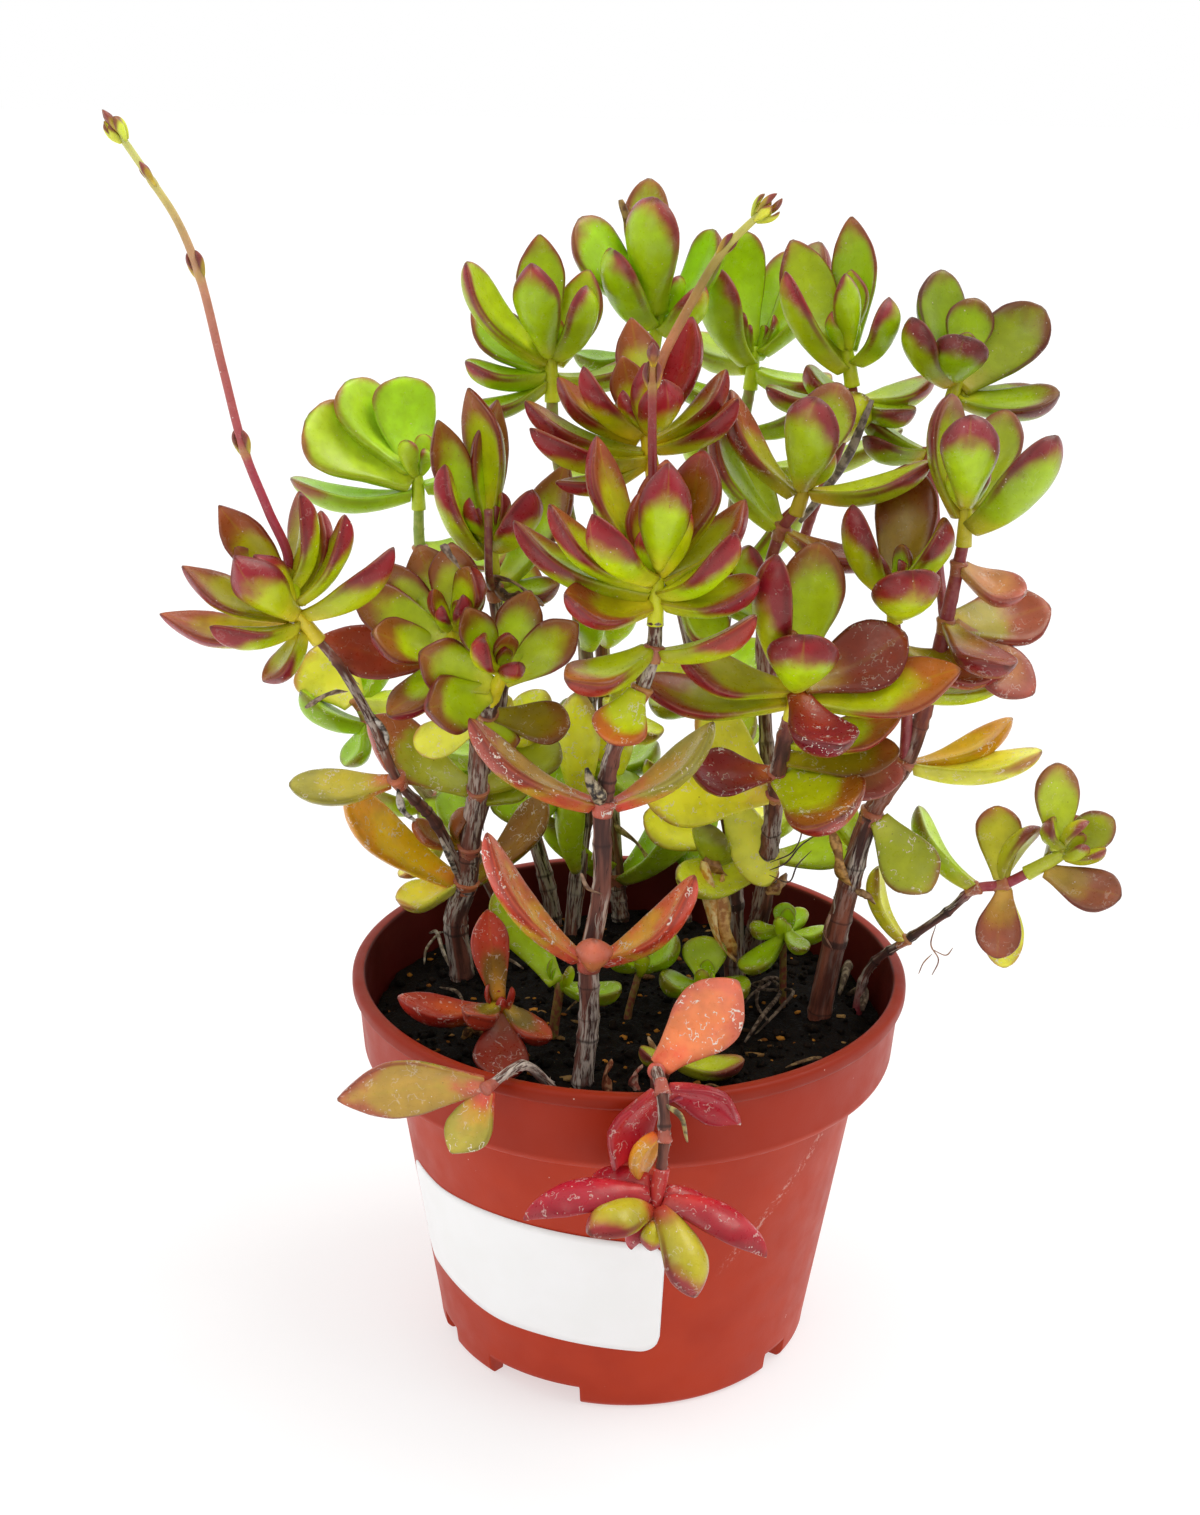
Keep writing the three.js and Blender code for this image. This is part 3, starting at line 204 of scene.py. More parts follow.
# Each shoot is one woody stem with its branches, each a list of joints. A branch starts inside its stem.
SHOOTS: dict[str, list[list[Joint]]] = {
    "shoot_front": [
        [at(-8, -29, 65, 2.9), at(-7, -29, 78, 2.8),
         at(-7, -29, 89.5, 2.7, (175, 52, 30, 9, Look.CORAL), (0, 43, 25, 9, Look.CORAL),
             (-80, 50, 9, 6, Look.BUD_RED)), at(-5, -30, 104, 2.4),
         at(-5, -30, 119.5, 2.3, (180, 34, 28, 9, Look.SALMON), (15, 39, 24, 8, Look.SALMON_TIP)),
         at(-3, -30, 131, 2.1), at(1, -29, 140, 2, (-130, -40, 11, 9, Look.CORAL_EDGE)),
         at(3, -28.5, 147, 1.9, (215, -6, 18, 10, Look.LIME_TIPPED), (-10, 24, 19, 8, Look.LIME_TIPPED)),
         at(3.2, -27.5, 152.5, 1.8)]],
    "shoot_left": [
        [at(-33, 14, 65, 3.2), at(-34, 12, 78, 3),
         at(-32, 11, 86, 2.9, (195, 42, 31, 10, Look.AMBER, -20), (190, -10, 14, 8, Look.PALE),
             (20, 45, 23, 8, Look.SCARRED)),
         at(-31, 8, 95, 2.7, (200, 32, 13, 5, Look.RUSTY), (-80, 70, 10, 5, Look.RUSTY)),
         at(-29, 2, 109, 2.5, (195, 39, 26, 11, Look.OLIVE_PINK, -30), (20, 27, 18, 9, Look.OLIVE_ROUND)),
         at(-28, -6, 122, 2.2),
         at(-26, -14, 130, 2, (-60, -40, 9, 7, Look.GREEN), (-5, -5, 15, 8, Look.SPOTTED)),
         at(-25, -17, 134, 1.8)],
        [at(-28, -5, 121, 1.9), at(-30, -9.5, 131, 1.8), at(-31.2, -13, 138.5, 1.6)],
        [at(-31, 8, 95, 2.2), at(-26, 7, 114, 2), at(-24.5, 3, 135, 1.9),
         at(-25.5, -3, 149.5, 1.8, (40, 52, 27, 9, Look.OLIVE), (10, 4, 12, 7, Look.GREEN)),
         at(-25.8, -3.6, 154, 1.6)],
        [at(-25.5, -3, 149.5, 1.1), at(-26, -7.5, 153, 1.1), at(-26, -10, 166, 1.2)],
        [at(-32, 11, 86, 2.2), at(-37, 3, 102, 2), at(-43, -6, 114, 1.8, (185, -2, 20, 8, Look.PALE_ROSE)),
         at(-47, -12, 128, 1.7), at(-52, -17, 140, 1.6), at(-55.5, -19, 145.5, 1.5)]],
    "shoot_centre": [
        [at(21, 12, 65, 2.7), at(20, 12, 83, 2.5),
         at(19.5, 11, 96, 2.4, (190, 38, 18, 9, Look.YELLOW, -30), (10, 32, 15, 8, Look.YELLOW)),
         at(17, 9, 108, 2.3), at(13, 6, 126, 2.1), at(8, 3, 147, 1.9), at(4, -1, 163, 1.8),
         at(2.4, -1.8, 171, 1.7)]],
    "shoot_right_front": [
        [at(24, 20, 65, 2.6), at(25, 14, 77, 2.5), at(26, 7, 91, 2.4, (160, 44, 20, 9, Look.YELLOW)),
         at(26, 0, 103, 2.2),
         at(26, -9, 114, 2, (180, -3, 24, 10, Look.YELLOW, -20), (10, 11, 23, 9, Look.LIME_TIPPED, 20)),
         at(25.7, -14.5, 120, 2, (190, 6, 16, 9, Look.PLUM), (0, 2, 23, 9, Look.ROSY),
             (-50, -5, 18, 15, Look.ROUND_RED)), at(26.5, -19, 129, 1.9), at(27.2, -21.4, 134, 1.7)],
        [at(26, 0, 103, 2), at(24, 6, 127, 1.9), at(23, 4, 147, 1.7),
         at(25.5, 1, 160.5, 1.6, (165, 54, 22, 8, Look.FRESH), (130, 40, 18, 8, Look.FRESH, -30),
             (-15, -8, 18, 8, Look.MAUVE_RED)), at(28.2, 0.3, 164.8, 1.5)],
        [at(24, 6, 127, 1.8), at(29, 16, 146, 1.7), at(32, 20, 158, 1.6), at(36, 22, 168, 1.5),
         at(39, 22, 179.5, 1.4, (190, 10, 17, 8, Look.FRESH), (20, 13, 17, 8, Look.FRESH),
             (-20, -17, 12, 8, Look.MAUVE), (170, 34, 11, 8, Look.FRESH)), at(38.4, 22, 183.5, 1.3)]],
    "shoot_right": [
        [at(37, 1, 65, 3), at(39, 0, 81, 2.9), at(41, -1, 93, 2.7),
         at(44, -3, 108, 2.4, (-30, -45, 18, 10, Look.GREEN_PINK)),
         at(49.5, -4, 118.5, 2.1, (-5, 9, 25, 8, Look.PALE), (15, 20, 22, 7, Look.AMBER)),
         at(52, -6, 129, 1.9),
         at(54.5, -8, 146.5, 1.7, (20, 4, 21, 12, Look.WINE, 30), (-20, -33, 20, 9, Look.ROSY, 40),
             (-60, -7, 19, 9, Look.MAUVE_RED)), at(56, -8, 157, 1.5, (-25, -14, 13, 8, Look.ROSY, 20)),
         at(56.7, -8, 162, 1.4)],
        [at(49.5, -4, 118.5, 1.7),
         at(48.5, -8, 133, 1.6, (5, 16, 20, 8, Look.BACKGREEN), (200, -4, 12, 8, Look.YELLOW)),
         at(46, -11, 144, 1.4), at(45, -12, 149, 1.3)],
        [at(54.5, -8, 146.5, 1.6), at(54, 4, 155, 1.5), at(54, 14, 163, 1.4),
         at(53, 18, 171, 1.4, (185, 14, 13, 7, Look.MAUVE_DARK), (150, 42, 15, 8, Look.FRESH)),
         at(56, 18, 179.5, 1.3)]],
    "shoot_back_left": [
        [at(-16, 42, 65, 2.2), at(-23, 44, 90, 2), at(-38, 44, 116, 1.8),
         at(-43, 42, 144, 1.5, (15, -2, 20, 9, Look.FRESH, 30)), at(-43.2, 42, 153.5, 1.3)]],
    "shoot_left_back": [
        [at(-24, 31, 65, 1.9), at(-31, 29, 83, 1.8),
         at(-40, 28, 96.5, 1.7, (200, 16, 13, 7), (30, 50, 15, 8), (-30, -12, 9, 9)),
         at(-47, 27, 106, 1.6, (110, 30, 17, 9)),
         at(-52, 26, 113.4, 1.5, (190, 28, 15, 9), (230, -49, 10, 7)),
         at(-54, 26, 117.5, 1.4, (160, 45, 14, 13, Look.PALE, -30), (5, 12, 13, 8, Look.PALE),
             (70, 50, 14, 9))]],
    "shoot_top_left": [
        [at(-12, 34, 65, 2.2), at(-9, 34, 103, 2.1, (200, -22, 22, 12, None, -40), (5, -30, 14, 10)),
         at(-10, 28, 131, 1.9), at(-13, 22, 156, 1.7), at(-16, 18, 175, 1.5), at(-16.2, 18, 180.5, 1.4)]],
    "shoot_top_centre": [
        [at(-2, 43, 65, 2.3), at(-3, 43, 74, 2.2, (190, 56, 22, 7), (5, 48, 25, 9, None, 40)),
         at(-5, 44, 97, 2.1, (170, 58, 18, 12, None, -30), (10, 31, 12, 9)), at(-7, 41, 135, 1.9),
         at(-7, 35, 163, 1.7), at(-3, 31, 178, 1.5),
         at(1, 30, 185.5, 1.4, (180, 1, 14, 7), (-10, -25, 17, 7)), at(2.2, 30, 188.4, 1.3)]],
    "shoot_top_right": [
        [at(11, 43, 65, 2.3), at(12.5, 45, 76, 2.2, (-90, 62, 10, 9), (80, 40, 17, 8)), at(15, 46, 99, 2.1),
         at(16, 46, 114, 2, (-40, -40, 14, 10), (200, -5, 14, 9), (60, 20, 20, 9)),
         at(18, 45, 134, 1.9, (100, 25, 19, 9)), at(19.5, 42, 167, 1.6), at(21, 42, 178.5, 1.4)]],
    "shoot_trailing": [
        [at(44.5, 4, 65, 1.2), at(45, 3.6, 70, 1.1), at(47, 3, 75, 1),
         at(52.3, 1, 80.5, 1, (190, 58, 17, 6, Look.YELLOW)), at(60, -1, 88, 1),
         at(64.4, -2, 93, 1.2, (150, 48, 19, 8, Look.BACKGREEN)),
         at(69.5, -2, 94, 1.3, (100, 62, 15, 8, Look.DUSTY), (-100, -65, 14, 8, Look.DUSTY_RED),
             (60, -76, 20, 7, Look.PALE), (30, 52, 13, 6, Look.DUSTY)), at(74.5, -3, 97.4, 1.2)]],
    "shoot_hanging": [
        [at(6, -43, 65, 1.6), at(5.5, -45.5, 72, 1.5), at(5, -49.8, 79, 1.4, (20, 46, 21, 11, Look.ROSE_RED)),
         at(6, -55.5, 78.5, 1.4, (215, -58, 16, 8, Look.MAGENTA), (0, -25, 15, 7, Look.MAGENTA)),
         at(6.5, -59.5, 72, 1.2, (190, -60, 9, 6, Look.PEACH)), at(6, -61, 65.5, 1.1)]],
    "shoot_over_lip": [
        [at(-12, -37, 65, 1.3), at(-13.5, -41.5, 71, 1.2), at(-18, -47, 78, 1.1),
         at(-23.4, -53, 77, 1.1, (182, -6, 26, 10, Look.LIP), (215, -55, 13, 8, Look.SALMON_TIP))]],
}


# Leaves that fill out the plant behind and between the frame's own. A row holds the fields of Filler.
FILLERS: dict[str, list[tuple]] = {
    "shoot_left": [(0, 0.82, (-40, -7, 121), 6.5, Look.PALE, -20),
        (0, 0.60, (-21, 7, 111), 8.5, Look.OLIVE_ROUND), (2, 0.24, (-38, 19, 113), 8, Look.BACKGREEN),
        (2, 0.27, (-17, 17, 124), 8, Look.YELLOW), (2, 0.00, (-36, 20, 102), 7, Look.BACKGREEN),
        (2, 0.39, (-20, 13, 115), 8, Look.YELLOW), (2, 0.59, (-20, 13, 151), 8.5, Look.FRESH)],
    "shoot_left_back": [(0, 0.39, (-41, 25, 98), 7.5, Look.BACKGREEN),
        (0, 0.45, (-46, 20, 83), 7, Look.PALE)],
    "shoot_top_left": [(0, 0.29, (-11, 29, 120), 8.5, Look.YELLOW, 20),
        (0, 0.24, (-12, 28, 100), 6, Look.BACKGREEN), (0, 0.49, (-9, 22, 145), 8, Look.FRESH),
        (0, 0.61, (-8, 20, 157), 8, Look.FRESH), (0, 0.74, (-5, 16, 167), 8, Look.FRESH)],
    "shoot_top_centre": [(0, 0.36, (-5, 34, 114), 8.5, Look.YELLOW),
        (0, 0.25, (14, 31, 98), 9.5, Look.BACKGREEN), (0, 0.27, (-18, 33, 92), 8, Look.BACKGREEN),
        (0, 0.43, (5, 31, 110), 9, Look.YELLOW, -15), (0, 0.42, (1, 34, 127), 9, Look.YELLOW),
        (0, 0.47, (-3, 34, 137), 8, Look.BACKGREEN)],
    "shoot_centre": [(0, 0.33, (14, 6, 102), 8.5, Look.OLIVE_ROUND),
        (0, 0.51, (26, 1, 91), 8.5, Look.PALE, 30), (0, 0.61, (21, -2, 121), 9.5, Look.YELLOW, 30),
        (0, 0.64, (1, 12, 134), 9, Look.YELLOW), (0, 0.75, (16, -1, 140), 9, Look.FRESH),
        (0, 0.73, (16, 2, 155), 8, Look.FRESH), (0, 0.81, (-5, 7, 145), 8, Look.FRESH),
        (0, 0.84, (14, 8, 176), 7, Look.FRESH)],
    "shoot_right_front": [(0, 0.60, (12, -5, 130), 9, Look.PALE),
        (0, 0.85, (47, -16, 132), 7.5, Look.LIME_TIPPED), (0, 0.80, (47, -17, 126), 7.5, Look.SPOTTED, 20),
        (0, 0.42, (44, 7, 99), 7.5, Look.BACKGREEN), (1, 0.44, (11, 9, 153), 8, Look.FRESH),
        (1, 0.49, (20, 0, 158), 8, Look.FRESH), (1, 0.61, (37, 1, 148), 8, Look.FRESH),
        (2, 0.17, (37, 13, 152), 7, Look.MAUVE_RED), (2, 0.68, (40, 18, 182), 7, Look.YELLOW)],
    "shoot_top_right": [(0, 0.83, (50, 34, 172), 8, Look.BACKGREEN), (0, 0.88, (36, 34, 180), 8, Look.FRESH),
        (0, 0.75, (31, 36, 157), 8.5, Look.FRESH), (0, 0.82, (9, 35, 171), 8.5, Look.BACKGREEN),
        (0, 0.56, (32, 38, 128), 8.5, Look.FRESH), (0, 0.38, (34, 36, 91), 8.5, Look.YELLOW),
        (0, 0.38, (3, 38, 102), 9, Look.YELLOW)],
    "shoot_right": [(1, 0.59, (66, -12, 140), 9, Look.WINE), (0, 0.39, (39, 2, 108), 6, Look.BACKGREEN)],
}

# Dead leaves, bark curls, air roots and hairs that hang on the shoots. A row holds the fields of Scrap.
SCRAPS: dict[str, list[tuple]] = {
    "shoot_front": [
        (((-5.4, -31.4, 119.8), (-6.6, -32, 122.6), (-7.9, -32.4, 127.2)), 2.0, 1.5, "#1c120e", "#b8a888"),
        (((-5.4, -31.2, 120), (-5.2, -33, 122.4), (-6.6, -33.4, 125.4)), 1.7, 1.2, "#2a1a14", "#c4b494"),
        (((-5, -32.6, 104), (-7.4, -33.4, 105.4), (-8.6, -33, 108)), 1.1, 0.4, "#5a3a2a", "#9a7c62")],
    "shoot_left": [
        (((-25.6, -5, 152.6), (-22, -7, 152.4), (-18.6, -8, 150.2), (-16.4, -9, 148.6)),
            2.8, 0.5, "#5c3c26", "#a07c54"),
        (((-25.4, -5, 151), (-22.6, -6, 149), (-20.6, -6.6, 150.4)), 2.4, 0.5, "#4c3020", "#8a6644"),
        (((-30.6, -15, 157), (-31.8, -16.4, 159), (-33.4, -16.6, 161.6)), 3.0, 0.5, "#5c463a", "#9a8676"),
        (((-45.5, -9, 120), (-44.4, -10.4, 124), (-46, -13, 128.5)), 1.3, 0.4, "#4a4038", "#d8d0c4"),
        (((-43, -6.6, 113), (-42, -8, 109), (-40, -5, 105.5)), 1.5, 0.4, "#3c342e", "#d8d0c4"),
        (((-36, 1.5, 99.5), (-34.2, 2, 95), (-33.4, 6, 90)), 1.3, 0.4, "#3c342e", "#c8bcae"),
        (((-50.6, -15, 134), (-53.4, -18, 134.6), (-57.4, -20, 132.6)), 1.8, 0.4, "#6a5444", "#b8a48e")],
    "shoot_centre": [
        (((20.6, 5, 73.6), (17.0, 2.2, 79), (15.2, 2.6, 86), (13.8, 3.4, 95)),
            7.6, 0.8, "#e09a3c", "#ffe09a", 40),
        (((20.4, 6.4, 74), (19, 3, 78), (17.6, 3.4, 84), (17.4, 4.4, 92)), 3.8, 0.6, "#c07a30", "#f0c478"),
        (((18.6, 8, 88), (16, 5, 93), (13.8, 5, 95)), 3.4, 0.5, "#8a5a2c", "#c09058")],
    "shoot_right_front": [
        (((41.8, 16, 181.1), (38.4, 14, 172.7), (34, 11, 166), (29.2, 8, 160.2)),
            2.0, 1.8, "#54463e", "#9c8c80"),
        (((25.8, 3.6, 88.6), (28, 3, 90.4), (29.6, 4.6, 92.4)), 3.0, 0.5, "#7a4c28", "#c09660"),
        (((26, 0, 95), (28.9, -1, 97), (31.4, -1, 100.4), (34.6, 0, 102.6)),
            0.34, 0.34, "#2c1c16", "#5a4436", 0),
        (((26, 0, 94), (29.6, -2, 93.6), (31, -2, 97), (33.6, -1, 99.6)), 0.3, 0.3, "#2c1c16", "#5a4436", 0),
        (((26, -1, 97), (30, -2.6, 100), (31.4, -3, 104), (30.8, -3, 107.4)),
            0.3, 0.3, "#2c1c16", "#5a4436", 0)],
    "shoot_right": [
        (((41.4, -2.6, 93), (39, -4.4, 96.6), (38.2, -4, 101), (36.8, -3, 105)),
            2.6, 0.5, "#8a5c28", "#d0a058"),
        (((42, -3, 92.6), (44, -5, 92.4), (45.6, -4.6, 90.6)), 1.8, 0.4, "#7a5432", "#b89468"),
        (((38.4, -2.4, 80), (36.6, -3.6, 84), (37.4, -4, 88)), 1.2, 0.35, "#6a3a2c", "#a8806a")],
    "shoot_top_centre": [
        (((-1.6, 30.6, 205), (-2.9, 30.4, 209.4), (-4.5, 30, 214)), 2.2, 1.4, "#6a4420", "#a08040"),
        (((-6, 40.4, 106), (-9.4, 38, 109), (-15.2, 34, 110.6)), 4.4, 0.6, "#5c3820", "#9a6c40"),
        (((-4.4, 43, 86), (1, 38, 84), (4.6, 37, 79)), 3.4, 0.6, "#7a5a34", "#c0a070")],
    "shoot_trailing": [
        (((57.8, -0.4, 84.6), (57, -1.4, 81), (58.6, -1.6, 78), (57.6, -1.4, 74.6)),
            0.3, 0.3, "#8a5a44", "#b08468", 0),
        (((57.2, -1.2, 80), (60, -1.6, 79), (61.2, -1.6, 80.6)), 0.26, 0.26, "#8a5a44", "#b08468", 0),
        (((57.4, -1.2, 79), (55.8, -1.8, 77.4), (55, -1.8, 75)), 0.26, 0.26, "#8a5a44", "#b08468", 0)],
    "shoot_hanging": [
        (((5, -51, 77.6), (7, -53.4, 76), (9.4, -54, 77.4), (12.6, -54, 76.4)),
            2.6, 0.9, "#9a2440", "#c04458"),
        (((6.2, -57.4, 77), (9, -59.4, 76), (10.4, -59.4, 71)), 1.2, 0.8, "#5a4a30", "#b0a060")],
}

# Dead leaves, chips and roots that lie on the soil, as rows of the same kind.
LITTER: list[tuple] = [
    (((-2.9, -31.7, 64.6), (-3.9, -32, 68), (-2.6, -32.8, 71.6)), 3.2, 0.6, "#8a4a30", "#c08a66"),
    (((2.1, -31.4, 64.6), (1.2, -31.4, 67.6), (2.8, -32, 70.4)), 2.8, 0.6, "#a85a4c", "#d0a08c"),
    (((5.6, -22, 64.8), (5, -22, 68), (3.8, -22, 70.8)), 2.4, 1.0, "#a87c50", "#d8b890"),
    (((22, -12, 65), (25, -9, 68.6), (29.5, 4.8, 67.4), (28, 15.7, 65)), 0.9, 0.9, "#4a3a30", "#8a7868", 0),
    (((24, -9, 65), (28.6, -7, 69.6), (31.6, 2, 69), (27, 8, 66), (24, 12, 65)),
        0.7, 0.7, "#54443a", "#94826f", 0),
    (((20, -6, 65), (23, -3, 70), (27, 1, 71), (24.6, 7, 68), (22, 9, 65)),
        0.6, 0.6, "#4a3a30", "#8a7868", 0),
    (((27, -4, 65), (24.6, -1, 67.6), (26, 4, 70), (29.4, 9, 68), (31, 12, 65)),
        0.7, 0.7, "#5c4a3c", "#a08e7a", 0),
    (((-40.6, 25.6, 68.4), (-39, 24, 69.4), (-37.6, 20.4, 67.4), (-35.7, 17, 65)),
        0.9, 0.8, "#8c7c6c", "#cfc2b0", 0),
    (((-38, 27, 68), (-38.6, 24, 69), (-40.8, 21, 67), (-41, 18, 65)), 0.6, 0.6, "#8c7c6c", "#cfc2b0", 0),
    (((42.4, 17, 66), (43.4, 14, 69), (42.6, 11, 69), (41, 6.6, 66)), 2.0, 1.6, "#6a5a4c", "#a2907c", 0),
    (((43, 9, 65), (45.6, 5, 68), (45, 0, 66)), 1.8, 1.4, "#5c4c40", "#94826f", 0),
    (((-30, 20, 65), (-28, 18, 66.6), (-24, 19, 66), (-21, 17, 65)), 0.7, 0.7, "#6a5848", "#a8967f", 0),
    (((-37, 8, 65), (-33, 3, 66.4), (-31, -2, 65)), 0.7, 0.6, "#5c4c40", "#94826f", 0),
    (((-26, -22, 65.4), (-25.3, -20.3, 66.2), (-24, -18.8, 65.8)), 1.8, 0.7, "#b0702c", "#d8a050"),
    (((-3.6, 4.4, 65.4), (-2.6, 5.4, 66.2), (-1.4, 6, 65.8)), 1.9, 0.8, "#b8742c", "#dca458"),
    (((-31, -14, 65.4), (-29, -13, 66.6), (-26.4, -14, 66)), 2.4, 0.5, "#5a3c24", "#96703f"),
    (((12, -33, 65.4), (15, -32, 66.8), (18, -33, 66)), 1.2, 0.5, "#6a4c30", "#a8844f"),
    (((36, -18, 65.4), (33, -21, 66.4), (29, -23, 65.8)), 1.0, 0.5, "#6a5038", "#a08258"),
    (((-12, -2, 65.4), (-9, 1, 66.6), (-5, 0, 65.8)), 1.1, 0.5, "#54402c", "#96784f")
]


@dataclass(frozen=True)
class RosetteLayout:
    """A rosette: the shoot and stretch that it ends, its heart, its look, and its leaves from outside in."""

    shoot: str
    stretch: int
    heart: Place
    look: Look
    leaves: tuple[Leaf, ...]


ROSETTES: dict[str, RosetteLayout] = {
    "rosette_far_left": RosetteLayout("shoot_left", 4, (-57.8, -20, 149), Look.LANCE,
        leaves((200, -58, 13, 7), (175, -1, 25, 7), (215, 4, 17, 7), (5, 38, 21, 8, None, -35),
            (180, 24, 22, 7), (225, 46, 19, 8), (60, 73, 19, 7), (-10, 67, 21, 7), (190, 60, 24, 7),
            (100, 80, 22, 7), (-80, 78, 24, 6.5))),
    "rosette_left_upper": RosetteLayout("shoot_left", 1, (-31.6, -14, 142.7), Look.GREEN,
        leaves((192, 0, 25, 9, Look.MATT, -35), (225, -33, 18, 8), (205, 16, 16, 8.5), (170, 50, 20, 7),
            (190, 39, 21, 8), (60, 50, 14, 7), (150, 57, 19, 8.5), (100, 70, 18, 8), (30, 78, 15, 8))),
    "rosette_left_lower": RosetteLayout("shoot_left", 0, (-23.4, -20, 138.5), Look.GREEN,
        leaves((215, -8, 15, 9.5), (195, 21, 15.5, 9), (10, 36, 17, 8), (60, 55, 17, 7.5), (200, 66, 15, 6),
            (-105, 50, 13, 6.5))),
    "rosette_dark": RosetteLayout("shoot_left", 2, (-26.1, -4, 158.1), Look.OLIVE,
        leaves((200, 38, 18, 8), (150, 48, 16, 6), (-55, 57, 16, 9), (160, 68, 24, 7), (87, 72, 26, 7.5),
            (126, 74, 28, 8))),
    "rosette_centre": RosetteLayout("shoot_centre", 0, (1.4, -2, 176.2), Look.CRIMSON,
        leaves((200, -18, 18, 5), (205, 12, 23, 8), (180, 19, 23, 8), (-20, 31, 19, 7.5), (10, 44, 19, 8),
            (165, 33, 20, 7), (200, 50, 19, 7), (50, 62, 24, 8, Look.SCARLET), (-80, 46, 20, 7.5),
            (110, 64, 23, 7))),
    "rosette_front": RosetteLayout("shoot_front", 0, (3.3, -27, 157.3), Look.LIME,
        leaves((205, 4, 17, 10), (-15, 11, 18, 9), (170, 23, 27, 8.5, Look.CRIMSON), (-35, 40, 20, 9),
            (190, 40, 24, 8), (30, 39, 22, 9), (225, 46, 22, 8), (140, 60, 28, 8),
            (50, 62, 25, 10, Look.DARK_BACK), (-80, 72, 25, 8), (80, 72, 22, 8))),
    "rosette_right_front": RosetteLayout("shoot_right_front", 0, (27.5, -22, 138.4), Look.BURGUNDY,
        leaves((182, 2, 28, 9, Look.LIME), (0, 9, 29, 10.5, Look.LIME_TIPPED), (-65, -14, 18, 11, Look.PLUM),
            (190, 20, 22, 9, Look.LIME), (15, 24, 22, 12, Look.MAUVE_RED, 35), (-88, 50, 18, 11),
            (-125, 74, 27, 10), (60, 74, 26, 10))),
    "rosette_right_middle": RosetteLayout("shoot_right_front", 1, (29.1, 0, 168.4), Look.MAUVE,
        leaves((160, 49, 22, 8.5, Look.WINE), (-10, 14, 23, 8), (-85, 62, 21, 9.5), (60, 54, 21, 9))),
    "rosette_right_upper": RosetteLayout("shoot_right_front", 2, (37.6, 22, 187.5), Look.FRESH,
        leaves((200, 51, 21, 7), (-30, 58, 14, 9), (150, 58, 24, 10, None, -20), (90, 70, 26, 8),
            (-110, 72, 17, 5), (90, 76, 16, 6))),
    "rosette_right_inner": RosetteLayout("shoot_right", 1, (44.5, -12, 152.8), Look.BURGUNDY,
        leaves((-85, 31, 17, 11, Look.BURGUNDY), (90, 52, 25, 10.5, Look.BROWN), (200, 63, 19, 7.5),
            (-20, 60, 17, 9))),
    "rosette_right": RosetteLayout("shoot_right", 0, (56.7, -8, 166.7), Look.MAUVE,
        leaves((-30, 46, 22, 10, None, -30), (140, 72, 21, 9), (60, 45, 22, 9), (-100, 66, 21, 9))),
    "rosette_right_back": RosetteLayout("shoot_right", 2, (56.8, 18, 183.2), Look.MAUVE_DARK,
        leaves((-10, 0, 19, 9, None, 20), (25, -8, 22, 9, None, 20), (20, 39, 22, 11, None, 40),
            (210, 53, 17, 9), (100, 58, 23, 10), (-90, 52, 14, 9), (60, 64, 17, 8))),
    "rosette_back_left": RosetteLayout("shoot_back_left", 0, (-43.3, 42, 157.8), Look.BRIGHT,
        leaves((185, 2, 25, 9), (10, 20, 16, 9), (190, 36, 25, 14, None, -40), (125, 63, 21, 12),
            (160, 50, 24, 13, None, -20))),
    "rosette_top_left": RosetteLayout("shoot_top_left", 0, (-16.4, 18, 184.7), Look.FRESH,
        leaves((205, -17, 18, 6), (20, 5, 17, 8), (190, 8, 16, 8), (160, 34, 19, 9), (40, 60, 20, 9),
            (200, 52, 26, 9), (-30, 66, 18, 8), (-110, 66, 23, 8), (110, 72, 25, 8))),
    "rosette_top_centre": RosetteLayout("shoot_top_centre", 0, (2.8, 30, 192), Look.TOPGREEN,
        leaves((-30, 40, 12, 8), (215, 46, 18, 11), (25, 52, 20, 9), (165, 50, 24, 11, None, -35),
            (-98, 72, 25, 11), (102, 68, 27, 9))),
    "rosette_top_right": RosetteLayout("shoot_top_right", 0, (21.3, 42, 182.5), Look.TOPGREEN,
        leaves((-20, -8, 16, 10), (130, 10, 18, 10), (215, 62, 21, 11), (60, 52, 25, 10), (20, 60, 26, 12),
            (115, 76, 25, 11))),
    "rosette_trailing": RosetteLayout("shoot_trailing", 0, (78.5, -4, 100.5), Look.DUSTY,
        leaves((-30, -20, 14, 8, Look.DUSTY_RED), (60, 10, 15, 6, Look.BROWN), (10, 35, 13, 7),
            (100, 78, 18, 8), (170, 78, 8, 6))),
    "rosette_hanging": RosetteLayout("shoot_hanging", 0, (5.5, -61.5, 61.5), Look.MAGENTA,
        leaves((150, -9, 14, 7), (15, -40, 13, 7), (185, -10, 23, 8), (-15, -23, 21, 8),
            (-60, -42, 18, 8, Look.PINKGREEN), (220, -6, 15, 8, Look.PINKGREEN),
            (-100, -55, 9, 4, Look.PINKGREEN))),
}


@dataclass(frozen=True)
class StalkLayout:
    """A flower stalk: its rosette, its joints, its colours from the bottom up, and its bracts' looks."""

    rosette: str
    joints: tuple[Joint, ...]
    tones: tuple[str, ...]
    bract: Look
    top: Look = Look.TIP_BUD


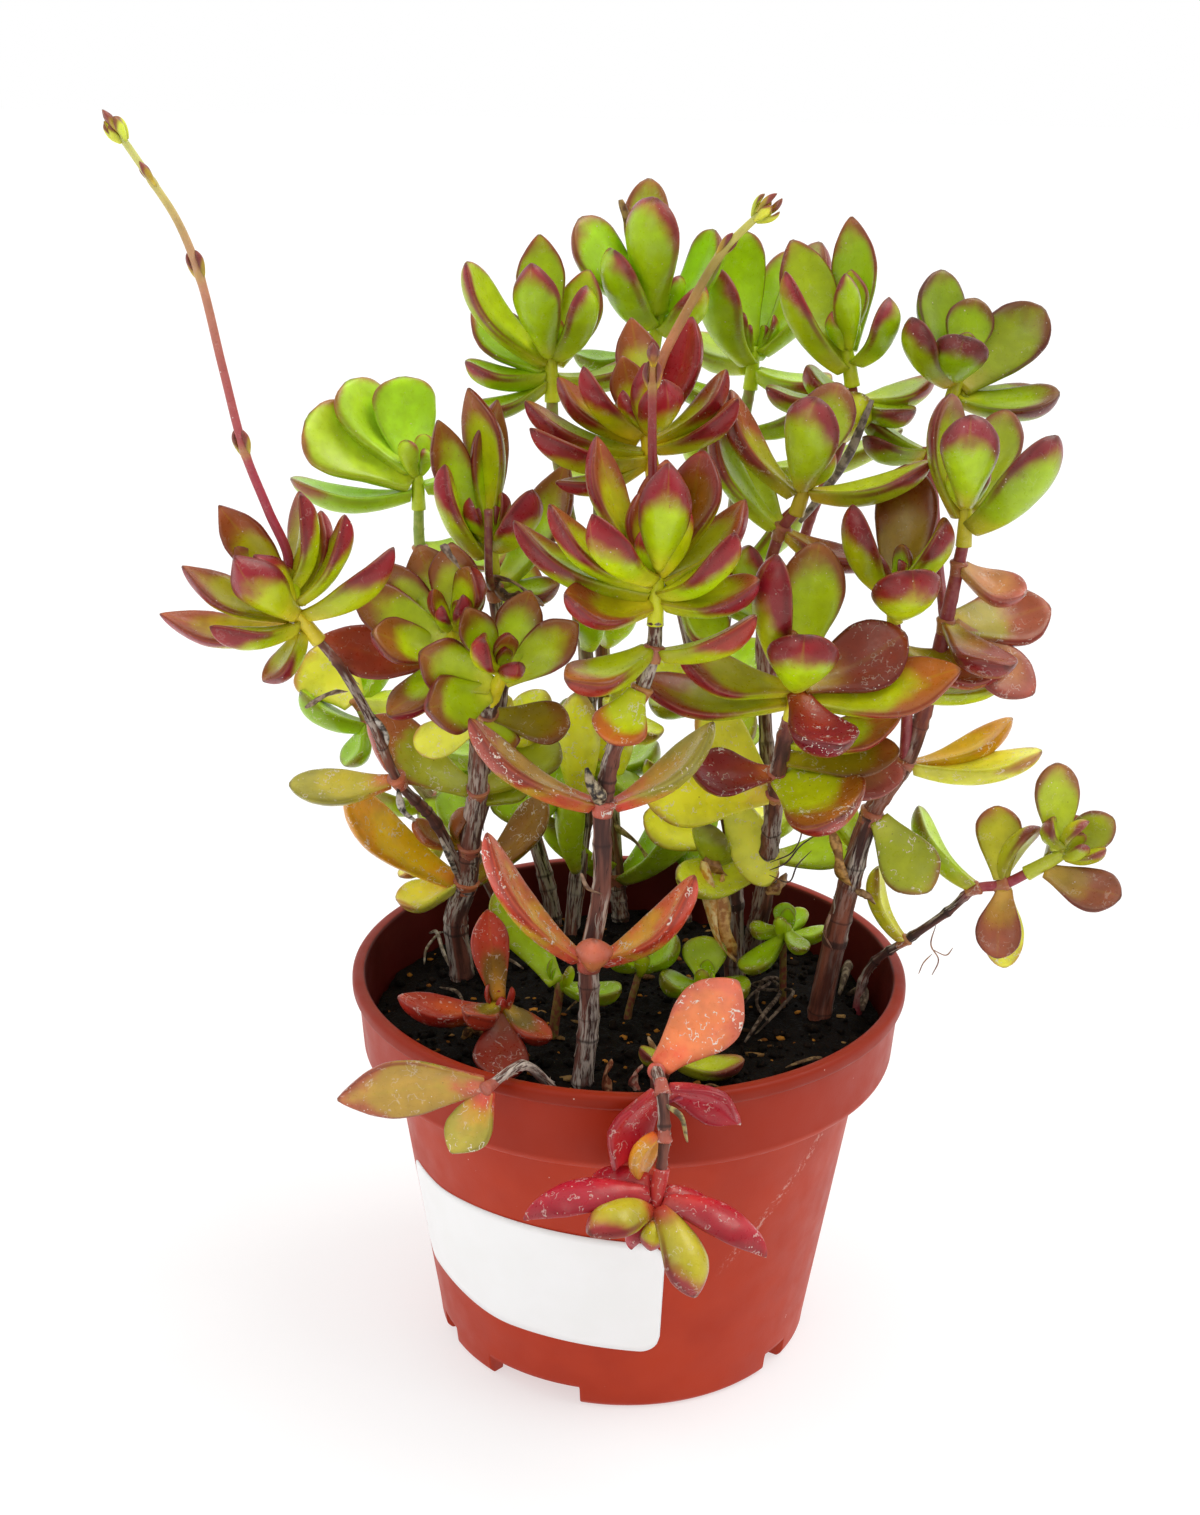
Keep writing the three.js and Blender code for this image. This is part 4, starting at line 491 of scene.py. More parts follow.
STALKS: dict[str, StalkLayout] = {
    "stalk_far_left": StalkLayout("rosette_far_left",
        (at(-59.4, -20, 159, 1.2), at(-62.5, -20.4, 168, 1.1),
            at(-66, -20.7, 178, 1.05, (180, 60, 7, 2.4), (180, 88, 7, 2.4)), at(-69, -21, 192, 1),
            at(-72, -22, 207.5, 1, (180, 57, 8, 2.4), (180, 82, 8, 2.4)), at(-75, -22.5, 216, 0.9),
            at(-78.5, -23, 222, 0.85, (180, 64, 7, 2.4)),
            at(-83.5, -24, 230, 0.8, (180, 42, 4.5, 2.2), (180, 75, 4.5, 2.2))),
        ("#8e2238", "#9c2c42", "#a63c4c", "#b05c58", "#bc906a", "#c4b46c", "#ccd078"), Look.BRACT),
    "stalk_centre": StalkLayout("rosette_centre",
        (at(2.2, -2.3, 184, 1.3), at(3, -3, 190, 1.2), at(7.5, -4, 200, 1.1),
            at(13, -5, 210, 1, (0, 40, 7, 2.4), (0, 70, 7, 2.4)), at(16.5, -6, 214, 0.9),
            at(19.5, -6.6, 217, 0.8, (0, 35, 4.5, 2.2), (0, 70, 4.5, 2.2))),
        ("#c08c40", "#b46c50", "#c07c56", "#98803a", "#c8c060", "#c4c464"), Look.BRACT),
    "stalk_front": StalkLayout("rosette_front",
        (at(3.2, -27.4, 165, 1.2), at(2.5, -28, 172, 1.1), at(2, -28, 182, 1),
            at(1.8, -28, 192, 0.95, (0, 84, 7, 2.4), (180, 78, 7, 2.4)), at(1.8, -28, 197, 0.8)),
        ("#7a1a20", "#661018", "#7a1c24", "#8e3034", "#b09048"), Look.MAUVE_BRACT, Look.MAUVE_BRACT),
}


@dataclass(frozen=True)
class SproutLayout:
    """A small sprout in the soil: its foot, heart, stem radius, look and leaves."""

    foot: Place
    heart: Place
    radius: float
    look: Look
    leaves: tuple[Leaf, ...]


SPROUTS: dict[str, SproutLayout] = {
    "sprout_left": SproutLayout((-21, -21, 65), (-23.3, -22, 75.5), 1.3, Look.REDSPROUT,
        leaves((-85, -25, 16, 9, Look.DARKSPROUT), (185, 10, 19, 8), (-20, -20, 11, 7, Look.TWO_TONE),
            (230, 15, 9, 7, Look.TWO_TONE), (115, 72, 19, 7, Look.TWO_TONE))),
    "sprout_green": SproutLayout((-14, -12, 65), (-12.7, -13, 76.5), 1.2, Look.SPROUT,
        leaves((-15, 5, 12, 6), (168, 56, 22, 8.5))),
    "sprout_star": SproutLayout((30, 5, 65), (29.5, 4.5, 79), 0.9, Look.SPROUT,
        leaves((215, -25, 11, 6), (5, 12, 9, 4), (60, 20, 9, 4), (115, 45, 7, 4), (170, 15, 7, 4),
            (-60, 5, 8, 4))),
    "sprout_round": SproutLayout((14, -4, 65), (14.4, -3, 71.8), 1, Look.SPROUT,
        leaves((180, 18, 9, 7), (0, 8, 9, 7), (90, 55, 10, 8))),
    "sprout_middle": SproutLayout((0, -2, 65), (2, -1, 74), 0.9, Look.SPROUT,
        leaves((20, 40, 10, 6), (190, 40, 8, 5))),
    "sprout_olive": SproutLayout((7, -26, 65), (8.5, -26, 67.8), 0.9, Look.DUSTY,
        leaves((0, 4, 13, 6.5), (180, 25, 7, 4))),
}


# How far some leaves turn on their own length past the frame's own twist: by node, and by place in its list.
FACING: dict[str, dict[int, float]] = {
    "shoot_trailing": {2: -80, 3: 80, 4: 80}, "rosette_trailing": {0: 60, 3: -60},
    "shoot_right": {0: 60, 1: -8, 2: -15}, "sprout_green": {1: -60},
    "rosette_left_upper": {2: -35, 3: -45, 4: -50, 6: -25, 8: 15},
    "rosette_left_lower": {0: -30, 1: -40, 2: 15, 4: -30}, "rosette_dark": {3: -25, 4: 62, 5: -52},
    "rosette_top_left": {3: -35, 4: 20, 5: -40}, "shoot_left": {5: 22},
    "rosette_front": {0: -25, 1: 20, 3: 20, 4: -25}, "rosette_right_front": {0: -15, 1: 25, 3: -15},
}


# Geometry in arrays

def unit(vectors: Array) -> Array:
    """Gives the vectors at unit length: each one over its own length."""
    return vectors / np.linalg.norm(vectors, axis=-1, keepdims=True)


def pointing(turn: float, rise: float) -> Array:
    """Gives the unit vector of this turn and rise: cos rise (cos turn, sin turn), and sin rise upwards."""
    flat = math.cos(math.radians(rise))
    bearing = math.radians(turn)
    return np.array([flat * math.cos(bearing), flat * math.sin(bearing), math.sin(math.radians(rise))])


def turned(vectors: Array, axes: Array, degrees: Array) -> Array:
    """Turns vectors about unit axes.

    The turned vector is v cos a + (k x v) sin a + k (k . v)(1 - cos a), for the axis k and the angle a.

    Args:
        vectors: Vectors, one in each row.
        axes: Unit axes, one in each row.
        degrees: Angles, one for each row.

    Returns:
        The turned vectors.
    """
    angle = np.radians(degrees)[..., None]
    along = np.sum(vectors * axes, axis=-1, keepdims=True) * axes
    return vectors * np.cos(angle) + np.cross(axes, vectors) * np.sin(angle) + along * (1 - np.cos(angle))


def smooth(places: Array, knots: list[float], values: list[float]) -> Array:
    """Reads a smooth line through knots that never overshoots them.

    Between two knots it is the cubic with the knots' values and slopes; a knot's slope is the harmonic mean
    of the slopes on its two sides, or 0 where they differ in sign.

    Args:
        places: Where to read the line.
        knots: Rising places.
        values: The line's values at the knots.

    Returns:
        The line's values at the places.
    """
    x = np.array(knots, float)
    y = np.array(values, float)
    rise = np.diff(y) / np.diff(x)
    same = rise[:-1] * rise[1:] > 0
    mean = np.zeros(len(rise) - 1)
    mean[same] = 2 / (1 / rise[:-1][same] + 1 / rise[1:][same])
    slopes = np.concatenate([[rise[0]], mean, [rise[-1]]])
    low = np.clip(np.searchsorted(x, places, side="right") - 1, 0, len(x) - 2)
    step = x[low + 1] - x[low]
    t = (places - x[low]) / step
    ends = y[low] * (1 - t) ** 2 * (1 + 2 * t) + y[low + 1] * t ** 2 * (3 - 2 * t)
    return ends + step * (slopes[low] * t * (1 - t) ** 2 - slopes[low + 1] * t ** 2 * (1 - t))


def ease(values: Array, low: float, high: float) -> Array:
    """Rises from 0 at low to 1 at high along 3t^2 - 2t^3."""
    t = np.clip((values - low) / (high - low), 0, 1)
    return t * t * (3 - 2 * t)


class Lumps:
    """Smooth random relief: random heights on a lattice with steps of one, blended between its points."""

    SIZE = 64

    def __init__(self, seed: int) -> None:
        """Draws the heights, from -1 to 1."""
        self.heights = np.random.default_rng(seed).uniform(-1, 1, (self.SIZE, self.SIZE))

    def read(self, u: Array, v: Array) -> Array:
        """Gives the height at (u, v): the four nearest heights blended by 3t^2 - 2t^3 in both directions."""
        i, j = np.floor(u).astype(int), np.floor(v).astype(int)
        s, t = ease(u - i, 0, 1), ease(v - j, 0, 1)
        i, j, next_i, next_j = (number % self.SIZE for number in (i, j, i + 1, j + 1))
        near = self.heights[i, j] * (1 - t) + self.heights[i, next_j] * t
        far = self.heights[next_i, j] * (1 - t) + self.heights[next_i, next_j] * t
        return near * (1 - s) + far * s


class Path:
    """A smooth line through joints, the centripetal Catmull-Rom spline, with one step from joint to joint."""

    STEP = 0.0001

    def __init__(self, joints: Array) -> None:
        """Keeps the joints, with one more at each end, as far out as the next one is in."""
        first, last = 2 * joints[0] - joints[1], 2 * joints[-1] - joints[-2]
        self.joints = np.vstack([first, joints, last])
        self.spans = len(joints) - 1

    def points(self, shares: Array) -> Array:
        """Gives the points at shares of the way: cubics whose end slopes weigh chords by root length."""
        place = np.clip(shares, 0, 1) * self.spans
        k = np.minimum(np.floor(place).astype(int), self.spans - 1)
        t = (place - k)[:, None]
        p0, p1, p2, p3 = (self.joints[k + i] for i in range(4))
        chords = (p1 - p0, p2 - p1, p3 - p2)
        d0, d1, d2 = (np.sqrt(np.linalg.norm(chord, axis=1, keepdims=True)) for chord in chords)
        s1 = d1 * ((p1 - p0) / d0 - (p2 - p0) / (d0 + d1) + (p2 - p1) / d1)
        s2 = d1 * ((p2 - p1) / d1 - (p3 - p1) / (d1 + d2) + (p3 - p2) / d2)
        return p1 + s1 * t + (3 * (p2 - p1) - 2 * s1 - s2) * t ** 2 + (2 * (p1 - p2) + s1 + s2) * t ** 3

    def tangents(self, shares: Array) -> Array:
        """Gives unit directions: from just before each share to just after it."""
        low, high = np.clip(shares - self.STEP, 0, 1), np.clip(shares + self.STEP, 0, 1)
        return unit(self.points(high) - self.points(low))

    def length(self) -> float:
        """Gives the length: that of 200 short chords."""
        return float(np.linalg.norm(np.diff(self.points(np.linspace(0, 1, 201)), axis=0), axis=1).sum())


class Line(Path):
    """The smooth line along a stretch of joints, with the stem's radius on the way."""

    def __init__(self, joints: list[Joint]) -> None:
        """Keeps the joints' places and radii."""
        super().__init__(np.array([joint.place for joint in joints], float))
        self.radii = [joint.radius for joint in joints]

    def radius(self, shares: Array) -> Array:
        """Gives the radius at shares of the way, blended evenly from joint to joint."""
        return np.interp(shares * self.spans, np.arange(self.spans + 1), self.radii)

    def axes(self) -> Array:
        """Gives the directions at the joints."""
        return self.tangents(np.arange(self.spans + 1) / self.spans)


def tube(path: Path, shares: Array, radii: Array, sides: int) -> tuple[Array, Array]:
    """Carries a circle along a path.

    A point is p + f r cos a + u r sin a, where f is a fixed side direction squared to the path, u is square
    to both, and a runs once round. radii has one row for each share, and one column, or one for each side.

    Args:
        path: The line to follow.
        shares: Where the rings are.
        radii: The rings' radii.
        sides: Points round a ring.

    Returns:
        The points, by ring and side, and the angles.
    """
    along = path.tangents(shares)
    start = along[0]
    up = np.array([0.0, 1.0, 0.0]) if abs(start[2]) > 0.7 else np.array([0.0, 0.0, 1.0])
    side = unit(np.cross(start, up))
    firm = unit(side - along * (along @ side)[:, None])
    other = -np.cross(firm, along)
    angle = np.linspace(0, 2 * np.pi, sides, endpoint=False)
    ring = (firm[:, None] * np.cos(angle)[None, :, None] + other[:, None] * np.sin(angle)[None, :, None])
    return path.points(shares)[:, None] + ring * radii[..., None], angle


class Weave:
    """Closed grids gathered into one mesh, with what each point knows of its leaf or stem."""

    FACTS = ("place", "flush", "quirk", "flesh", "blush", "root", "inner")
    COLOURS = ("flesh", "blush", "root", "inner")

    def __init__(self) -> None:
        """Starts empty."""
        self.points: list[Array] = []
        self.faces: dict[int, list[tuple[Array, int]]] = {4: [], 3: []}
        self.facts: dict[str, list[Array]] = {name: [] for name in self.FACTS}
        self.count = 0

    def add(self, grid: Array, finish: int = 0, **facts: Array) -> None:
        """Adds a grid of rings that closes round and ends in a point at both ends.

        A face joins neighbours (i, j), (i, j+1), (i+1, j+1), (i+1, j); j wraps round. The two end points
        are the means of the first and last rings. Where the whole would be inside out, each face is turned
        round.

        Args:
            grid: Points, by ring and place in the ring.
            finish: Number of the mesh's material.
            facts: Values of each fact, one for all points or by ring and place.
        """
        rings, sides = grid.shape[:2]
        flat = grid.reshape(-1, 3)
        ends = np.array([grid[0].mean(0), grid[-1].mean(0)])
        number = np.arange(rings * sides).reshape(rings, sides)
        after = np.roll(number, -1, axis=1)
        quads = np.stack([number[:-1], after[:-1], after[1:], number[1:]], axis=-1).reshape(-1, 4)
        first, last = rings * sides, rings * sides + 1
        low = np.stack([np.full(sides, first), after[0], number[0]], axis=-1)
        high = np.stack([np.full(sides, last), number[-1], after[-1]], axis=-1)
        tris = np.vstack([low, high])
        points = np.vstack([flat, ends])
        if self.volume(points, quads, tris) < 0:
            quads, tris = quads[:, ::-1], tris[:, ::-1]
        rows = {}
        for name, value in facts.items():
            value = np.asarray(value, float)
            whole = np.broadcast_to(value if value.ndim == 3 else value.reshape(1, 1, 3), (rings, sides, 3))
            rows[name] = np.vstack([whole.reshape(-1, 3), [whole[0].mean(0), whole[-1].mean(0)]])
        self.take(points, (quads, tris), finish, **rows)

    def take(self, points: Array, faces: tuple[Array, ...], finish: int, **facts: Array) -> None:
        """Takes closed lumps: points and facts in rows, and faces whose corners index the rows."""
        self.points.append(points)
        for corners in faces:
            self.faces[corners.shape[1]].append((corners + self.count, finish))
        for name in self.FACTS:
            self.facts[name].append(np.broadcast_to(facts.get(name, np.zeros(3)), (len(points), 3)))
        self.count += len(points)

    @staticmethod
    def volume(points: Array, quads: Array, tris: Array) -> float:
        """Gives the signed volume: the sum of a . (b x c) / 6 over the triangles a, b, c."""
        split = np.vstack([tris, quads[:, [0, 1, 2]], quads[:, [0, 2, 3]]])
        a, b, c = (points[split[:, i]] - points[0] for i in range(3))
        return float(np.sum(a * np.cross(b, c)) / 6)

    def make(self, name: str, finishes: list[bpy.types.Material]) -> bpy.types.Object:
        """Puts the arrays into a mesh and gives its object."""
        points = np.vstack(self.points) * METRE
        groups = [(rows, size, finish) for size in (4, 3) for rows, finish in self.faces[size]]
        corners = np.concatenate([rows.ravel() for rows, _, _ in groups])
        totals = np.concatenate([np.full(len(rows), size) for rows, size, _ in groups])
        numbers = np.concatenate([np.full(len(rows), finish) for rows, _, finish in groups])
        mesh = bpy.data.meshes.new(name)
        mesh.vertices.add(len(points))
        mesh.loops.add(len(corners))
        mesh.polygons.add(len(totals))
        for part, key, values, kind in (
                (mesh.vertices, "co", points, np.float32),
                (mesh.loops, "vertex_index", corners, np.int32),
                (mesh.polygons, "loop_start", np.cumsum(totals) - totals, np.int32),
                (mesh.polygons, "loop_total", totals, np.int32),
                (mesh.polygons, "material_index", numbers, np.int32),
                (mesh.polygons, "use_smooth", np.ones(len(totals)), bool)):
            part.foreach_set(key, values.astype(kind).ravel())
        for fact in self.FACTS:
            rows = np.vstack(self.facts[fact])
            kind, key = "FLOAT_VECTOR", "vector"
            if fact in self.COLOURS:
                rows = np.hstack([rows, np.ones((len(rows), 1))])
                kind, key = "FLOAT_COLOR", "color"
            mesh.attributes.new(fact, kind, "POINT").data.foreach_set(key, rows.astype(np.float32).ravel())
        mesh.update(calc_edges=True)
        mesh.validate()
        for finish in finishes:
            mesh.materials.append(finish)
        return shown(name, mesh)


def shown(name: str, data: bpy.types.ID) -> bpy.types.Object:
    """Makes an object of a mesh, light or camera and puts it into the scene."""
    thing = bpy.data.objects.new(name, data)
    bpy.context.scene.collection.objects.link(thing)
    return thing


# Leaves in place

@dataclass
class Blade:
    """A leaf in place: its node, its two ends, the axis that it stands round, its sizes and its look."""

    node: str
    root: Array
    tip: Array
    axis: Array
    outward: Array
    thickness: float
    length: float
    leaf: Leaf
    look: Look


class Blades:
    """All the leaves of the plant: set out by the frame's rules, and bent apart where they meet."""

    BASE_THICKNESS = 1.1
    THICKNESS_RATE = 0.23
    ROOT_REACH = 0.7
    BOW = 0.09
    STATIONS = (0, 0.3, 0.62, 0.86, 1)
    HALF_WIDTHS = (0.28, 0.66, 1, 0.68, 0)
    TOP_SHARE = 0.32
    FEEL_ALONG = (0.34, 0.5, 0.66, 0.82, 0.95)
    FEEL_ACROSS = (-0.7, 0, 0.7)
    MIDDLE_ROOM = 0.5
    EDGE_ROOM = 0.38
    OWN_FROM = 0.6
    CLEARANCE = 0.5
    LEAF_PUSH = 0.12
    STEM_PUSH = 0.3
    LONGEST_PUSH = 1.5
    FAR_APART = 8
    ROUNDS = 60

    def __init__(self) -> None:
        """Starts with no leaf and no stem."""
        self.blades: list[Blade] = []
        self.rods: list[tuple[str, Array, Array, float]] = []

    def add(self, node: str, heart: Array, middle: Array, axis: Array, radius: float, leaf: Leaf,
            look: Look) -> None:
        """Adds a leaf whose root is sunk in what it grows from.

        Args:
            node: The frame's node that it belongs to.
            heart: The point that its direction is measured from.
            middle: The middle of the stem at its root.
            axis: Direction of the stem there.
            radius: Radius of the stem there.
            leaf: Its turn, rise, length, width and twist.
            look: Its look, unless the leaf has its own.
        """
        direction = pointing(leaf.turn, leaf.rise)
        outward = unit(direction - axis * (direction @ axis))
        root = middle + outward * self.ROOT_REACH * radius
        tip = heart + direction * leaf.length
        thickness = self.BASE_THICKNESS + self.THICKNESS_RATE * leaf.width
        length = float(np.linalg.norm(tip - root))
        self.blades.append(Blade(node, root, tip, axis, outward, thickness, length, leaf, leaf.look or look))

    def add_rods(self, node: str, joints: list[Joint]) -> None:
        """Adds the straight rods that leaves keep clear of, one from each joint to the next."""
        for low, high in zip(joints, joints[1:]):
            self.rods.append((node, np.array(low.place, float), np.array(high.place, float),
                              max(low.radius, high.radius)))

    def faces(self, tips: Array) -> tuple[Array, Array]:
        """Gives the upper faces' directions and the sideways directions for these tips.

        The upper face is the part of the axis square to the leaf, or the way inwards where that is short,
        turned by the twist. The sideways direction is the face crossed with the leaf's chord.
        """
        along = unit(tips - self.roots)
        face = self.axes - along * np.sum(self.axes * along, axis=1, keepdims=True)
        inward = -self.outwards + along * np.sum(self.outwards * along, axis=1, keepdims=True)
        face = np.where(np.linalg.norm(face, axis=1, keepdims=True) < 0.15, inward, face)
        face = turned(unit(face), along, self.twists)
        return face, unit(np.cross(face, tips - self.roots))

    def stack(self) -> None:
        """Stacks the leaves' and rods' values into arrays, one row for each."""
        ways = zip(*((one.root, one.tip, one.axis, one.outward) for one in self.blades))
        self.roots, self.tips, self.axes, self.outwards = (np.array(rows) for rows in ways)
        sizes = zip(*((one.leaf.twist, one.leaf.width, one.thickness, one.length) for one in self.blades))
        self.twists, self.widths, self.thick, self.lengths = (np.array(rows, float) for rows in sizes)
        names = {name: number for number, name in enumerate(dict.fromkeys(one.node for one in self.blades))}
        self.nodes = np.array([names[one.node] for one in self.blades])
        nodes, *rods = zip(*self.rods)
        self.rod_nodes = np.array([names.get(node, -1) for node in nodes])
        self.rod_starts, self.rod_ends, self.rod_radii = (np.array(rows) for rows in rods)

    def bend_clear(self) -> None:
        """Bends leaves that meet another leaf or a stem apart, a little in each round, at their own lengths.

        Points spread over a leaf each take some room. Where two take the same room, the tips of their
        leaves are pushed apart by a share of the overlap. Leaves of one node may meet near their roots.
        """
        self.stack()
        along = np.repeat(self.FEEL_ALONG, len(self.FEEL_ACROSS))
        across = np.tile(self.FEEL_ACROSS, len(self.FEEL_ALONG))
        half = np.interp(along, self.STATIONS, self.HALF_WIDTHS)[None] * self.widths[:, None] / 2
        shares = np.where(across == 0, self.MIDDLE_ROOM, self.EDGE_ROOM)
        room = self.thick[:, None] * shares + self.CLEARANCE / 2
        bow = 4 * self.BOW * self.lengths[:, None] * along * (1 - along)
        drop = bow + (0.5 - self.TOP_SHARE) * self.thick[:, None]
        first, second = np.triu_indices(len(self.blades), 1)
        near = np.linalg.norm(self.roots[first] - self.roots[second], axis=1)
        kept = near < self.lengths[first] + self.lengths[second] + 2 * self.FAR_APART
        first, second = first[kept], second[kept]
        reach = (self.lengths[first] + self.lengths[second]) / 2 + self.FAR_APART
        least = np.where(self.nodes[first] == self.nodes[second], self.OWN_FROM, 0)
        lowest = np.minimum(along[:, None], along[None, :])
        allowed = lowest[None] >= least[:, None, None]
        leaf_rows, rod_rows = np.nonzero(self.nodes[:, None] != self.rod_nodes[None, :])
        spans = self.rod_ends - self.rod_starts
        offset = self.roots[leaf_rows] - self.rod_starts[rod_rows]
        share = np.clip(np.sum(offset * spans[rod_rows], axis=1) / np.sum(spans ** 2, axis=1)[rod_rows], 0, 1)
        gap = np.linalg.norm(offset - spans[rod_rows] * share[:, None], axis=1)
        kept = gap < self.lengths[leaf_rows] + 2 * self.FAR_APART
        leaf_rows, rod_rows = leaf_rows[kept], rod_rows[kept]
        centre = len(along) // 2
        for _ in range(self.ROUNDS):
            face, side = self.faces(self.tips)
            felt = self.roots[:, None] + (self.tips - self.roots)[:, None] * along[None, :, None]
            felt = felt - face[:, None] * drop[..., None] + side[:, None] * (across * half)[..., None]
            pushes = np.zeros_like(self.tips)
            close = np.linalg.norm(felt[first, centre] - felt[second, centre], axis=1) <= reach
            a, b = first[close], second[close]
            apart = felt[a][:, :, None] - felt[b][:, None, :]
            far = np.linalg.norm(apart, axis=-1)
            overlap = room[a][:, :, None] + room[b][:, None, :] - far
            overlap = np.where((overlap > 0) & allowed[close], overlap, 0)
            push = np.sum(apart * (overlap / np.maximum(far, 1e-9))[..., None], axis=(1, 2)) * self.LEAF_PUSH
            np.add.at(pushes, a, push)
            np.add.at(pushes, b, -push)
            offset = felt[leaf_rows] - self.rod_starts[rod_rows][:, None]
            span = spans[rod_rows][:, None]
            share = np.clip(np.sum(offset * span, axis=-1) / np.sum(span ** 2, axis=-1), 0, 1)
            apart = offset - span * share[..., None]
            far = np.linalg.norm(apart, axis=-1)
            overlap = room[leaf_rows] + self.rod_radii[rod_rows][:, None] + self.CLEARANCE - far
            overlap = np.maximum(overlap, 0)
            push = np.sum(apart * (overlap / np.maximum(far, 1e-9))[..., None], axis=1) * self.STEM_PUSH
            np.add.at(pushes, leaf_rows, push)
            size = np.linalg.norm(pushes, axis=1, keepdims=True)
            pushes *= np.minimum(1, self.LONGEST_PUSH / np.maximum(size, 1e-9))
            self.tips = self.roots + unit(self.tips + pushes - self.roots) * self.lengths[:, None]
        self.face, self.side = self.faces(self.tips)
        for blade, tip in zip(self.blades, self.tips):
            blade.tip = tip

    def of(self, node: str) -> list[int]:
        """Gives the numbers of a node's leaves."""
        return [number for number, blade in enumerate(self.blades) if blade.node == node]


@dataclass(frozen=True)
class LeafForm:
    """The fleshy surface of a leaf, flat or slightly hollow above and keeled below, as a function on a grid.

    u runs from the root to the tip and the angle a once round. The point is root + chord u - face bow +
    side x + face z, where x is half width times cos a, and z follows the upper or the lower line of the
    cross-section.
    """

    rings: int = 26
    half_round: int = 11
    margin: float = 0.15
    hollow: float = 0.22
    plump: float = 1.45
    broad: float = 1.12
    bract_width: float = 3.0
    bract_depth: float = 0.55
    knots: tuple[float, ...] = (0, 0.12, 0.3, 0.48, 0.62, 0.76, 0.86, 0.94, 1)
    acute: tuple[float, ...] = (0.34, 0.46, 0.72, 0.95, 1.0, 0.83, 0.54, 0.25, 0)
    blunt: tuple[float, ...] = (0.34, 0.42, 0.6, 0.84, 0.97, 1.0, 0.88, 0.6, 0)
    depths: tuple[float, ...] = (0.6, 0.75, 0.92, 1.0, 1.0, 0.92, 0.78, 0.5, 0)

    def points(self, blade: Blade, face: Array, side: Array, rng: Draws) -> tuple[Array, Array]:
        """Works out the surface.

        Args:
            blade: The leaf in place.
            face: Direction of its upper face.
            side: Direction across it.
            rng: Draws the leaf's own small differences.

        Returns:
            The points by ring and place, and for each its place on the leaf: along, across and side.
        """
        phases = rng.uniform(0, 2 * np.pi, 4)
        curl, cup, wave, lean = rng.uniform(-1, 1, 4)
        t = np.linspace(0, 1, self.rings)
        u = (0.988 * (1 - (1 - t) ** 1.3))[:, None]
        blunt = blade.look.value.blunt
        outline = (1 - blunt) * smooth(u, self.knots, self.acute) + blunt * smooth(u, self.knots, self.blunt)
        half = outline * blade.leaf.width * self.broad / 2 * (1 + 0.02 * np.sin(9 * u + phases[0]))
        slim = self.bract_depth if blade.leaf.width < self.bract_width else 1.0
        deep = smooth(u, self.knots, self.depths) * blade.thickness * slim * self.plump
        angle = np.linspace(0, 2 * np.pi, 2 * self.half_round, endpoint=False)[None]
        across = np.cos(angle)
        upper = np.sin(angle) > 1e-6
        level = self.margin
        dish = (self.hollow + 0.1 * cup) * np.sin(np.pi * np.clip(u * 1.04, 0, 1)) ** 0.7
        top = level + (Blades.TOP_SHARE - level) * np.sqrt(1 - np.abs(across) ** 7)
        top = top - dish * (1 - across ** 2) ** 1.5
        under = level - (1 - Blades.TOP_SHARE + level) * (1 - np.abs(across) ** 2.2) ** (0.78 - 0.1 * blunt)
        height = np.where(upper, top, under) * deep
        height = height + 0.035 * deep * np.sin(7 * u + 2.1 * across + phases[1])
        height = height + 0.05 * half * wave * np.sin(5 * u + phases[2]) * across ** 3
        shift = across * half + 0.05 * curl * blade.leaf.width * np.sin(np.pi * u) ** 2
        height = height + 0.1 * lean * half * across * u
        bow = 4 * Blades.BOW * blade.length * u * (1 - u) * (1 + 0.12 * cup)
        chord = blade.tip - blade.root
        points = blade.root + chord * u[..., None] + side * shift[..., None]
        points = points + face * (height - bow)[..., None]
        turn = np.where(upper, 1.0, np.where(np.abs(np.sin(angle)) < 1e-6, 0.0, -1.0))
        place = np.stack(np.broadcast_arrays(u, across, turn), axis=-1)
        return points, place


# Materials

Value = float | str | tuple | Socket


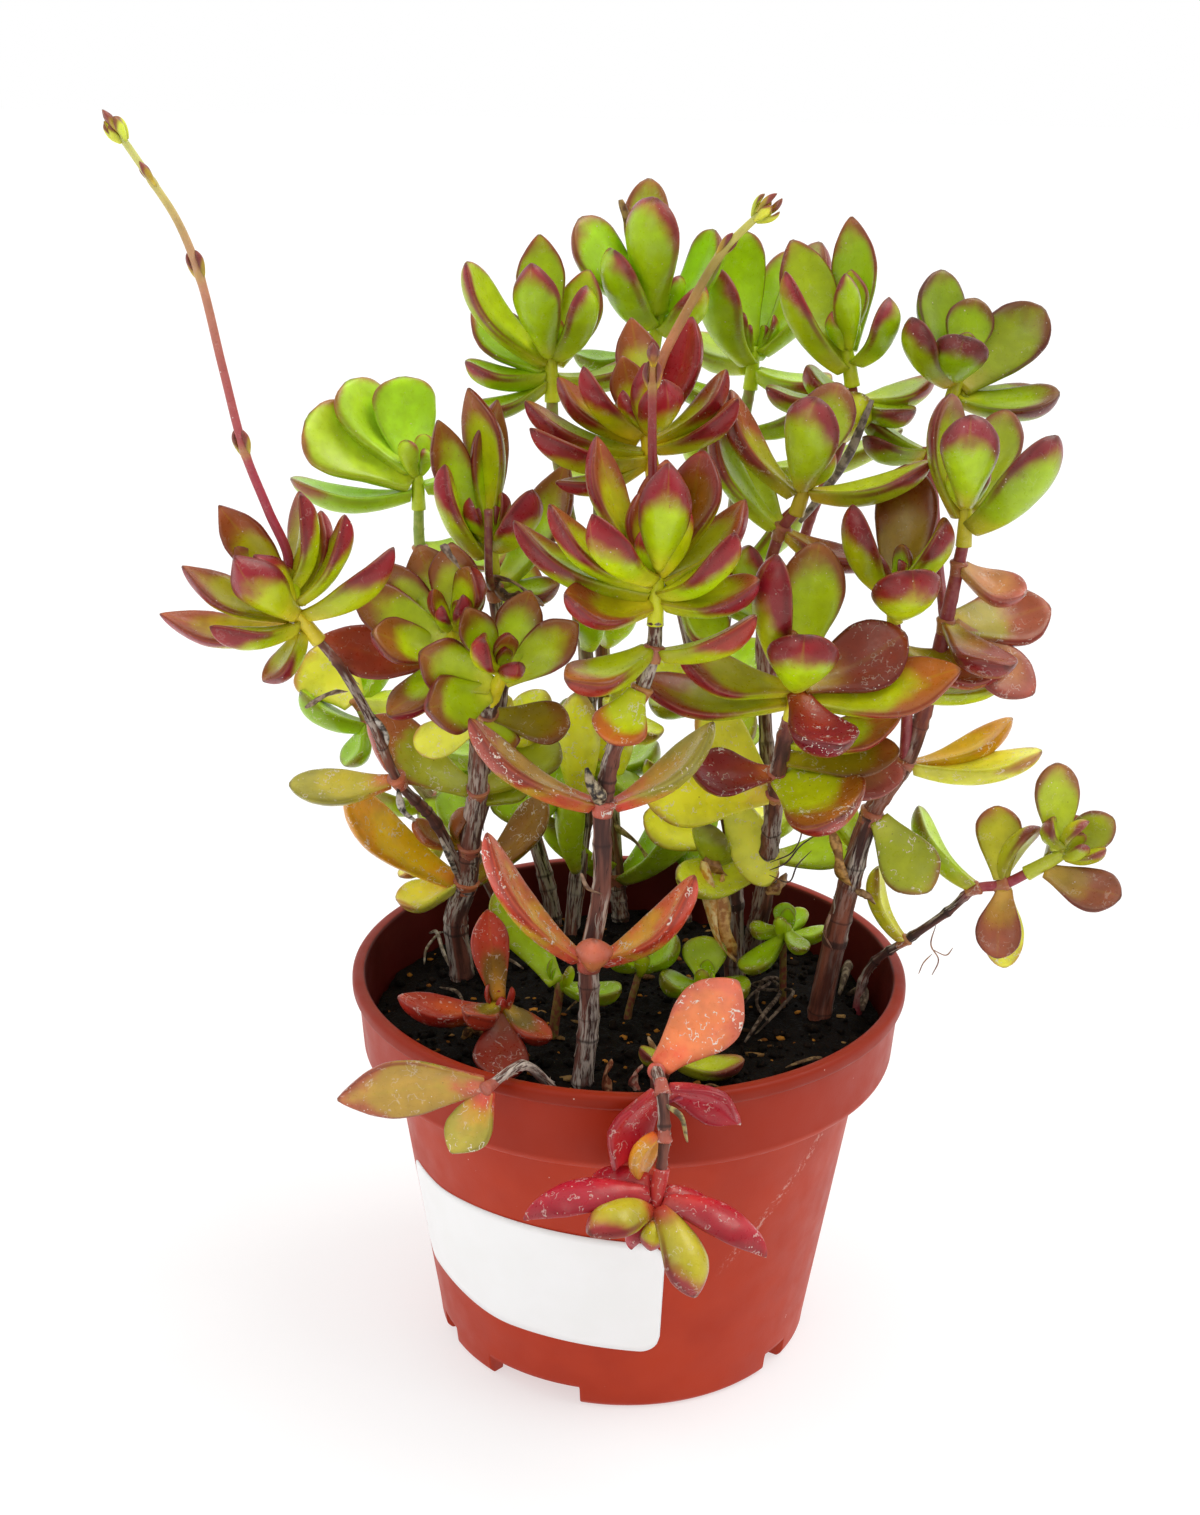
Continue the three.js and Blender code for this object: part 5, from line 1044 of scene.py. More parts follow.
class Nodes:
    """A node tree, put together by short calls that each add one node."""

    def __init__(self, tree: bpy.types.NodeTree) -> None:
        """Keeps the tree."""
        self.tree = tree

    def feed(self, socket: Socket, value: Value) -> None:
        """Links a socket to another one, or sets its number, or its colour from an sRGB code."""
        if isinstance(value, Socket):
            self.tree.links.new(value, socket)
        else:
            socket.default_value = (*linear(value), 1.0) if isinstance(value, str) else value

    def node(self, kind: str, output: int | str, inputs: dict[int | str, Value], **settings: str) -> Socket:
        """Adds a node of this kind with these settings and inputs, and gives one of its outputs."""
        node = self.tree.nodes.new("ShaderNode" + kind)
        for name, setting in settings.items():
            setattr(node, name, setting)
        for name, value in inputs.items():
            self.feed(node.inputs[name], value)
        return node.outputs[output]

    def maths(self, kind: str, *values: Value) -> Socket:
        """Gives a sum, product or other function of values."""
        return self.node("Math", 0, dict(enumerate(values)), operation=kind)

    def plus(self, a: Value, b: Value) -> Socket:
        """Gives a sum."""
        return self.maths("ADD", a, b)

    def times(self, a: Value, b: Value) -> Socket:
        """Gives a product."""
        return self.maths("MULTIPLY", a, b)

    def step(self, value: Value, low: Value, high: Value, **ends: float) -> Socket:
        """Gives a smooth rise from 0 where the value is low to 1 where it is high, or between other ends."""
        places = {"Value": value, "From Min": low, "From Max": high}
        places.update({"To " + name.title(): end for name, end in ends.items()})
        return self.node("MapRange", "Result", places, interpolation_type="SMOOTHSTEP")

    def ranged(self, value: Value, low: float, high: float, start: float = 0.0, end: float = 1.0) -> Socket:
        """Gives low to high, evenly, as the value goes from start to end."""
        places = {"Value": value, "From Min": start, "From Max": end, "To Min": low, "To Max": high}
        return self.node("MapRange", "Result", places)

    def split(self, vector: Socket) -> tuple[Socket, ...]:
        """Gives the three numbers of a vector."""
        return tuple(self.node("SeparateXYZ", 0, {0: vector}).node.outputs)


class Recipe(Nodes):
    """A procedural material."""

    def __init__(self, name: str) -> None:
        """Makes a material with its shader, its object coordinates, and nothing else."""
        self.material = bpy.data.materials.new(name)
        self.material.use_nodes = True
        super().__init__(self.material.node_tree)
        self.shader = self.tree.nodes["Principled BSDF"]
        self.where = self.node("TexCoord", "Object", {})

    def mix(self, share: Value, low: Value, high: Value) -> Socket:
        """Gives a colour between two colours."""
        return self.node("Mix", 2, {0: share, 6: low, 7: high}, data_type="RGBA")

    def noise(self, size: float, detail: float = 2.0, where: Socket | None = None,
              rough: float = 0.5) -> Socket:
        """Gives noise from 0 to 1 whose lumps are about this many millimetres wide."""
        scale = 1 / (size * METRE) if where is None else 1 / size
        places = {"Scale": scale, "Detail": detail, "Roughness": rough, "Vector": where or self.where}
        return self.node("TexNoise", "Fac", places)

    def dots(self, size: float, share: Value, spread: float) -> Socket:
        """Gives round dots: 1 near the middles of some of the cells of a Voronoi pattern.

        Args:
            size: Width of a cell in millimetres.
            share: Share of the cells that have a dot.
            spread: Radius of a dot, as a share of the cell's width.

        Returns:
            The dots, from 0 to 1.
        """
        distance = self.node("TexVoronoi", "Distance", {"Scale": 1 / (size * METRE), "Vector": self.where})
        near = self.step(distance, spread, spread * 0.5)
        drawn = self.node("SeparateColor", 0, {0: distance.node.outputs["Color"]})
        return self.times(near, self.maths("LESS_THAN", drawn, share))

    def fact(self, name: str) -> Socket:
        """Gives an attribute of the mesh as a colour or vector."""
        return self.node("Attribute", "Color" if name in Weave.COLOURS else "Vector", {}, attribute_name=name)

    def bump(self, height: Value, depth: float, strength: float = 1.0) -> None:
        """Gives the shader relief of this depth in millimetres."""
        places = {"Strength": strength, "Distance": depth * METRE, "Height": height}
        self.feed(self.shader.inputs["Normal"], self.node("Bump", "Normal", places))

    def finish(self, **sockets: Value) -> bpy.types.Material:
        """Feeds the shader's sockets, which are named with _ for a space, and gives the material."""
        for name, value in sockets.items():
            self.feed(self.shader.inputs[name.replace("_", " ")], value)
        return self.material


@dataclass(frozen=True)
class LeafSkin:
    """Waxy, fleshy leaf skin: colours from the mesh, a fine margin, dots, painted glints and painted shade.
    """

    roughness: float = 0.3
    scatter: float = 0.18
    scatter_depth: float = 0.0022

    def make(self) -> bpy.types.Material:
        """Makes the material."""
        r = Recipe("leaf_skin")
        along, across, face = r.split(r.fact("place"))
        reach, inside, edge = r.split(r.fact("flush"))
        specks, painted_glints, patchy = r.split(r.fact("quirk"))
        far = r.maths("ABSOLUTE", across)
        fine = r.noise(0.8, 3.0)
        loose = r.ranged(patchy, 0.15, 0.95)
        wander = r.times(r.maths("SUBTRACT", r.noise(6.0, 3.0), 0.5), loose)
        height = r.plus(along, wander)
        rimmed = r.plus(height, r.times(r.maths("POWER", far, 3.0), 0.34))
        start = r.maths("SUBTRACT", 0.94, reach)
        flush = r.step(rimmed, start, r.plus(start, 0.27))
        colour = r.mix(r.step(height, 0.02, 0.36), r.fact("root"), r.fact("flesh"))
        back = r.mix(flush, colour, r.fact("blush"))
        front = r.mix(r.times(inside, r.step(rimmed, 0.0, 0.4)), colour, r.fact("inner"))
        front = r.mix(r.times(flush, 0.85), front, r.fact("blush"))
        skin = r.mix(r.step(face, -0.15, 0.25), back, front)
        skin = r.mix(r.times(r.step(far, 0.13, 0.0), 0.1), skin, r.fact("flesh"))
        line = r.times(r.step(far, 0.86, 0.94), r.step(far, 1.0, 0.965))
        grown = r.times(r.times(line, edge), r.step(along, 0.12, 0.55))
        skin = r.mix(r.times(grown, 0.75), skin, r.mix(0.45, r.fact("blush"), "#4c0c10"))
        skin = r.mix(r.times(r.step(along, 0.95, 0.985), 0.55), skin, "#3a1a14")
        # Painted shade: a random mottle times a fall from the leaf's middle to its margins, so the sides of a
        # plump leaf are darker.
        mottle = r.ranged(r.noise(2.6, 3.0), 0.9, 1.14, 0.3, 0.7)
        light = r.times(mottle, r.ranged(r.maths("POWER", far, 2.0), 1.12, 0.76))
        skin = r.node("HueSaturation", 0, {"Value": light, "Color": skin})
        near = r.times(r.times(flush, r.maths("SUBTRACT", 1.0, flush)), 4.0)
        freckles = r.times(r.dots(0.55, r.times(specks, 0.3), 0.3), near)
        skin = r.mix(r.times(freckles, 0.6), skin, r.fact("blush"))
        flecks = r.dots(1.2, r.times(specks, 0.12), 0.13)
        skin = r.mix(r.times(flecks, 0.6), skin, "#4a2010")
        white = r.dots(0.85, r.times(specks, 0.16), 0.15)
        # Painted glints: white beads and streaks in the colour that stand in for the highlights of damp
        # patches, partly white residue; the white dots above are specks.
        painted_glint_beads = r.dots(0.55, r.times(painted_glints, 0.3), 0.3)
        painted_glint_beads = r.times(painted_glint_beads, r.step(r.noise(3.5, 1.0), 0.45, 0.6))
        wave = r.maths("ABSOLUTE", r.maths("SUBTRACT", r.noise(1.9, 2.0, rough=0.6), 0.5))
        painted_glint_streaks = r.times(r.step(wave, 0.024, 0.01), r.step(r.noise(2.4, 1.0), 0.54, 0.6))
        # pale holds the white specks and the painted glints.
        pale = r.maths("MAXIMUM", white, r.maths("MAXIMUM", painted_glint_beads, r.times(painted_glint_streaks, painted_glints)))
        skin = r.mix(r.times(pale, 0.7), skin, "#fbf0e4")
        gloss = r.ranged(fine, self.roughness - 0.06, self.roughness + 0.12, 0.3, 0.7)
        r.bump(r.plus(r.times(fine, 0.35), r.plus(r.noise(3.0, 2.0), pale)), 0.12, 0.6)
        return r.finish(Base_Color=skin, Roughness=gloss, Subsurface_Weight=self.scatter,
                        Subsurface_Radius=(1.0, 0.75, 0.2), Subsurface_Scale=self.scatter_depth,
                        Specular_IOR_Level=0.46, Specular_Tint=(1.0, 0.95, 0.8, 1.0), Coat_Weight=0.09,
                        Coat_Roughness=0.22)


@dataclass(frozen=True)
class Bark:
    """Stem skin: young and smooth, or brown with silver peeling fibres, dark cracks and bald patches."""

    def make(self) -> bpy.types.Material:
        """Makes the material. The mesh gives the grain's own coordinates, which are long along the stem."""
        r = Recipe("stem_bark")
        grain = r.fact("place")
        woody, ring, bare = r.split(r.fact("flush"))
        fibre = r.noise(0.42, 4.0, grain, 0.6)
        patch = r.noise(1.9, 4.0, grain, 0.55)
        wood = r.mix(r.step(patch, 0.4, 0.6), "#462822", "#7c4a3c")
        smooth_wood = r.mix(r.step(patch, 0.38, 0.6), "#5e2c1c", "#94523a")
        zone = r.times(r.step(r.noise(3.4, 1.0, grain), 0.62, 0.5), r.ranged(bare, 0.0, 1.0))
        wood = r.mix(zone, wood, smooth_wood)
        bald = r.noise(2.4, 2.0, grain, 0.5)
        peeled = r.times(r.step(bald, 0.43, 0.54), r.step(fibre, 0.4, 0.54))
        peeled = r.times(peeled, r.ranged(zone, 1.0, 0.12))
        wood = r.mix(r.times(peeled, 0.9), wood, "#d4c6b8")
        wood = r.mix(r.times(r.step(fibre, 0.4, 0.31), r.ranged(zone, 0.85, 0.3)), wood, "#1e110c")
        wood = r.mix(r.times(r.step(ring, 0.55, 0.95), 0.75), wood, "#2c1a14")
        young = r.mix(r.step(r.noise(1.2, 3.0), 0.38, 0.62), r.fact("flesh"), r.fact("blush"))
        young = r.mix(r.times(r.dots(0.6, 0.2, 0.2), 0.5), young, "#d8b8a4")
        skin = r.mix(woody, young, wood)
        rough = r.ranged(woody, 0.4, 0.78)
        r.bump(r.times(r.plus(fibre, peeled), r.ranged(woody, 0.08, 0.8)), 0.35, 0.9)
        return r.finish(Base_Color=skin, Roughness=rough, Subsurface_Weight=0.05,
                        Subsurface_Radius=(1.0, 0.6, 0.3), Subsurface_Scale=0.001)


@dataclass(frozen=True)
class PotPlastic:
    """Moulded terracotta plastic: painted shade darkens it inside, with dust and a pale scuff across the
    right.
    """

    def make(self) -> bpy.types.Material:
        """Makes the material. The mesh gives the turn in degrees, the height, and 1 on the inside."""
        r = Recipe("pot_plastic")
        turn, height, inside = r.split(r.fact("place"))
        cloud = r.noise(14.0, 3.0)
        body = r.mix(r.step(cloud, 0.35, 0.7), "#b0300e", "#b93612")
        collar = r.step(height, 60.2, 61.4)
        body = r.mix(r.times(collar, 0.8), body, "#a22806")
        body = r.mix(r.times(r.step(height, 71.8, 72.6), 0.6), body, "#862004")
        # Painted shade: the inside of the wall is darkened to deep maroon.
        body = r.mix(inside, body, "#5c1610")
        dust = r.times(r.dots(1.5, 0.1, 0.11), r.step(r.noise(11.0, 2.0), 0.46, 0.62))
        slope = r.plus(height, r.times(r.plus(turn, 52.0), -0.78))
        band = r.step(r.maths("ABSOLUTE", r.maths("SUBTRACT", slope, 41.0)), 2.2, 0.4)
        reach = r.times(r.step(turn, -66.0, -58.0), r.step(turn, -28.0, -34.0))
        scuff = r.times(r.times(band, reach), r.step(r.noise(0.9, 4.0, rough=0.7), 0.5, 0.62))
        pale = r.maths("MAXIMUM", r.times(dust, 0.8), r.times(scuff, 0.4))
        body = r.mix(pale, body, "#e8cdbf")
        r.bump(r.plus(r.noise(0.35, 2.0), r.times(pale, 0.6)), 0.035, 0.6)
        rough = r.ranged(r.noise(5.0, 3.0), 0.4, 0.54, 0.3, 0.7)
        return r.finish(Base_Color=body, Roughness=rough, Subsurface_Weight=0.05,
                        Subsurface_Radius=(1.0, 0.4, 0.2), Subsurface_Scale=0.0015, Specular_IOR_Level=0.22)


@dataclass(frozen=True)
class LabelPaper:
    """White sticker paper: blank, with fine fibres, a faint satin coat and shallow waves from the hand."""

    def make(self) -> bpy.types.Material:
        """Makes the material."""
        r = Recipe("label_paper")
        fibre = r.noise(0.5, 4.0)
        tone = r.mix(r.step(r.noise(9.0, 2.0), 0.3, 0.7), "#fcfcfb", "#ffffff")
        r.bump(r.plus(r.times(fibre, 0.25), r.noise(8.0, 1.0)), 0.1, 0.5)
        return r.finish(Base_Color=tone, Roughness=0.42, Specular_IOR_Level=0.4, Coat_Weight=0.15)


@dataclass(frozen=True)
class Peat:
    """Damp black peat with tan, grey and rust crumbs: each crumb's own colour, and grains between them."""

    def make(self) -> bpy.types.Material:
        """Makes the material."""
        r = Recipe("peat")
        grain = r.noise(0.7, 5.0, rough=0.65)
        streak = r.step(r.noise(1.2, 3.0), 0.45, 0.6)
        streak = r.times(streak, r.step(r.split(r.fact("flush"))[0], 0.2, 0.8))
        own = r.mix(streak, r.fact("flesh"), r.fact("blush"))
        dark = r.mix(r.step(grain, 0.42, 0.68), own, r.mix(0.18, own, "#4b3524"))
        dark = r.mix(r.times(r.dots(1.0, 0.06, 0.16), 0.7), dark, "#7a5428")
        dark = r.mix(r.times(r.dots(0.7, 0.04, 0.14), 0.6), dark, "#a89878")
        r.bump(grain, 0.7, 1.0)
        rough = r.ranged(grain, 0.5, 0.9, 0.35, 0.6)
        return r.finish(Base_Color=dark, Roughness=rough, Specular_IOR_Level=0.13)


@dataclass(frozen=True)
class FloorPaint:
    """Plain pale studio floor."""

    def make(self) -> bpy.types.Material:
        """Makes the material."""
        return Recipe("floor_paint").finish(Base_Color="#b6b6b6", Roughness=0.9, Specular_IOR_Level=0.05,
                                            Emission_Color="#ffffff", Emission_Strength=0.57)


@dataclass
class Finishes:
    """The materials of the whole part."""

    leaf: bpy.types.Material = field(default_factory=lambda: LeafSkin().make())
    bark: bpy.types.Material = field(default_factory=lambda: Bark().make())
    plastic: bpy.types.Material = field(default_factory=lambda: PotPlastic().make())
    paper: bpy.types.Material = field(default_factory=lambda: LabelPaper().make())
    peat: bpy.types.Material = field(default_factory=lambda: Peat().make())


LEAF = 0
BARK = 1
PEAT = 0


def seat(piece: bpy.types.Object, slot: str, node: str) -> None:
    """Fixes a piece to the frame: it rides on the one body and stands for this node, whose part it hides. The
    slot is not used.
    """
    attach(piece, "root")
    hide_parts(node)
    LOG.info("%s: %d faces", piece.name, len(piece.data.polygons))


def turned_section(radius: Array, height: Array, bearing: Array) -> Array:
    """Gives points round the upright axis: (r cos a, r sin a, z)."""
    return np.stack(np.broadcast_arrays(radius * np.cos(bearing), radius * np.sin(bearing), height), axis=-1)


# Pot, label and soil

@dataclass
class Pot:
    """The nursery pot: a turned wall with a stepped collar and lip, and drain notches in its foot ring."""

    lip_radius: float = 52.5
    height: float = 75.2
    lip_height: float = 3.0
    collar_top: float = 51.4
    collar_foot: float = 60.7
    collar_foot_radius: float = 50.5
    shoulder: float = 57.8
    shoulder_radius: float = 44.9
    corner: float = 5.0
    corner_radius: float = 36.8
    foot_radius: float = 35.3
    foot_ring: float = 2.2
    disc_radius: float = 25.0
    underside: float = 4.3
    floor: float = 5.8
    wall: float = 1.4
    columns: int = 288
    notches: tuple[tuple[float, float], ...] = ((-117.5, 31), (-156, 10))
    sets: int = 3
    bend_points: int = 5
    notch_edge: float = 0.12
    oval: float = 0.12

    def corners(self) -> Array:
        """Gives the half section's corners: radius, height, and how far from it the rounding starts."""
        inner = self.collar_top - self.wall
        ring = self.foot_radius - self.foot_ring
        return np.array([
            (0, 0, 0), (self.disc_radius, 0, 0.4), (self.disc_radius + 1, self.underside, 0.4),
            (ring, self.underside, 0.3), (ring, 0, 0.25), (self.foot_radius, 0, 0.3),
            (self.foot_radius + 1, 1, 0.5), (self.corner_radius, self.corner, 1.5),
            (self.shoulder_radius, self.shoulder, 1.6),
            (self.shoulder_radius + 3.2, self.shoulder + 0.9, 1.2),
            (self.collar_foot_radius - 0.5, self.collar_foot - 1.0, 0.7),
            (self.collar_foot_radius, self.collar_foot, 0.5),
            (self.collar_top, self.height - self.lip_height, 0.35),
            (self.lip_radius, self.height - self.lip_height + 0.5, 0.6), (self.lip_radius, self.height, 1.1),
            (inner, self.height, 0.8), (self.collar_foot_radius - self.wall, self.collar_foot + 1, 1.0),
            (self.shoulder_radius - self.wall, self.shoulder - 0.6, 1.0),
            (self.corner_radius - self.wall - 1, self.floor, 0.5), (0, self.floor, 0),
        ])

    def profile(self) -> Array:
        """Rounds the corners: each becomes five points of the curve (1-t)^2 a + 2t(1-t) p + t^2 b.

        p is the corner, and a and b lie on its two sides, as far from it as the rounding starts.
        """
        corners = self.corners()
        points = corners[:, :2]
        middle, before, after = points[1:-1], points[:-2], points[2:]
        start = np.minimum(corners[1:-1, 2], 0.45 * np.linalg.norm(middle - before, axis=1))[:, None]
        end = np.minimum(corners[1:-1, 2], 0.45 * np.linalg.norm(middle - after, axis=1))[:, None]
        a = middle + unit(before - middle) * start
        b = middle + unit(after - middle) * end
        t = np.linspace(0, 1, self.bend_points)[None, :, None]
        rounds = a[:, None] * (1 - t) ** 2 + 2 * t * (1 - t) * middle[:, None] + b[:, None] * t ** 2
        return rounds.reshape(-1, 2)

    def make(self, finishes: Finishes) -> None:
        """Turns the profile about the upright axis, and lifts the foot ring's edge inside each notch."""
        profile = self.profile()
        angles = np.linspace(0, 360, self.columns, endpoint=False)
        edges = []
        for number in range(self.sets):
            for middle, width in self.notches:
                edges += [middle + number * 120 - width / 2, middle + number * 120 + width / 2]
        edges = np.array(edges).reshape(-1, 2)
        beside = np.concatenate([edges.ravel() - self.notch_edge, edges.ravel() + self.notch_edge])
        angles = np.sort(np.unique(np.concatenate([angles, beside % 360])))
        off = (angles[:, None] - edges.mean(1)[None] + 180) % 360 - 180
        cut = np.any(np.abs(off) < (edges[:, 1] - edges[:, 0])[None] / 2, axis=1)
        radius = np.repeat(profile[:, :1], len(angles), axis=1)
        height = np.repeat(profile[:, 1:], len(angles), axis=1)
        low = (radius > self.foot_radius - self.foot_ring - 0.5) & (height < self.underside) & cut[None]
        height = np.where(low, self.underside, height)
        radius = radius + self.oval * np.sin(np.radians(2 * angles + 40))[None] * ease(height, 20, 75)
        grid = turned_section(radius, height, np.radians(angles)[None])
        inside = np.arange(len(profile)) > int(np.argmax(profile[:, 1])) + 2
        turn = (angles[None] + 180) % 360 - 180
        facts = np.stack(np.broadcast_arrays(turn, height, inside[:, None]), axis=-1)
        weave = Weave()
        weave.add(grid, 0, place=facts)
        seat(weave.make("pot_shell", [finishes.plastic]), "pot", "pot")

    def wall_radius(self, height: Array) -> Array:
        """Gives the outer wall's radius below the collar: a straight line from the corner to the shoulder."""
        share = (height - self.corner) / (self.shoulder - self.corner)
        return self.corner_radius + (self.shoulder_radius - self.corner_radius) * share


@dataclass
class Label:
    """The blank sticker, bent round the wall."""

    middle: float = -121.3
    half_angle: float = 41.8
    height: float = 28.4
    half_height: float = 12.8
    corner: float = 4.0
    low_turn: float = -115.0
    drop: float = 0.0015
    thickness: float = 0.16
    lift: float = 0.05
    upper_rise: float = 1.8
    lower_rise: float = 5.0
    columns: int = 72
    rows: int = 16

    def make(self, pot: Pot, finishes: Finishes) -> None:
        """Bends a flat sheet with round corners round the wall.

        The middle line's height falls by drop times the square of the turn from low_turn. The half height
        follows a quarter circle near each end. A ring of the grid runs up the outside and down the inside.
        """
        spread = np.linspace(0, 1, self.columns)
        share = (1 - np.cos(np.pi * spread)) / 2
        share = 0.5 * share + 0.5 * spread
        angle = self.middle + (2 * share - 1) * self.half_angle
        arc = math.radians(self.half_angle) * pot.wall_radius(np.array(self.height))
        cornered = self.corner - np.minimum((1 - np.abs(2 * share - 1)) * arc, self.corner)
        half = self.half_height - self.corner + np.sqrt(np.maximum(self.corner ** 2 - cornered ** 2, 0.0))
        middle = self.height - self.drop * (angle - self.low_turn) ** 2
        rise = np.linspace(-1, 1, self.rows)
        up = np.concatenate([rise, rise[::-1]])[None]
        outer = np.concatenate([np.ones(self.rows), np.zeros(self.rows)])[None]
        upper = self.upper_rise * ease(-angle, 140, 162)[:, None] * (up > 0)
        lower = self.lower_rise * ease(-angle, 122, 162)[:, None] * (up < 0)
        height = middle[:, None] + up * half[:, None] + (upper + lower) * np.abs(up)
        radius = pot.wall_radius(height) + self.lift + outer * self.thickness
        weave = Weave()
        weave.add(turned_section(radius, height, np.radians(angle)[:, None]), 0)
        seat(weave.make("label_sheet", [finishes.paper]), "label", "label")


@dataclass
class Soil:
    """The peat: a closed fill with a rough mound on top, crumbs, chips, dead leaves and fine roots."""

    seed: int = 71
    columns: int = 200
    rings: int = 64
    top_radius: float = 48.6
    mound: float = 1.2
    level_radius: float = 38.0
    crumbs: int = 900
    flecks: int = 190
    chips: int = 46
    tones: tuple[str, ...] = ("#070504", "#0a0705", "#100b08", "#060403", "#1a110b", "#8a541e", "#c88430")
    chip_tones: tuple[str, ...] = ("#6b4a2a", "#9a7444", "#43301f", "#b89058")
    below: tuple[tuple[float, float], ...] = ((0.2, 6.1), (17, 6.1), (34.1, 6.1), (38.6, 31.0), (43.2, 57.2),
                                              (46.5, 59.4), (48.8, 62.0))

    def __post_init__(self) -> None:
        """Draws the relief."""
        self.wide = Lumps(self.seed)
        self.fine = Lumps(self.seed + 1)
        self.rng = np.random.default_rng(self.seed)

    def level(self, x: Array, y: Array) -> Array:
        """Gives the height of the top: a low wave, two sizes of lumps, and a fall towards the wall."""
        wave = 0.4 * (np.sin(0.31 * x + 1) * np.cos(0.27 * y - 0.4) - 1)
        lumps = 0.75 * self.wide.read(x / 5 + 20, y / 5 + 20)
        lumps = lumps + 0.5 * self.fine.read(x / 1.7 + 40, y / 1.7 + 40)
        tiny = 0.22 * self.wide.read(x / 0.8 + 90, y / 0.8 + 90)
        fall = self.mound * ease(np.hypot(x, y), self.level_radius, self.top_radius)
        return SOIL_TOP + wave + lumps + tiny - fall

    def make(self, finishes: Finishes) -> None:
        """Builds the fill as a turned section with the top at its level, and scatters lumps on it."""
        below = np.array(self.below)
        radii = np.concatenate([below[:, 0], np.linspace(self.top_radius, 0.3, self.rings)])[:, None]
        angle = np.linspace(0, 2 * np.pi, self.columns, endpoint=False)[None]
        top = turned_section(radii, radii, angle)[len(below):]
        wall = np.repeat(below[:, 1:], self.columns, axis=1)
        height = np.vstack([wall, self.level(top[..., 0], top[..., 1])])
        weave = Weave()
        weave.add(turned_section(radii, height, angle), 0, flesh=linear("#080504"))
        self.scatter(weave, self.crumbs, 0.35, 1.3, (1.0, 1.0, 0.8), self.tones[:5])
        self.scatter(weave, self.flecks, 0.3, 1.1, (1.0, 0.8, 0.5), self.tones[5:])
        self.scatter(weave, self.chips, 0.7, 1.9, (1.0, 0.45, 0.3), self.chip_tones)
        for row in LITTER:
            Shred(Scrap(*row)).add_to(weave, self.rng, PEAT)
        seat(weave.make("soil_fill", [finishes.peat]), "soil", "soil")

    def scatter(self, weave: Weave, count: int, least: float, most: float, shape: Place,
                tones: tuple[str, ...]) -> None:
        """Scatters lumps on the soil: twenty-faced solids, stretched, turned and coloured at random.

        Args:
            weave: The mesh to add to.
            count: How many.
            least: Smallest radius.
            most: Largest radius.
            shape: Radii along the lump's own three directions, as shares.
            tones: Colours to draw from.
        """
        gold = (1 + 5 ** 0.5) / 2
        base = np.array([
            (-1, gold, 0), (1, gold, 0), (-1, -gold, 0), (1, -gold, 0), (0, -1, gold), (0, 1, gold),
            (0, -1, -gold), (0, 1, -gold), (gold, 0, -1), (gold, 0, 1), (-gold, 0, -1), (-gold, 0, 1)])
        tris = np.array([
            (0, 11, 5), (0, 5, 1), (0, 1, 7), (0, 7, 10), (0, 10, 11), (1, 5, 9), (5, 11, 4), (11, 10, 2),
            (10, 7, 6), (7, 1, 8), (3, 9, 4), (3, 4, 2), (3, 2, 6), (3, 6, 8), (3, 8, 9), (4, 9, 5),
            (2, 4, 11), (6, 2, 10), (8, 6, 7), (9, 8, 1)])
        rng = self.rng
        far = (self.top_radius - 1.5) * np.sqrt(rng.uniform(0, 1, count))
        angle = rng.uniform(0, 2 * np.pi, count)
        x, y = far * np.cos(angle), far * np.sin(angle)
        size = least + (most - least) * rng.uniform(0, 1, count) ** 2
        lump = unit(base)[None] * rng.uniform(0.7, 1.3, (count, 12, 1))
        lump = lump * np.array(shape) * size[:, None, None]
        axes = unit(rng.normal(size=(count, 3)))
        spin = rng.uniform(-1, 1, count) * (30 if shape[2] < 0.6 else 180)
        lump = turned(lump, np.repeat(axes[:, None], 12, 1), np.repeat(spin[:, None], 12, 1))
        level = self.level(x, y) + 0.25 * size
        points = lump + np.stack([x, y, level], axis=-1)[:, None]
        faces = tris[None] + 12 * np.arange(count)[:, None, None]
        colour = np.array([linear(code) for code in tones])[rng.integers(0, len(tones), count)]
        colour = colour * rng.uniform(0.8, 1.25, (count, 1))
        weave.take(points.reshape(-1, 3), (faces.reshape(-1, 3),), 0, flesh=np.repeat(colour, 12, axis=0))


# Stems, leaves and what grows from them

@dataclass(frozen=True)
class Wood:
    """The stems of a shoot: two young colours, the radii where bark starts and is whole, and its bareness."""

    young: str = "#8e3a3a"
    flecked: str = "#a0563c"
    starts: float = 1.55
    whole: float = 2.05
    bare: float = 0.25


WOODS: dict[str, Wood] = {
    "shoot_front": Wood("#8a4436", "#97684a", 1.5, 1.9, 0.1),
    "shoot_left": Wood("#8d5a3c", "#7c3434", 1.35, 1.7, 0.3),
    "shoot_centre": Wood("#8a4436", "#97684a", 1.5, 1.85),
    "shoot_right_front": Wood("#93383a", "#a2524a", 1.6, 1.95, 0.45),
    "shoot_right": Wood("#8f2f3a", "#9e4a48", 1.7, 2.0, 0.9),
    "shoot_back_left": Wood("#8aa03a", "#a3b04c", 1.75, 2.1),
    "shoot_left_back": Wood("#a8a850", "#a27a44", 1.55, 1.8),
    "shoot_top_left": Wood("#8fa23c", "#9c8a44", 1.7, 2.0),
    "shoot_top_centre": Wood("#9aa548", "#a28850", 1.6, 1.9),
    "shoot_top_right": Wood("#9aa24a", "#a08a56", 1.6, 1.9),
    "shoot_trailing": Wood("#9a2c3e", "#a8444a", 1.24, 1.05),
    "shoot_hanging": Wood("#8a3040", "#7a4a40", 0.9, 1.2),
    "shoot_over_lip": Wood("#7a3a3c", "#8a5044", 0.9, 1.1),
}
SPROUT_WOOD = Wood("#8f7a3c", "#8a4a38", 2.5, 3.0)

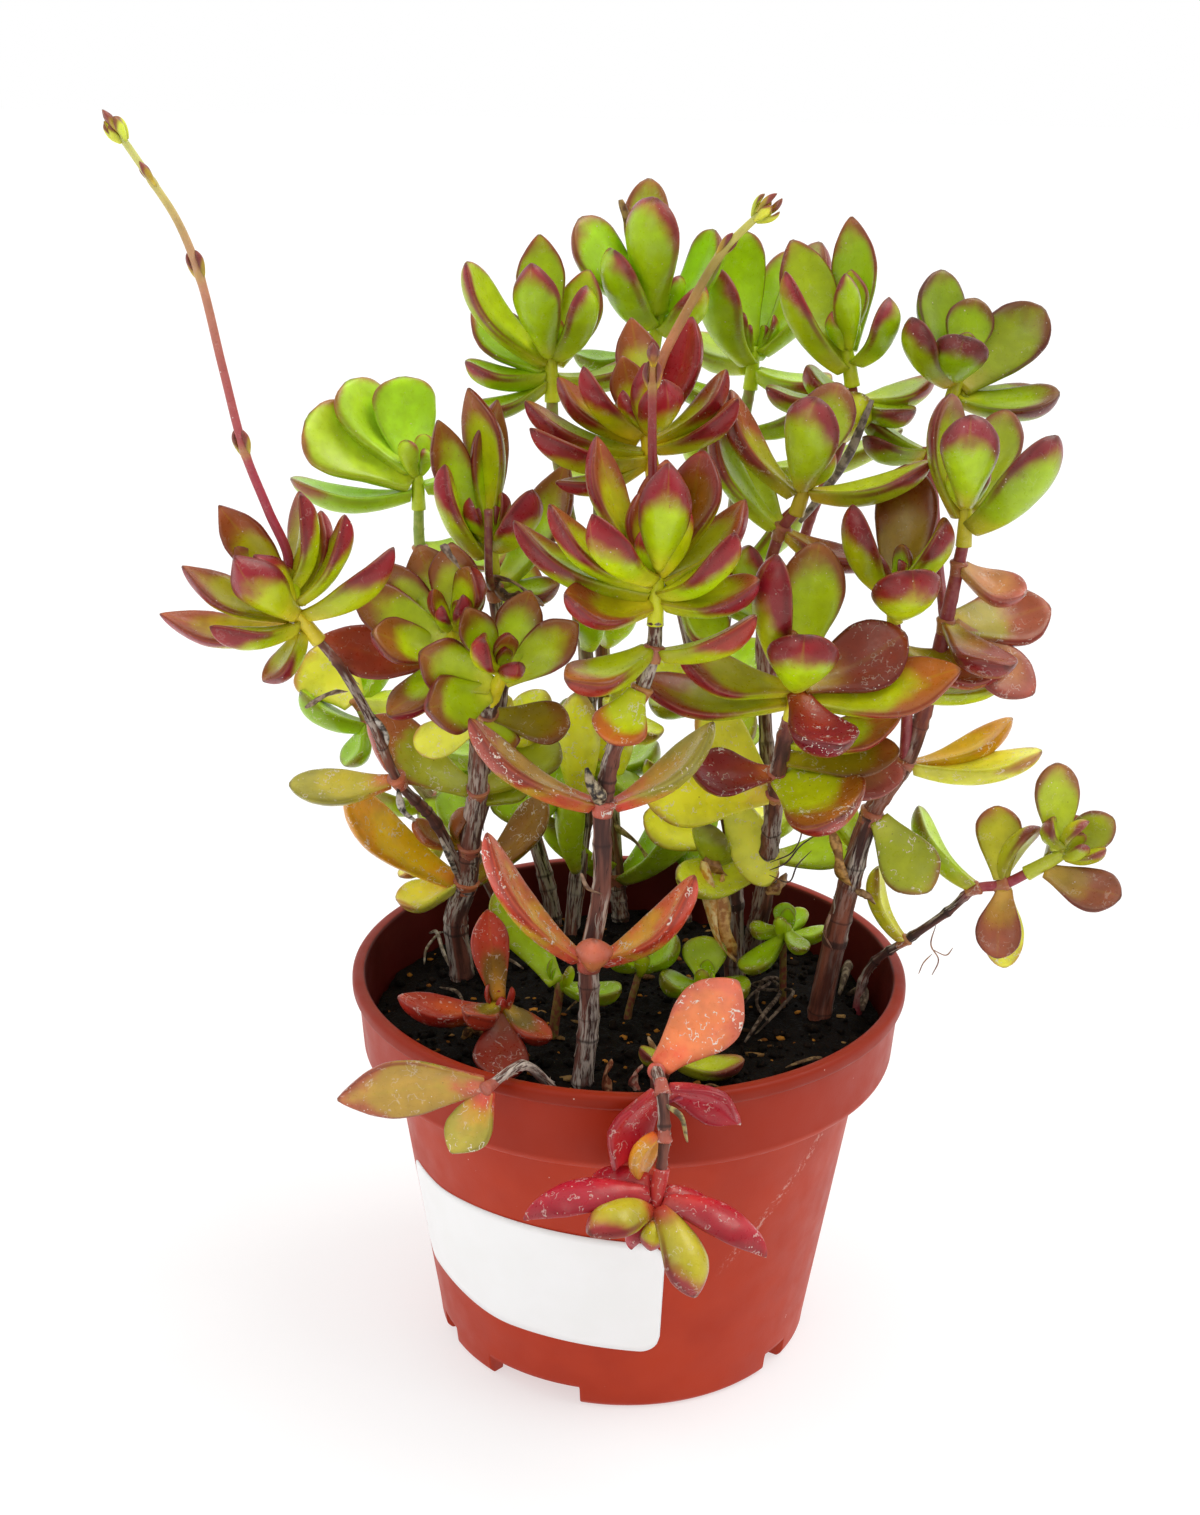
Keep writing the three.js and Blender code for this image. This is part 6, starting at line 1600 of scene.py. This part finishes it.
# Stretches that are shown thinner than the rest, by shoot and number.
THIN: dict[str, dict[int, float]] = {
    "shoot_front": {0: 0.86}, "shoot_left": {2: 0.85, 3: 0.85, 4: 0.66},
    "shoot_right_front": {1: 0.85, 2: 0.8}, "shoot_right": {1: 0.85, 2: 0.8},
}


@dataclass
class Stem:
    """One stretch of stem: a tube along its joints, with swollen rings where leaves grew and grooved bark."""

    joints: list[Joint]
    wood: Wood
    thin: float = 1.0
    sides: int = 18
    ring_step: float = 0.8
    slimness: float = 0.76
    bell: float = 0.26
    bell_width: float = 0.55
    scar_every: float = 9
    grooves: tuple[float, float] = (0.045, 0.03)
    grain_stretch: float = 0.16
    fibre_every: float = 5
    fibre_tone: str = "#a89a8c"

    def add_to(self, weave: Weave, rng: Draws) -> None:
        """Adds the stretch to a mesh.

        The radius is that of the joints, blended evenly, plus a bell at each joint and old scar, plus
        grooves of the bark, sines of the angle whose phase wanders along the stem. slimness lets collars
        and bark stand out to the frame's own radius.

        Args:
            weave: The mesh to add to.
            rng: Draws the grooves and scars.
        """
        path = Line(self.joints)
        length = path.length()
        rings = max(int(length / self.ring_step), 6)
        shares = np.linspace(0, 1, rings)
        radii = path.radius(shares)
        woody = ease(radii, self.wood.starts, self.wood.whole)
        radii = radii * self.slimness * self.thin
        run = shares * length
        inner = np.arange(1, path.spans) / path.spans * length + rng.uniform(-0.5, 0.5, path.spans - 1)
        scars = np.append(inner, rng.uniform(0, length, max(int(length / self.scar_every), 1)))
        bells = np.exp(-((run[:, None] - scars[None]) / self.bell_width) ** 2).max(axis=1)
        angle = np.linspace(0, 2 * np.pi, self.sides, endpoint=False)[None]
        wander = 1.3 * np.sin(run[:, None] / 6 + rng.uniform(0, 6)) + rng.uniform(0, 6)
        wide, fine = self.grooves
        grooves = wide * np.sin(5 * angle + wander) + fine * np.sin(8 * angle - 1.7 * wander)
        grooves = grooves * woody[:, None]
        thick = radii[:, None] * (1 + grooves) + (self.bell * bells * (0.3 + 0.7 * woody))[:, None]
        points, turn = tube(path, shares, thick, self.sides)
        down = (run * self.grain_stretch)[:, None] + rng.uniform(0, 50)
        grain = turned_section(radii[:, None], down, turn[None])
        flush = np.stack(np.broadcast_arrays(woody[:, None], (bells * woody)[:, None],
                                             np.full((1, self.sides), self.wood.bare)), axis=-1)
        weave.add(points, BARK, place=grain, flush=flush, flesh=linear(self.wood.young),
                  blush=linear(self.wood.flecked))
        self.add_fibres(weave, path, radii, woody, rng)

    def add_fibres(self, weave: Weave, path: Path, radii: Array, woody: Array,
                   rng: Draws) -> None:
        """Adds loose bark fibres: thin threads that lie along old wood and lift off it at their ends."""
        along_stem = np.linspace(0, 1, len(woody))
        count = int(path.length() / self.fibre_every * woody.mean())
        for _ in range(count):
            share = rng.uniform(0.03, 0.92)
            if np.interp(share, along_stem, woody) < 0.5:
                continue
            span = rng.uniform(1.5, 5) / path.length()
            shares = np.linspace(share, min(share + span, 1), 6)
            along = path.tangents(shares)
            out = unit(np.cross(along, rng.normal(size=3)))
            radius = np.interp(shares, along_stem, radii)[:, None]
            lift = 0.25 * np.linspace(-1, 1, 6)[:, None] ** 4 + 0.08
            swing = np.cross(along, out) * (0.5 * np.sin(np.linspace(0, 3, 6) + rng.uniform(0, 6)))[:, None]
            line = path.points(shares) + unit(out + 0.6 * swing) * (radius + lift)
            Strand(line, 0.09, 0.05, self.fibre_tone).add_to(weave)


@dataclass
class Shred:
    """The shape of a scrap: a flat lens carried along its points, twisted, and narrow at both ends."""

    scrap: Scrap
    rings: int = 22
    sides: int = 14

    def add_to(self, weave: Weave, rng: Draws, finish: int) -> None:
        """Adds the scrap to a mesh.

        The radius at the angle a is 1 / sqrt((cos a / w)^2 + (sin a / t)^2) for half the width and
        thickness, times the root of a sine along the way and small waves. a turns by the twist from end to
        end.
        """
        scrap = self.scrap
        path = Path(np.array(scrap.points, float))
        shares = np.linspace(0, 1, self.rings)
        outline = np.sqrt(np.sin(np.pi * (0.05 + 0.9 * shares)))[:, None]
        spin = np.radians(rng.uniform(0, 360) + scrap.twist * shares)[:, None]
        angle = np.linspace(0, 2 * np.pi, self.sides, endpoint=False)[None] - spin
        wide, deep = scrap.width / 2, scrap.thickness / 2
        radii = outline / np.sqrt((np.cos(angle) / wide) ** 2 + (np.sin(angle) / deep) ** 2)
        radii = radii * (1 + 0.12 * np.sin(9 * shares[:, None] + 3 * np.cos(angle) + rng.uniform(0, 6)))
        points, _ = tube(path, shares, radii, self.sides)
        flush = np.array([1.0 if finish == PEAT else 0.0, 0.0, 0.0])
        weave.add(points, finish, flesh=linear(scrap.tone), blush=linear(scrap.flecked), flush=flush)


@dataclass
class Strand:
    """A thin root, hair or fibre: a fine tube through a few points."""

    points: Array
    start_radius: float
    end_radius: float
    tone: str
    sides: int = 5

    def add_to(self, weave: Weave) -> None:
        """Adds the strand to a mesh: a tube whose radius goes evenly from its start to its end."""
        rings = 3 * len(self.points)
        radii = np.linspace(self.start_radius, self.end_radius, rings)[:, None]
        points, _ = tube(Path(self.points), np.linspace(0, 1, rings), radii, self.sides)
        weave.add(points, BARK, flesh=linear(self.tone), blush=linear(self.tone))


@dataclass
class Foliage:
    """Adds leaves, collars and heart buds to a mesh."""

    blades: Blades
    form: LeafForm = field(default_factory=LeafForm)
    small: LeafForm = field(default_factory=lambda: LeafForm(rings=16, half_round=8))
    small_length: float = 11.0
    lift: Place = (1.27, 1.29, 0.4)
    lift_tip: Place = (1.16, 0.94, 0.7)
    bud_depth: float = 1.8
    bud_offset: float = 0.45
    collar: tuple[float, ...] = (-1.9, -0.8, 0.3, 1.1)
    collar_tones: tuple[str, str] = ("#c2604a", "#a5574a")

    def colours(self, look: Look, rng: Draws) -> dict[str, Array]:
        """Gives a leaf's own facts: its look, each colour a little lighter, darker, redder or greener."""
        finish = look.value
        shift = rng.normal(0, 1, 3) * np.array([0.06, 0.05, 0.06])
        light = 1 + rng.normal(0, 0.06)
        lifts = {name: self.lift_tip if name == "blush" else self.lift for name in Weave.COLOURS}
        tones = {name: np.clip(linear(getattr(finish, name)) * lift * light * (1 + shift), 0, 0.9)
                 for name, lift in lifts.items()}
        reach = finish.reach + rng.normal(0, 0.04)
        return {**tones, "flush": np.array([reach, finish.inside, finish.edge]),
                "quirk": np.array([finish.specks, finish.painted_glints, finish.patchy])}

    def put(self, weave: Weave, form: LeafForm, blade: Blade, face: Array, side: Array,
            rng: Draws) -> None:
        """Puts a leaf in place into a mesh."""
        points, place = form.points(blade, face, side, rng)
        weave.add(points, LEAF, place=place, **self.colours(blade.look, rng))

    def add_leaves(self, weave: Weave, node: str, rng: Draws) -> None:
        """Adds the leaves of a node, some of them turned further on their own length."""
        for place, number in enumerate(self.blades.of(node)):
            blade = self.blades.blades[number]
            along = unit(blade.tip - blade.root)[None]
            more = np.array([FACING.get(node, {}).get(place, 0.0)])
            face, side = (turned(way[None], along, more)[0]
                          for way in (self.blades.face[number], self.blades.side[number]))
            form = self.small if blade.length < self.small_length else self.form
            self.put(weave, form, blade, face, side, rng)

    def add_filler(self, weave: Weave, filler: Filler, joints: list[Joint],
                   rng: Draws) -> None:
        """Adds a leaf between the frame's own: it springs from the stem's side that faces its tip."""
        path = Line(joints)
        share = np.array([filler.share])
        middle, axis = path.points(share)[0], path.tangents(share)[0]
        tip = np.array(filler.tip)
        direction = unit(tip - middle)
        outward = unit(direction - axis * (direction @ axis))
        root = middle + outward * Blades.ROOT_REACH * Stem.slimness * float(path.radius(filler.share))
        length = float(np.linalg.norm(tip - root))
        size = Leaf(0, 0, length, filler.width, None, filler.twist)
        thickness = Blades.BASE_THICKNESS + Blades.THICKNESS_RATE * filler.width
        blade = Blade("", root, tip, axis, outward, thickness, length, size, filler.look)
        along = unit(tip - root)
        face = unit(axis - along * (axis @ along))
        face = turned(face[None], along[None], np.array([filler.twist]))[0]
        self.put(weave, self.form, blade, face, unit(np.cross(face, along)), rng)

    def add_collar(self, weave: Weave, middle: Array, axis: Array, radius: float, look: Look,
                   rng: Draws) -> None:
        """Adds the cup where a pair of leaves clasps the stem: a short tube, widest just under its rim."""
        shares = np.linspace(0, 1, 10)
        flare = np.interp(shares, [0, 0.5, 0.85, 1], [0.0, 0.22, 0.6, 0.2])
        line = middle + axis * np.array(self.collar)[:, None]
        points, _ = tube(Path(line), shares, (radius * Stem.slimness + flare)[:, None], Stem.sides)
        facts = self.colours(look, rng)
        upper, lower = self.collar_tones
        facts["flesh"] = 0.5 * facts["root"] + 0.5 * linear(upper)
        facts["root"] = linear(lower)
        weave.add(points, LEAF, place=np.array([0.12, 0.3, -1.0]), **facts)

    def add_buds(self, weave: Weave, top: Array, axis: Array, look: Look, rng: Draws,
                 pairs: tuple[Place, ...]) -> None:
        """Adds crossed pairs of young leaves that close a heart.

        Args:
            weave: The mesh to add to.
            top: Where the heart ends.
            axis: Direction of the stem there.
            look: The leaves' look.
            rng: Draws how the pairs are turned.
            pairs: Length, width and spread of each pair, from the outside in.
        """
        for pair, (length, width, spread) in enumerate(pairs):
            side = unit(np.cross(axis, rng.normal(size=3)))
            if pair:
                side = unit(np.cross(axis, side))
            for outward in (-side, side):
                direction = unit(axis + outward * spread)
                root = top - axis * self.bud_depth + outward * self.bud_offset
                blade = Blade("", root, root + direction * length, axis, outward, 0.9 + 0.2 * width, length,
                              Leaf(0, 0, length, width), look)
                face = unit(-outward + direction * (direction @ outward))
                self.put(weave, self.small, blade, face, unit(np.cross(face, direction)), rng)


@dataclass
class Plant:
    """The whole plant: shoots, rosettes, stalks and sprouts, each a piece that stands for its node."""

    finishes: Finishes
    blades: Blades = field(default_factory=Blades)
    CORE_RADIUS: float = 2.0
    CORE_TIP: float = 1.3
    SHOWN_FOOT: float = 1.45
    SHOWN_TIP: float = 1.2
    STALK_SLIMNESS: float = 0.74
    OVER_HEART: float = 1.0
    RISE_PER_LEAF: float = 0.45
    FIRST_ROOT: float = 2.2
    LAST_ROOT: float = 0.8
    SWELL_WIDTH: float = 0.9
    SWELL_TONE: str = "#b9a050"
    HEART: tuple[Place, ...] = ((8.0, 4.2, 0.34), (5.5, 3.0, 0.2))
    STALK_HEART: tuple[Place, ...] = ((14.0, 6.5, 0.32), (9.0, 4.5, 0.3))
    BRACTS: tuple[Place, ...] = ((4.6, 1.2, 0.04),)
    STALK_BUD: tuple[Place, ...] = ((4.4, 1.5, 0.36), (4.0, 1.6, 0.16), (3.4, 1.5, 0.06))
    SPROUT_HEART: tuple[Place, ...] = ((6.0, 2.8, 0.3), (4.2, 2.2, 0.2))

    def __post_init__(self) -> None:
        """Gets what adds the leaves."""
        self.foliage = Foliage(self.blades)

    def reach(self, leaves: tuple[Leaf, ...]) -> float:
        """Gives how far a rosette's core reaches past its heart."""
        return self.OVER_HEART + self.RISE_PER_LEAF * len(leaves)

    @staticmethod
    def rooted(joints: list[Joint]) -> list[Joint]:
        """Gives the stretch with the straight part that stands in the soil."""
        x, y, _ = joints[0].place
        return [Joint((x, y, SOIL_TOP - ROOT_DEPTH + GAP), joints[0].radius), *joints]

    def add_stretch(self, node: str, joints: list[Joint], look: Look) -> None:
        """Sets out a stretch's rods and the leaves of its joints, round the path's directions there."""
        self.blades.add_rods(node, joints)
        for joint, axis in zip(joints, Line(joints).axes()):
            place = np.array(joint.place, float)
            for one in joint.leaves:
                self.blades.add(node, place, place, axis, joint.radius, one, look)

    def set_out(self) -> None:
        """Sets out every stem and leaf in the frame's own order, then bends the leaves clear."""
        self.stretches: dict[str, list[list[Joint]]] = {}
        for node, stretches in SHOOTS.items():
            self.stretches[node] = [self.rooted(stretches[0]), *stretches[1:]]
            for joints in self.stretches[node]:
                self.add_stretch(node, joints, Look.SPROUT if node != "shoot_back_left" else Look.FRESH)
        self.tops: dict[str, Array] = {}
        for node, rosette in ROSETTES.items():
            self.set_out_rosette(node, rosette)
        for node, stalk in STALKS.items():
            start = Joint(tuple(self.tops[stalk.rosette]), stalk.joints[0].radius)
            self.stretches[node] = [[start, *stalk.joints]]
            self.add_stretch(node, self.stretches[node][0], stalk.bract)
        for node, sprout in SPROUTS.items():
            self.set_out_sprout(node, sprout)
        self.blades.bend_clear()
        LOG.info("%d leaves set out", len(self.blades.blades))

    @staticmethod
    def core(rosette: RosetteLayout) -> tuple[Array, Array, Array]:
        """Gives the foot of a rosette's core, its heart, and the direction from one to the other."""
        foot = np.array(SHOOTS[rosette.shoot][rosette.stretch][-1].place, float)
        heart = np.array(rosette.heart, float)
        return foot, heart, unit(heart - foot)

    def set_out_rosette(self, node: str, rosette: RosetteLayout) -> None:
        """Sets out a rosette: its leaves climb the core in even steps from the outside in."""
        foot, heart, axis = self.core(rosette)
        height = float(np.linalg.norm(heart - foot)) + self.reach(rosette.leaves)
        step = (height - self.FIRST_ROOT - self.LAST_ROOT) / max(len(rosette.leaves) - 1, 1)
        self.tops[node] = heart + axis * (self.reach(rosette.leaves) + GAP)
        self.blades.rods.append((node, foot, heart, self.CORE_RADIUS))
        for number, one in enumerate(rosette.leaves):
            climbed = self.FIRST_ROOT + step * number
            radius = self.CORE_RADIUS + (self.CORE_TIP - self.CORE_RADIUS) * climbed / height
            self.blades.add(node, heart, foot + axis * climbed, axis, radius, one, rosette.look)

    def set_out_sprout(self, node: str, sprout: SproutLayout) -> None:
        """Sets out a sprout: a straight stem, with its leaves a little higher one after the other."""
        x, y, z = sprout.heart
        top = (x, y, z + self.reach(sprout.leaves))
        places = (sprout.foot, sprout.heart, top)
        joints = self.rooted([Joint(place, sprout.radius) for place in places])
        self.stretches[node] = [joints]
        self.blades.add_rods(node, joints)
        heart, axis = np.array(sprout.heart, float), np.array([0.0, 0.0, 1.0])
        for number, one in enumerate(sprout.leaves):
            root = heart + axis * self.RISE_PER_LEAF * number
            self.blades.add(node, heart, root, axis, sprout.radius, one, sprout.look)

    def make(self) -> None:
        """Builds every piece of the plant, each from its own seed."""
        kinds = ((SHOOTS, self.add_shoot), (ROSETTES, self.add_rosette), (STALKS, self.add_stalk),
                 (SPROUTS, self.add_sprout))
        for seed, (nodes, add) in enumerate(kinds, 1):
            for number, node in enumerate(nodes):
                weave = Weave()
                add(weave, node, np.random.default_rng(100 * seed + number))
                piece = weave.make(node + "_form", [self.finishes.leaf, self.finishes.bark])
                seat(piece, node.split("_")[0], node)

    def add_shoot(self, weave: Weave, node: str, rng: Draws) -> None:
        """Adds a shoot: its stretches, the collars of its leaf pairs, its leaves and its scraps."""
        for number, joints in enumerate(self.stretches[node]):
            Stem(joints, WOODS[node], THIN.get(node, {}).get(number, 1.0)).add_to(weave, rng)
            for joint, axis in zip(joints, Line(joints).axes()):
                if joint.leaves:
                    look = joint.leaves[0].look or Look.SPROUT
                    place = np.array(joint.place, float)
                    self.foliage.add_collar(weave, place, axis, joint.radius, look, rng)
        self.foliage.add_leaves(weave, node, rng)
        for row in FILLERS.get(node, ()):
            filler = Filler(*row)
            self.foliage.add_filler(weave, filler, self.stretches[node][filler.stretch], rng)
        for row in SCRAPS.get(node, ()):
            Shred(Scrap(*row)).add_to(weave, rng, BARK)

    def add_rosette(self, weave: Weave, node: str, rng: Draws) -> None:
        """Adds a rosette: its core, its leaves, and young leaves in its heart, long ones round a stalk."""
        rosette = ROSETTES[node]
        foot, heart, axis = self.core(rosette)
        top = heart + axis * self.reach(rosette.leaves)
        line = np.array([foot - axis * 1.2, foot + axis * 0.5, (foot + top) / 2, top - axis * 0.6])
        shares = np.linspace(0, 1, 14)
        radii = (np.linspace(self.SHOWN_FOOT, self.SHOWN_TIP, 14) * np.sqrt(1 - 0.8 * shares ** 6))[:, None]
        points, _ = tube(Path(line), shares, radii, 18)
        facts = self.foliage.colours(rosette.look, rng)
        facts["flesh"] = facts["root"]
        weave.add(points, LEAF, place=np.array([0.05, 0.3, -1.0]), **facts)
        self.foliage.add_leaves(weave, node, rng)
        if node in [stalk.rosette for stalk in STALKS.values()]:
            self.foliage.add_buds(weave, top - axis * 1.5, axis, rosette.look, rng, self.STALK_HEART)
        else:
            self.foliage.add_buds(weave, top, axis, rosette.look, rng, self.HEART)

    def add_stalk(self, weave: Weave, node: str, rng: Draws) -> None:
        """Adds a flower stalk: a tube whose colour changes on the way, its bracts, and a bud on top."""
        joints = self.stretches[node][0]
        path = Line(joints)
        rings = int(path.length() / Stem.ring_step)
        shares = np.linspace(0, 1, rings)
        nodes = np.array([number for number, joint in enumerate(joints) if joint.leaves]) / path.spans
        swell = np.exp(-((shares[:, None] - nodes[None]) * path.length() / self.SWELL_WIDTH) ** 2).max(axis=1)
        thick = (path.radius(shares) * self.STALK_SLIMNESS + 0.1 * swell)[:, None]
        points, _ = tube(path, shares, thick, 14)
        tones = np.array([linear(code) for code in STALKS[node].tones])
        places = np.linspace(0, 1, len(tones))
        colour = np.stack([np.interp(shares, places, tones[:, k]) for k in range(3)], axis=-1)
        pale = colour * (1 - 0.5 * swell[:, None]) + linear(self.SWELL_TONE) * 0.5 * swell[:, None]
        colour = np.broadcast_to(pale[:, None], (rings, 14, 3))
        weave.add(points, LEAF, place=np.array([0.5, 0.3, -1.0]), quirk=np.array([0.2, 0.1, 0.5]),
                  **{name: colour for name in Weave.COLOURS})
        for middle, axis in zip(path.points(nodes), path.tangents(nodes)):
            self.foliage.add_buds(weave, middle + axis * 1.2, axis, STALKS[node].bract, rng, self.BRACTS)
        end = np.array([1.0])
        self.foliage.add_buds(weave, path.points(end)[0], path.tangents(end)[0], STALKS[node].top, rng,
                              self.STALK_BUD)

    def add_sprout(self, weave: Weave, node: str, rng: Draws) -> None:
        """Adds a sprout: its stem, its leaves and a closed heart."""
        *below, heart, top = self.stretches[node][0]
        end = tuple(0.6 * a + 0.4 * b for a, b in zip(heart.place, top.place))
        Stem([*below, heart, Joint(end, heart.radius * 0.8)], SPROUT_WOOD).add_to(weave, rng)
        self.foliage.add_leaves(weave, node, rng)
        self.foliage.add_buds(weave, np.array(end), np.array([0.0, 0.0, 1.0]), SPROUTS[node].look, rng,
                              self.SPROUT_HEART)


# Studio

def posed(right: Array, up: Array, back: Array, place: Place) -> Matrix:
    """Gives the place and turn of a light or camera from the directions of its own X, Y and Z axes."""
    turn = np.eye(4)
    turn[:3, 0], turn[:3, 1], turn[:3, 2], turn[:3, 3] = right, up, back, place
    return Matrix(turn.tolist())


def facing(place: Place, aim: Place) -> Matrix:
    """Gives the place and turn of a light that faces its aim: its own Z axis runs back from the aim."""
    back = unit(np.array(place) - np.array(aim))
    right = unit(np.cross([0.0, 0.0, 1.0], back))
    return posed(right, np.cross(back, right), back, place)


@dataclass
class Studio:
    """White room: pale floor, soft lights and the camera at the photograph's place."""

    camera_place: Place = (0.0, -0.3968, 0.2675)
    yaw: float = -0.89
    pitch: float = 20.78
    roll: float = 0.9
    focal: float = 2300.0
    image_height: float = 1515.0
    sensor: float = 36.0
    front_light: float = 0.41
    back_light: float = 1.0
    sun: float = 1.15
    sun_from: Place = (0.5, 0.0, 0.95)
    sun_width: float = 40.0
    fill: float = 1.2
    fill_side: float = 0.5
    fill_from: Place = (-0.5, -0.7, 0.7)
    fill_aim: Place = (0.0, 0.0, 0.12)
    room_lean: float = 0.7
    room_blend: float = 0.7
    floor_reach: float = 2.5
    floor_lines: int = 41
    floor_sink: float = 0.0002
    nearest: float = 0.01

    def make_camera(self) -> None:
        """Makes the camera: it looks along the yaw and pitch, then rolls about that line."""
        yaw, pitch, roll = (math.radians(angle) for angle in (self.yaw, self.pitch, self.roll))
        ahead = np.array([math.sin(yaw) * math.cos(pitch), math.cos(yaw) * math.cos(pitch), -math.sin(pitch)])
        level = np.array([math.cos(yaw), -math.sin(yaw), 0.0])
        above = np.cross(level, ahead)
        right = level * math.cos(roll) + above * math.sin(roll)
        up = above * math.cos(roll) - level * math.sin(roll)
        lens = bpy.data.cameras.new("camera")
        lens.sensor_width = self.sensor
        lens.lens = self.focal * self.sensor / self.image_height
        lens.clip_start = self.nearest
        camera = shown("camera", lens)
        camera.matrix_world = posed(right, up, -ahead, self.camera_place)
        bpy.context.scene.camera = camera

    def make_floor(self) -> None:
        """Makes the floor: a wide sheet that sinks very slightly away from the pot."""
        span = np.linspace(-self.floor_reach, self.floor_reach, self.floor_lines)
        x, y = np.meshgrid(span, span, indexing="ij")
        z = -self.floor_sink * np.hypot(x, y)
        number = np.arange(x.size).reshape(x.shape)
        corners = (number[:-1, :-1], number[1:, :-1], number[1:, 1:], number[:-1, 1:])
        quads = np.stack(corners, axis=-1).reshape(-1, 4)
        mesh = bpy.data.meshes.new("floor")
        mesh.from_pydata(np.stack([x, y, z], axis=-1).reshape(-1, 3).tolist(), [], quads.tolist())
        mesh.materials.append(FloorPaint().make())
        shown("floor", mesh)

    def make_world(self) -> None:
        """Makes the white room: seen as plain white, and dimmer on the camera's side as a source of light."""
        world = bpy.data.worlds.new("white_room")
        world.use_nodes = True
        nodes = Nodes(world.node_tree)
        _, y, z = nodes.split(nodes.node("TexCoord", "Generated", {}))
        lean = nodes.maths("MULTIPLY_ADD", z, self.room_lean, y)
        glow = nodes.step(lean, -self.room_blend, self.room_blend, min=self.front_light, max=self.back_light)
        room = nodes.tree.nodes["Background"]
        nodes.feed(room.inputs["Color"], "#ffffff")
        seen = nodes.maths("MAXIMUM", glow, nodes.node("LightPath", "Is Camera Ray", {}))
        nodes.feed(room.inputs["Strength"], seen)
        bpy.context.scene.world = world

    def make_lights(self) -> None:
        """Makes the soft light from the right and above, and a small square fill from the left."""
        view = bpy.context.scene.view_settings
        view.view_transform = "Standard"
        view.look = "None"
        sun = bpy.data.lights.new("window", "SUN")
        sun.energy = self.sun
        sun.angle = math.radians(self.sun_width)
        shown("window", sun).matrix_world = facing(self.sun_from, (0.0, 0.0, 0.0))
        fill = bpy.data.lights.new("fill_light", "AREA")
        fill.shape = "SQUARE"
        fill.size = self.fill_side
        fill.energy = self.fill
        shown("fill_light", fill).matrix_world = facing(self.fill_from, self.fill_aim)

    def make(self) -> None:
        """Sets up the studio."""
        self.make_camera()
        self.make_floor()
        self.make_world()
        self.make_lights()


def main() -> None:
    """Builds the studio and every piece of the part."""
    logging.basicConfig(level=logging.INFO, format="%(message)s")
    Studio().make()
    finishes = Finishes()
    pot = Pot()
    pot.make(finishes)
    Label().make(pot, finishes)
    Soil().make(finishes)
    plant = Plant(finishes)
    plant.set_out()
    plant.make()


if __name__ == "__main__":
    main()
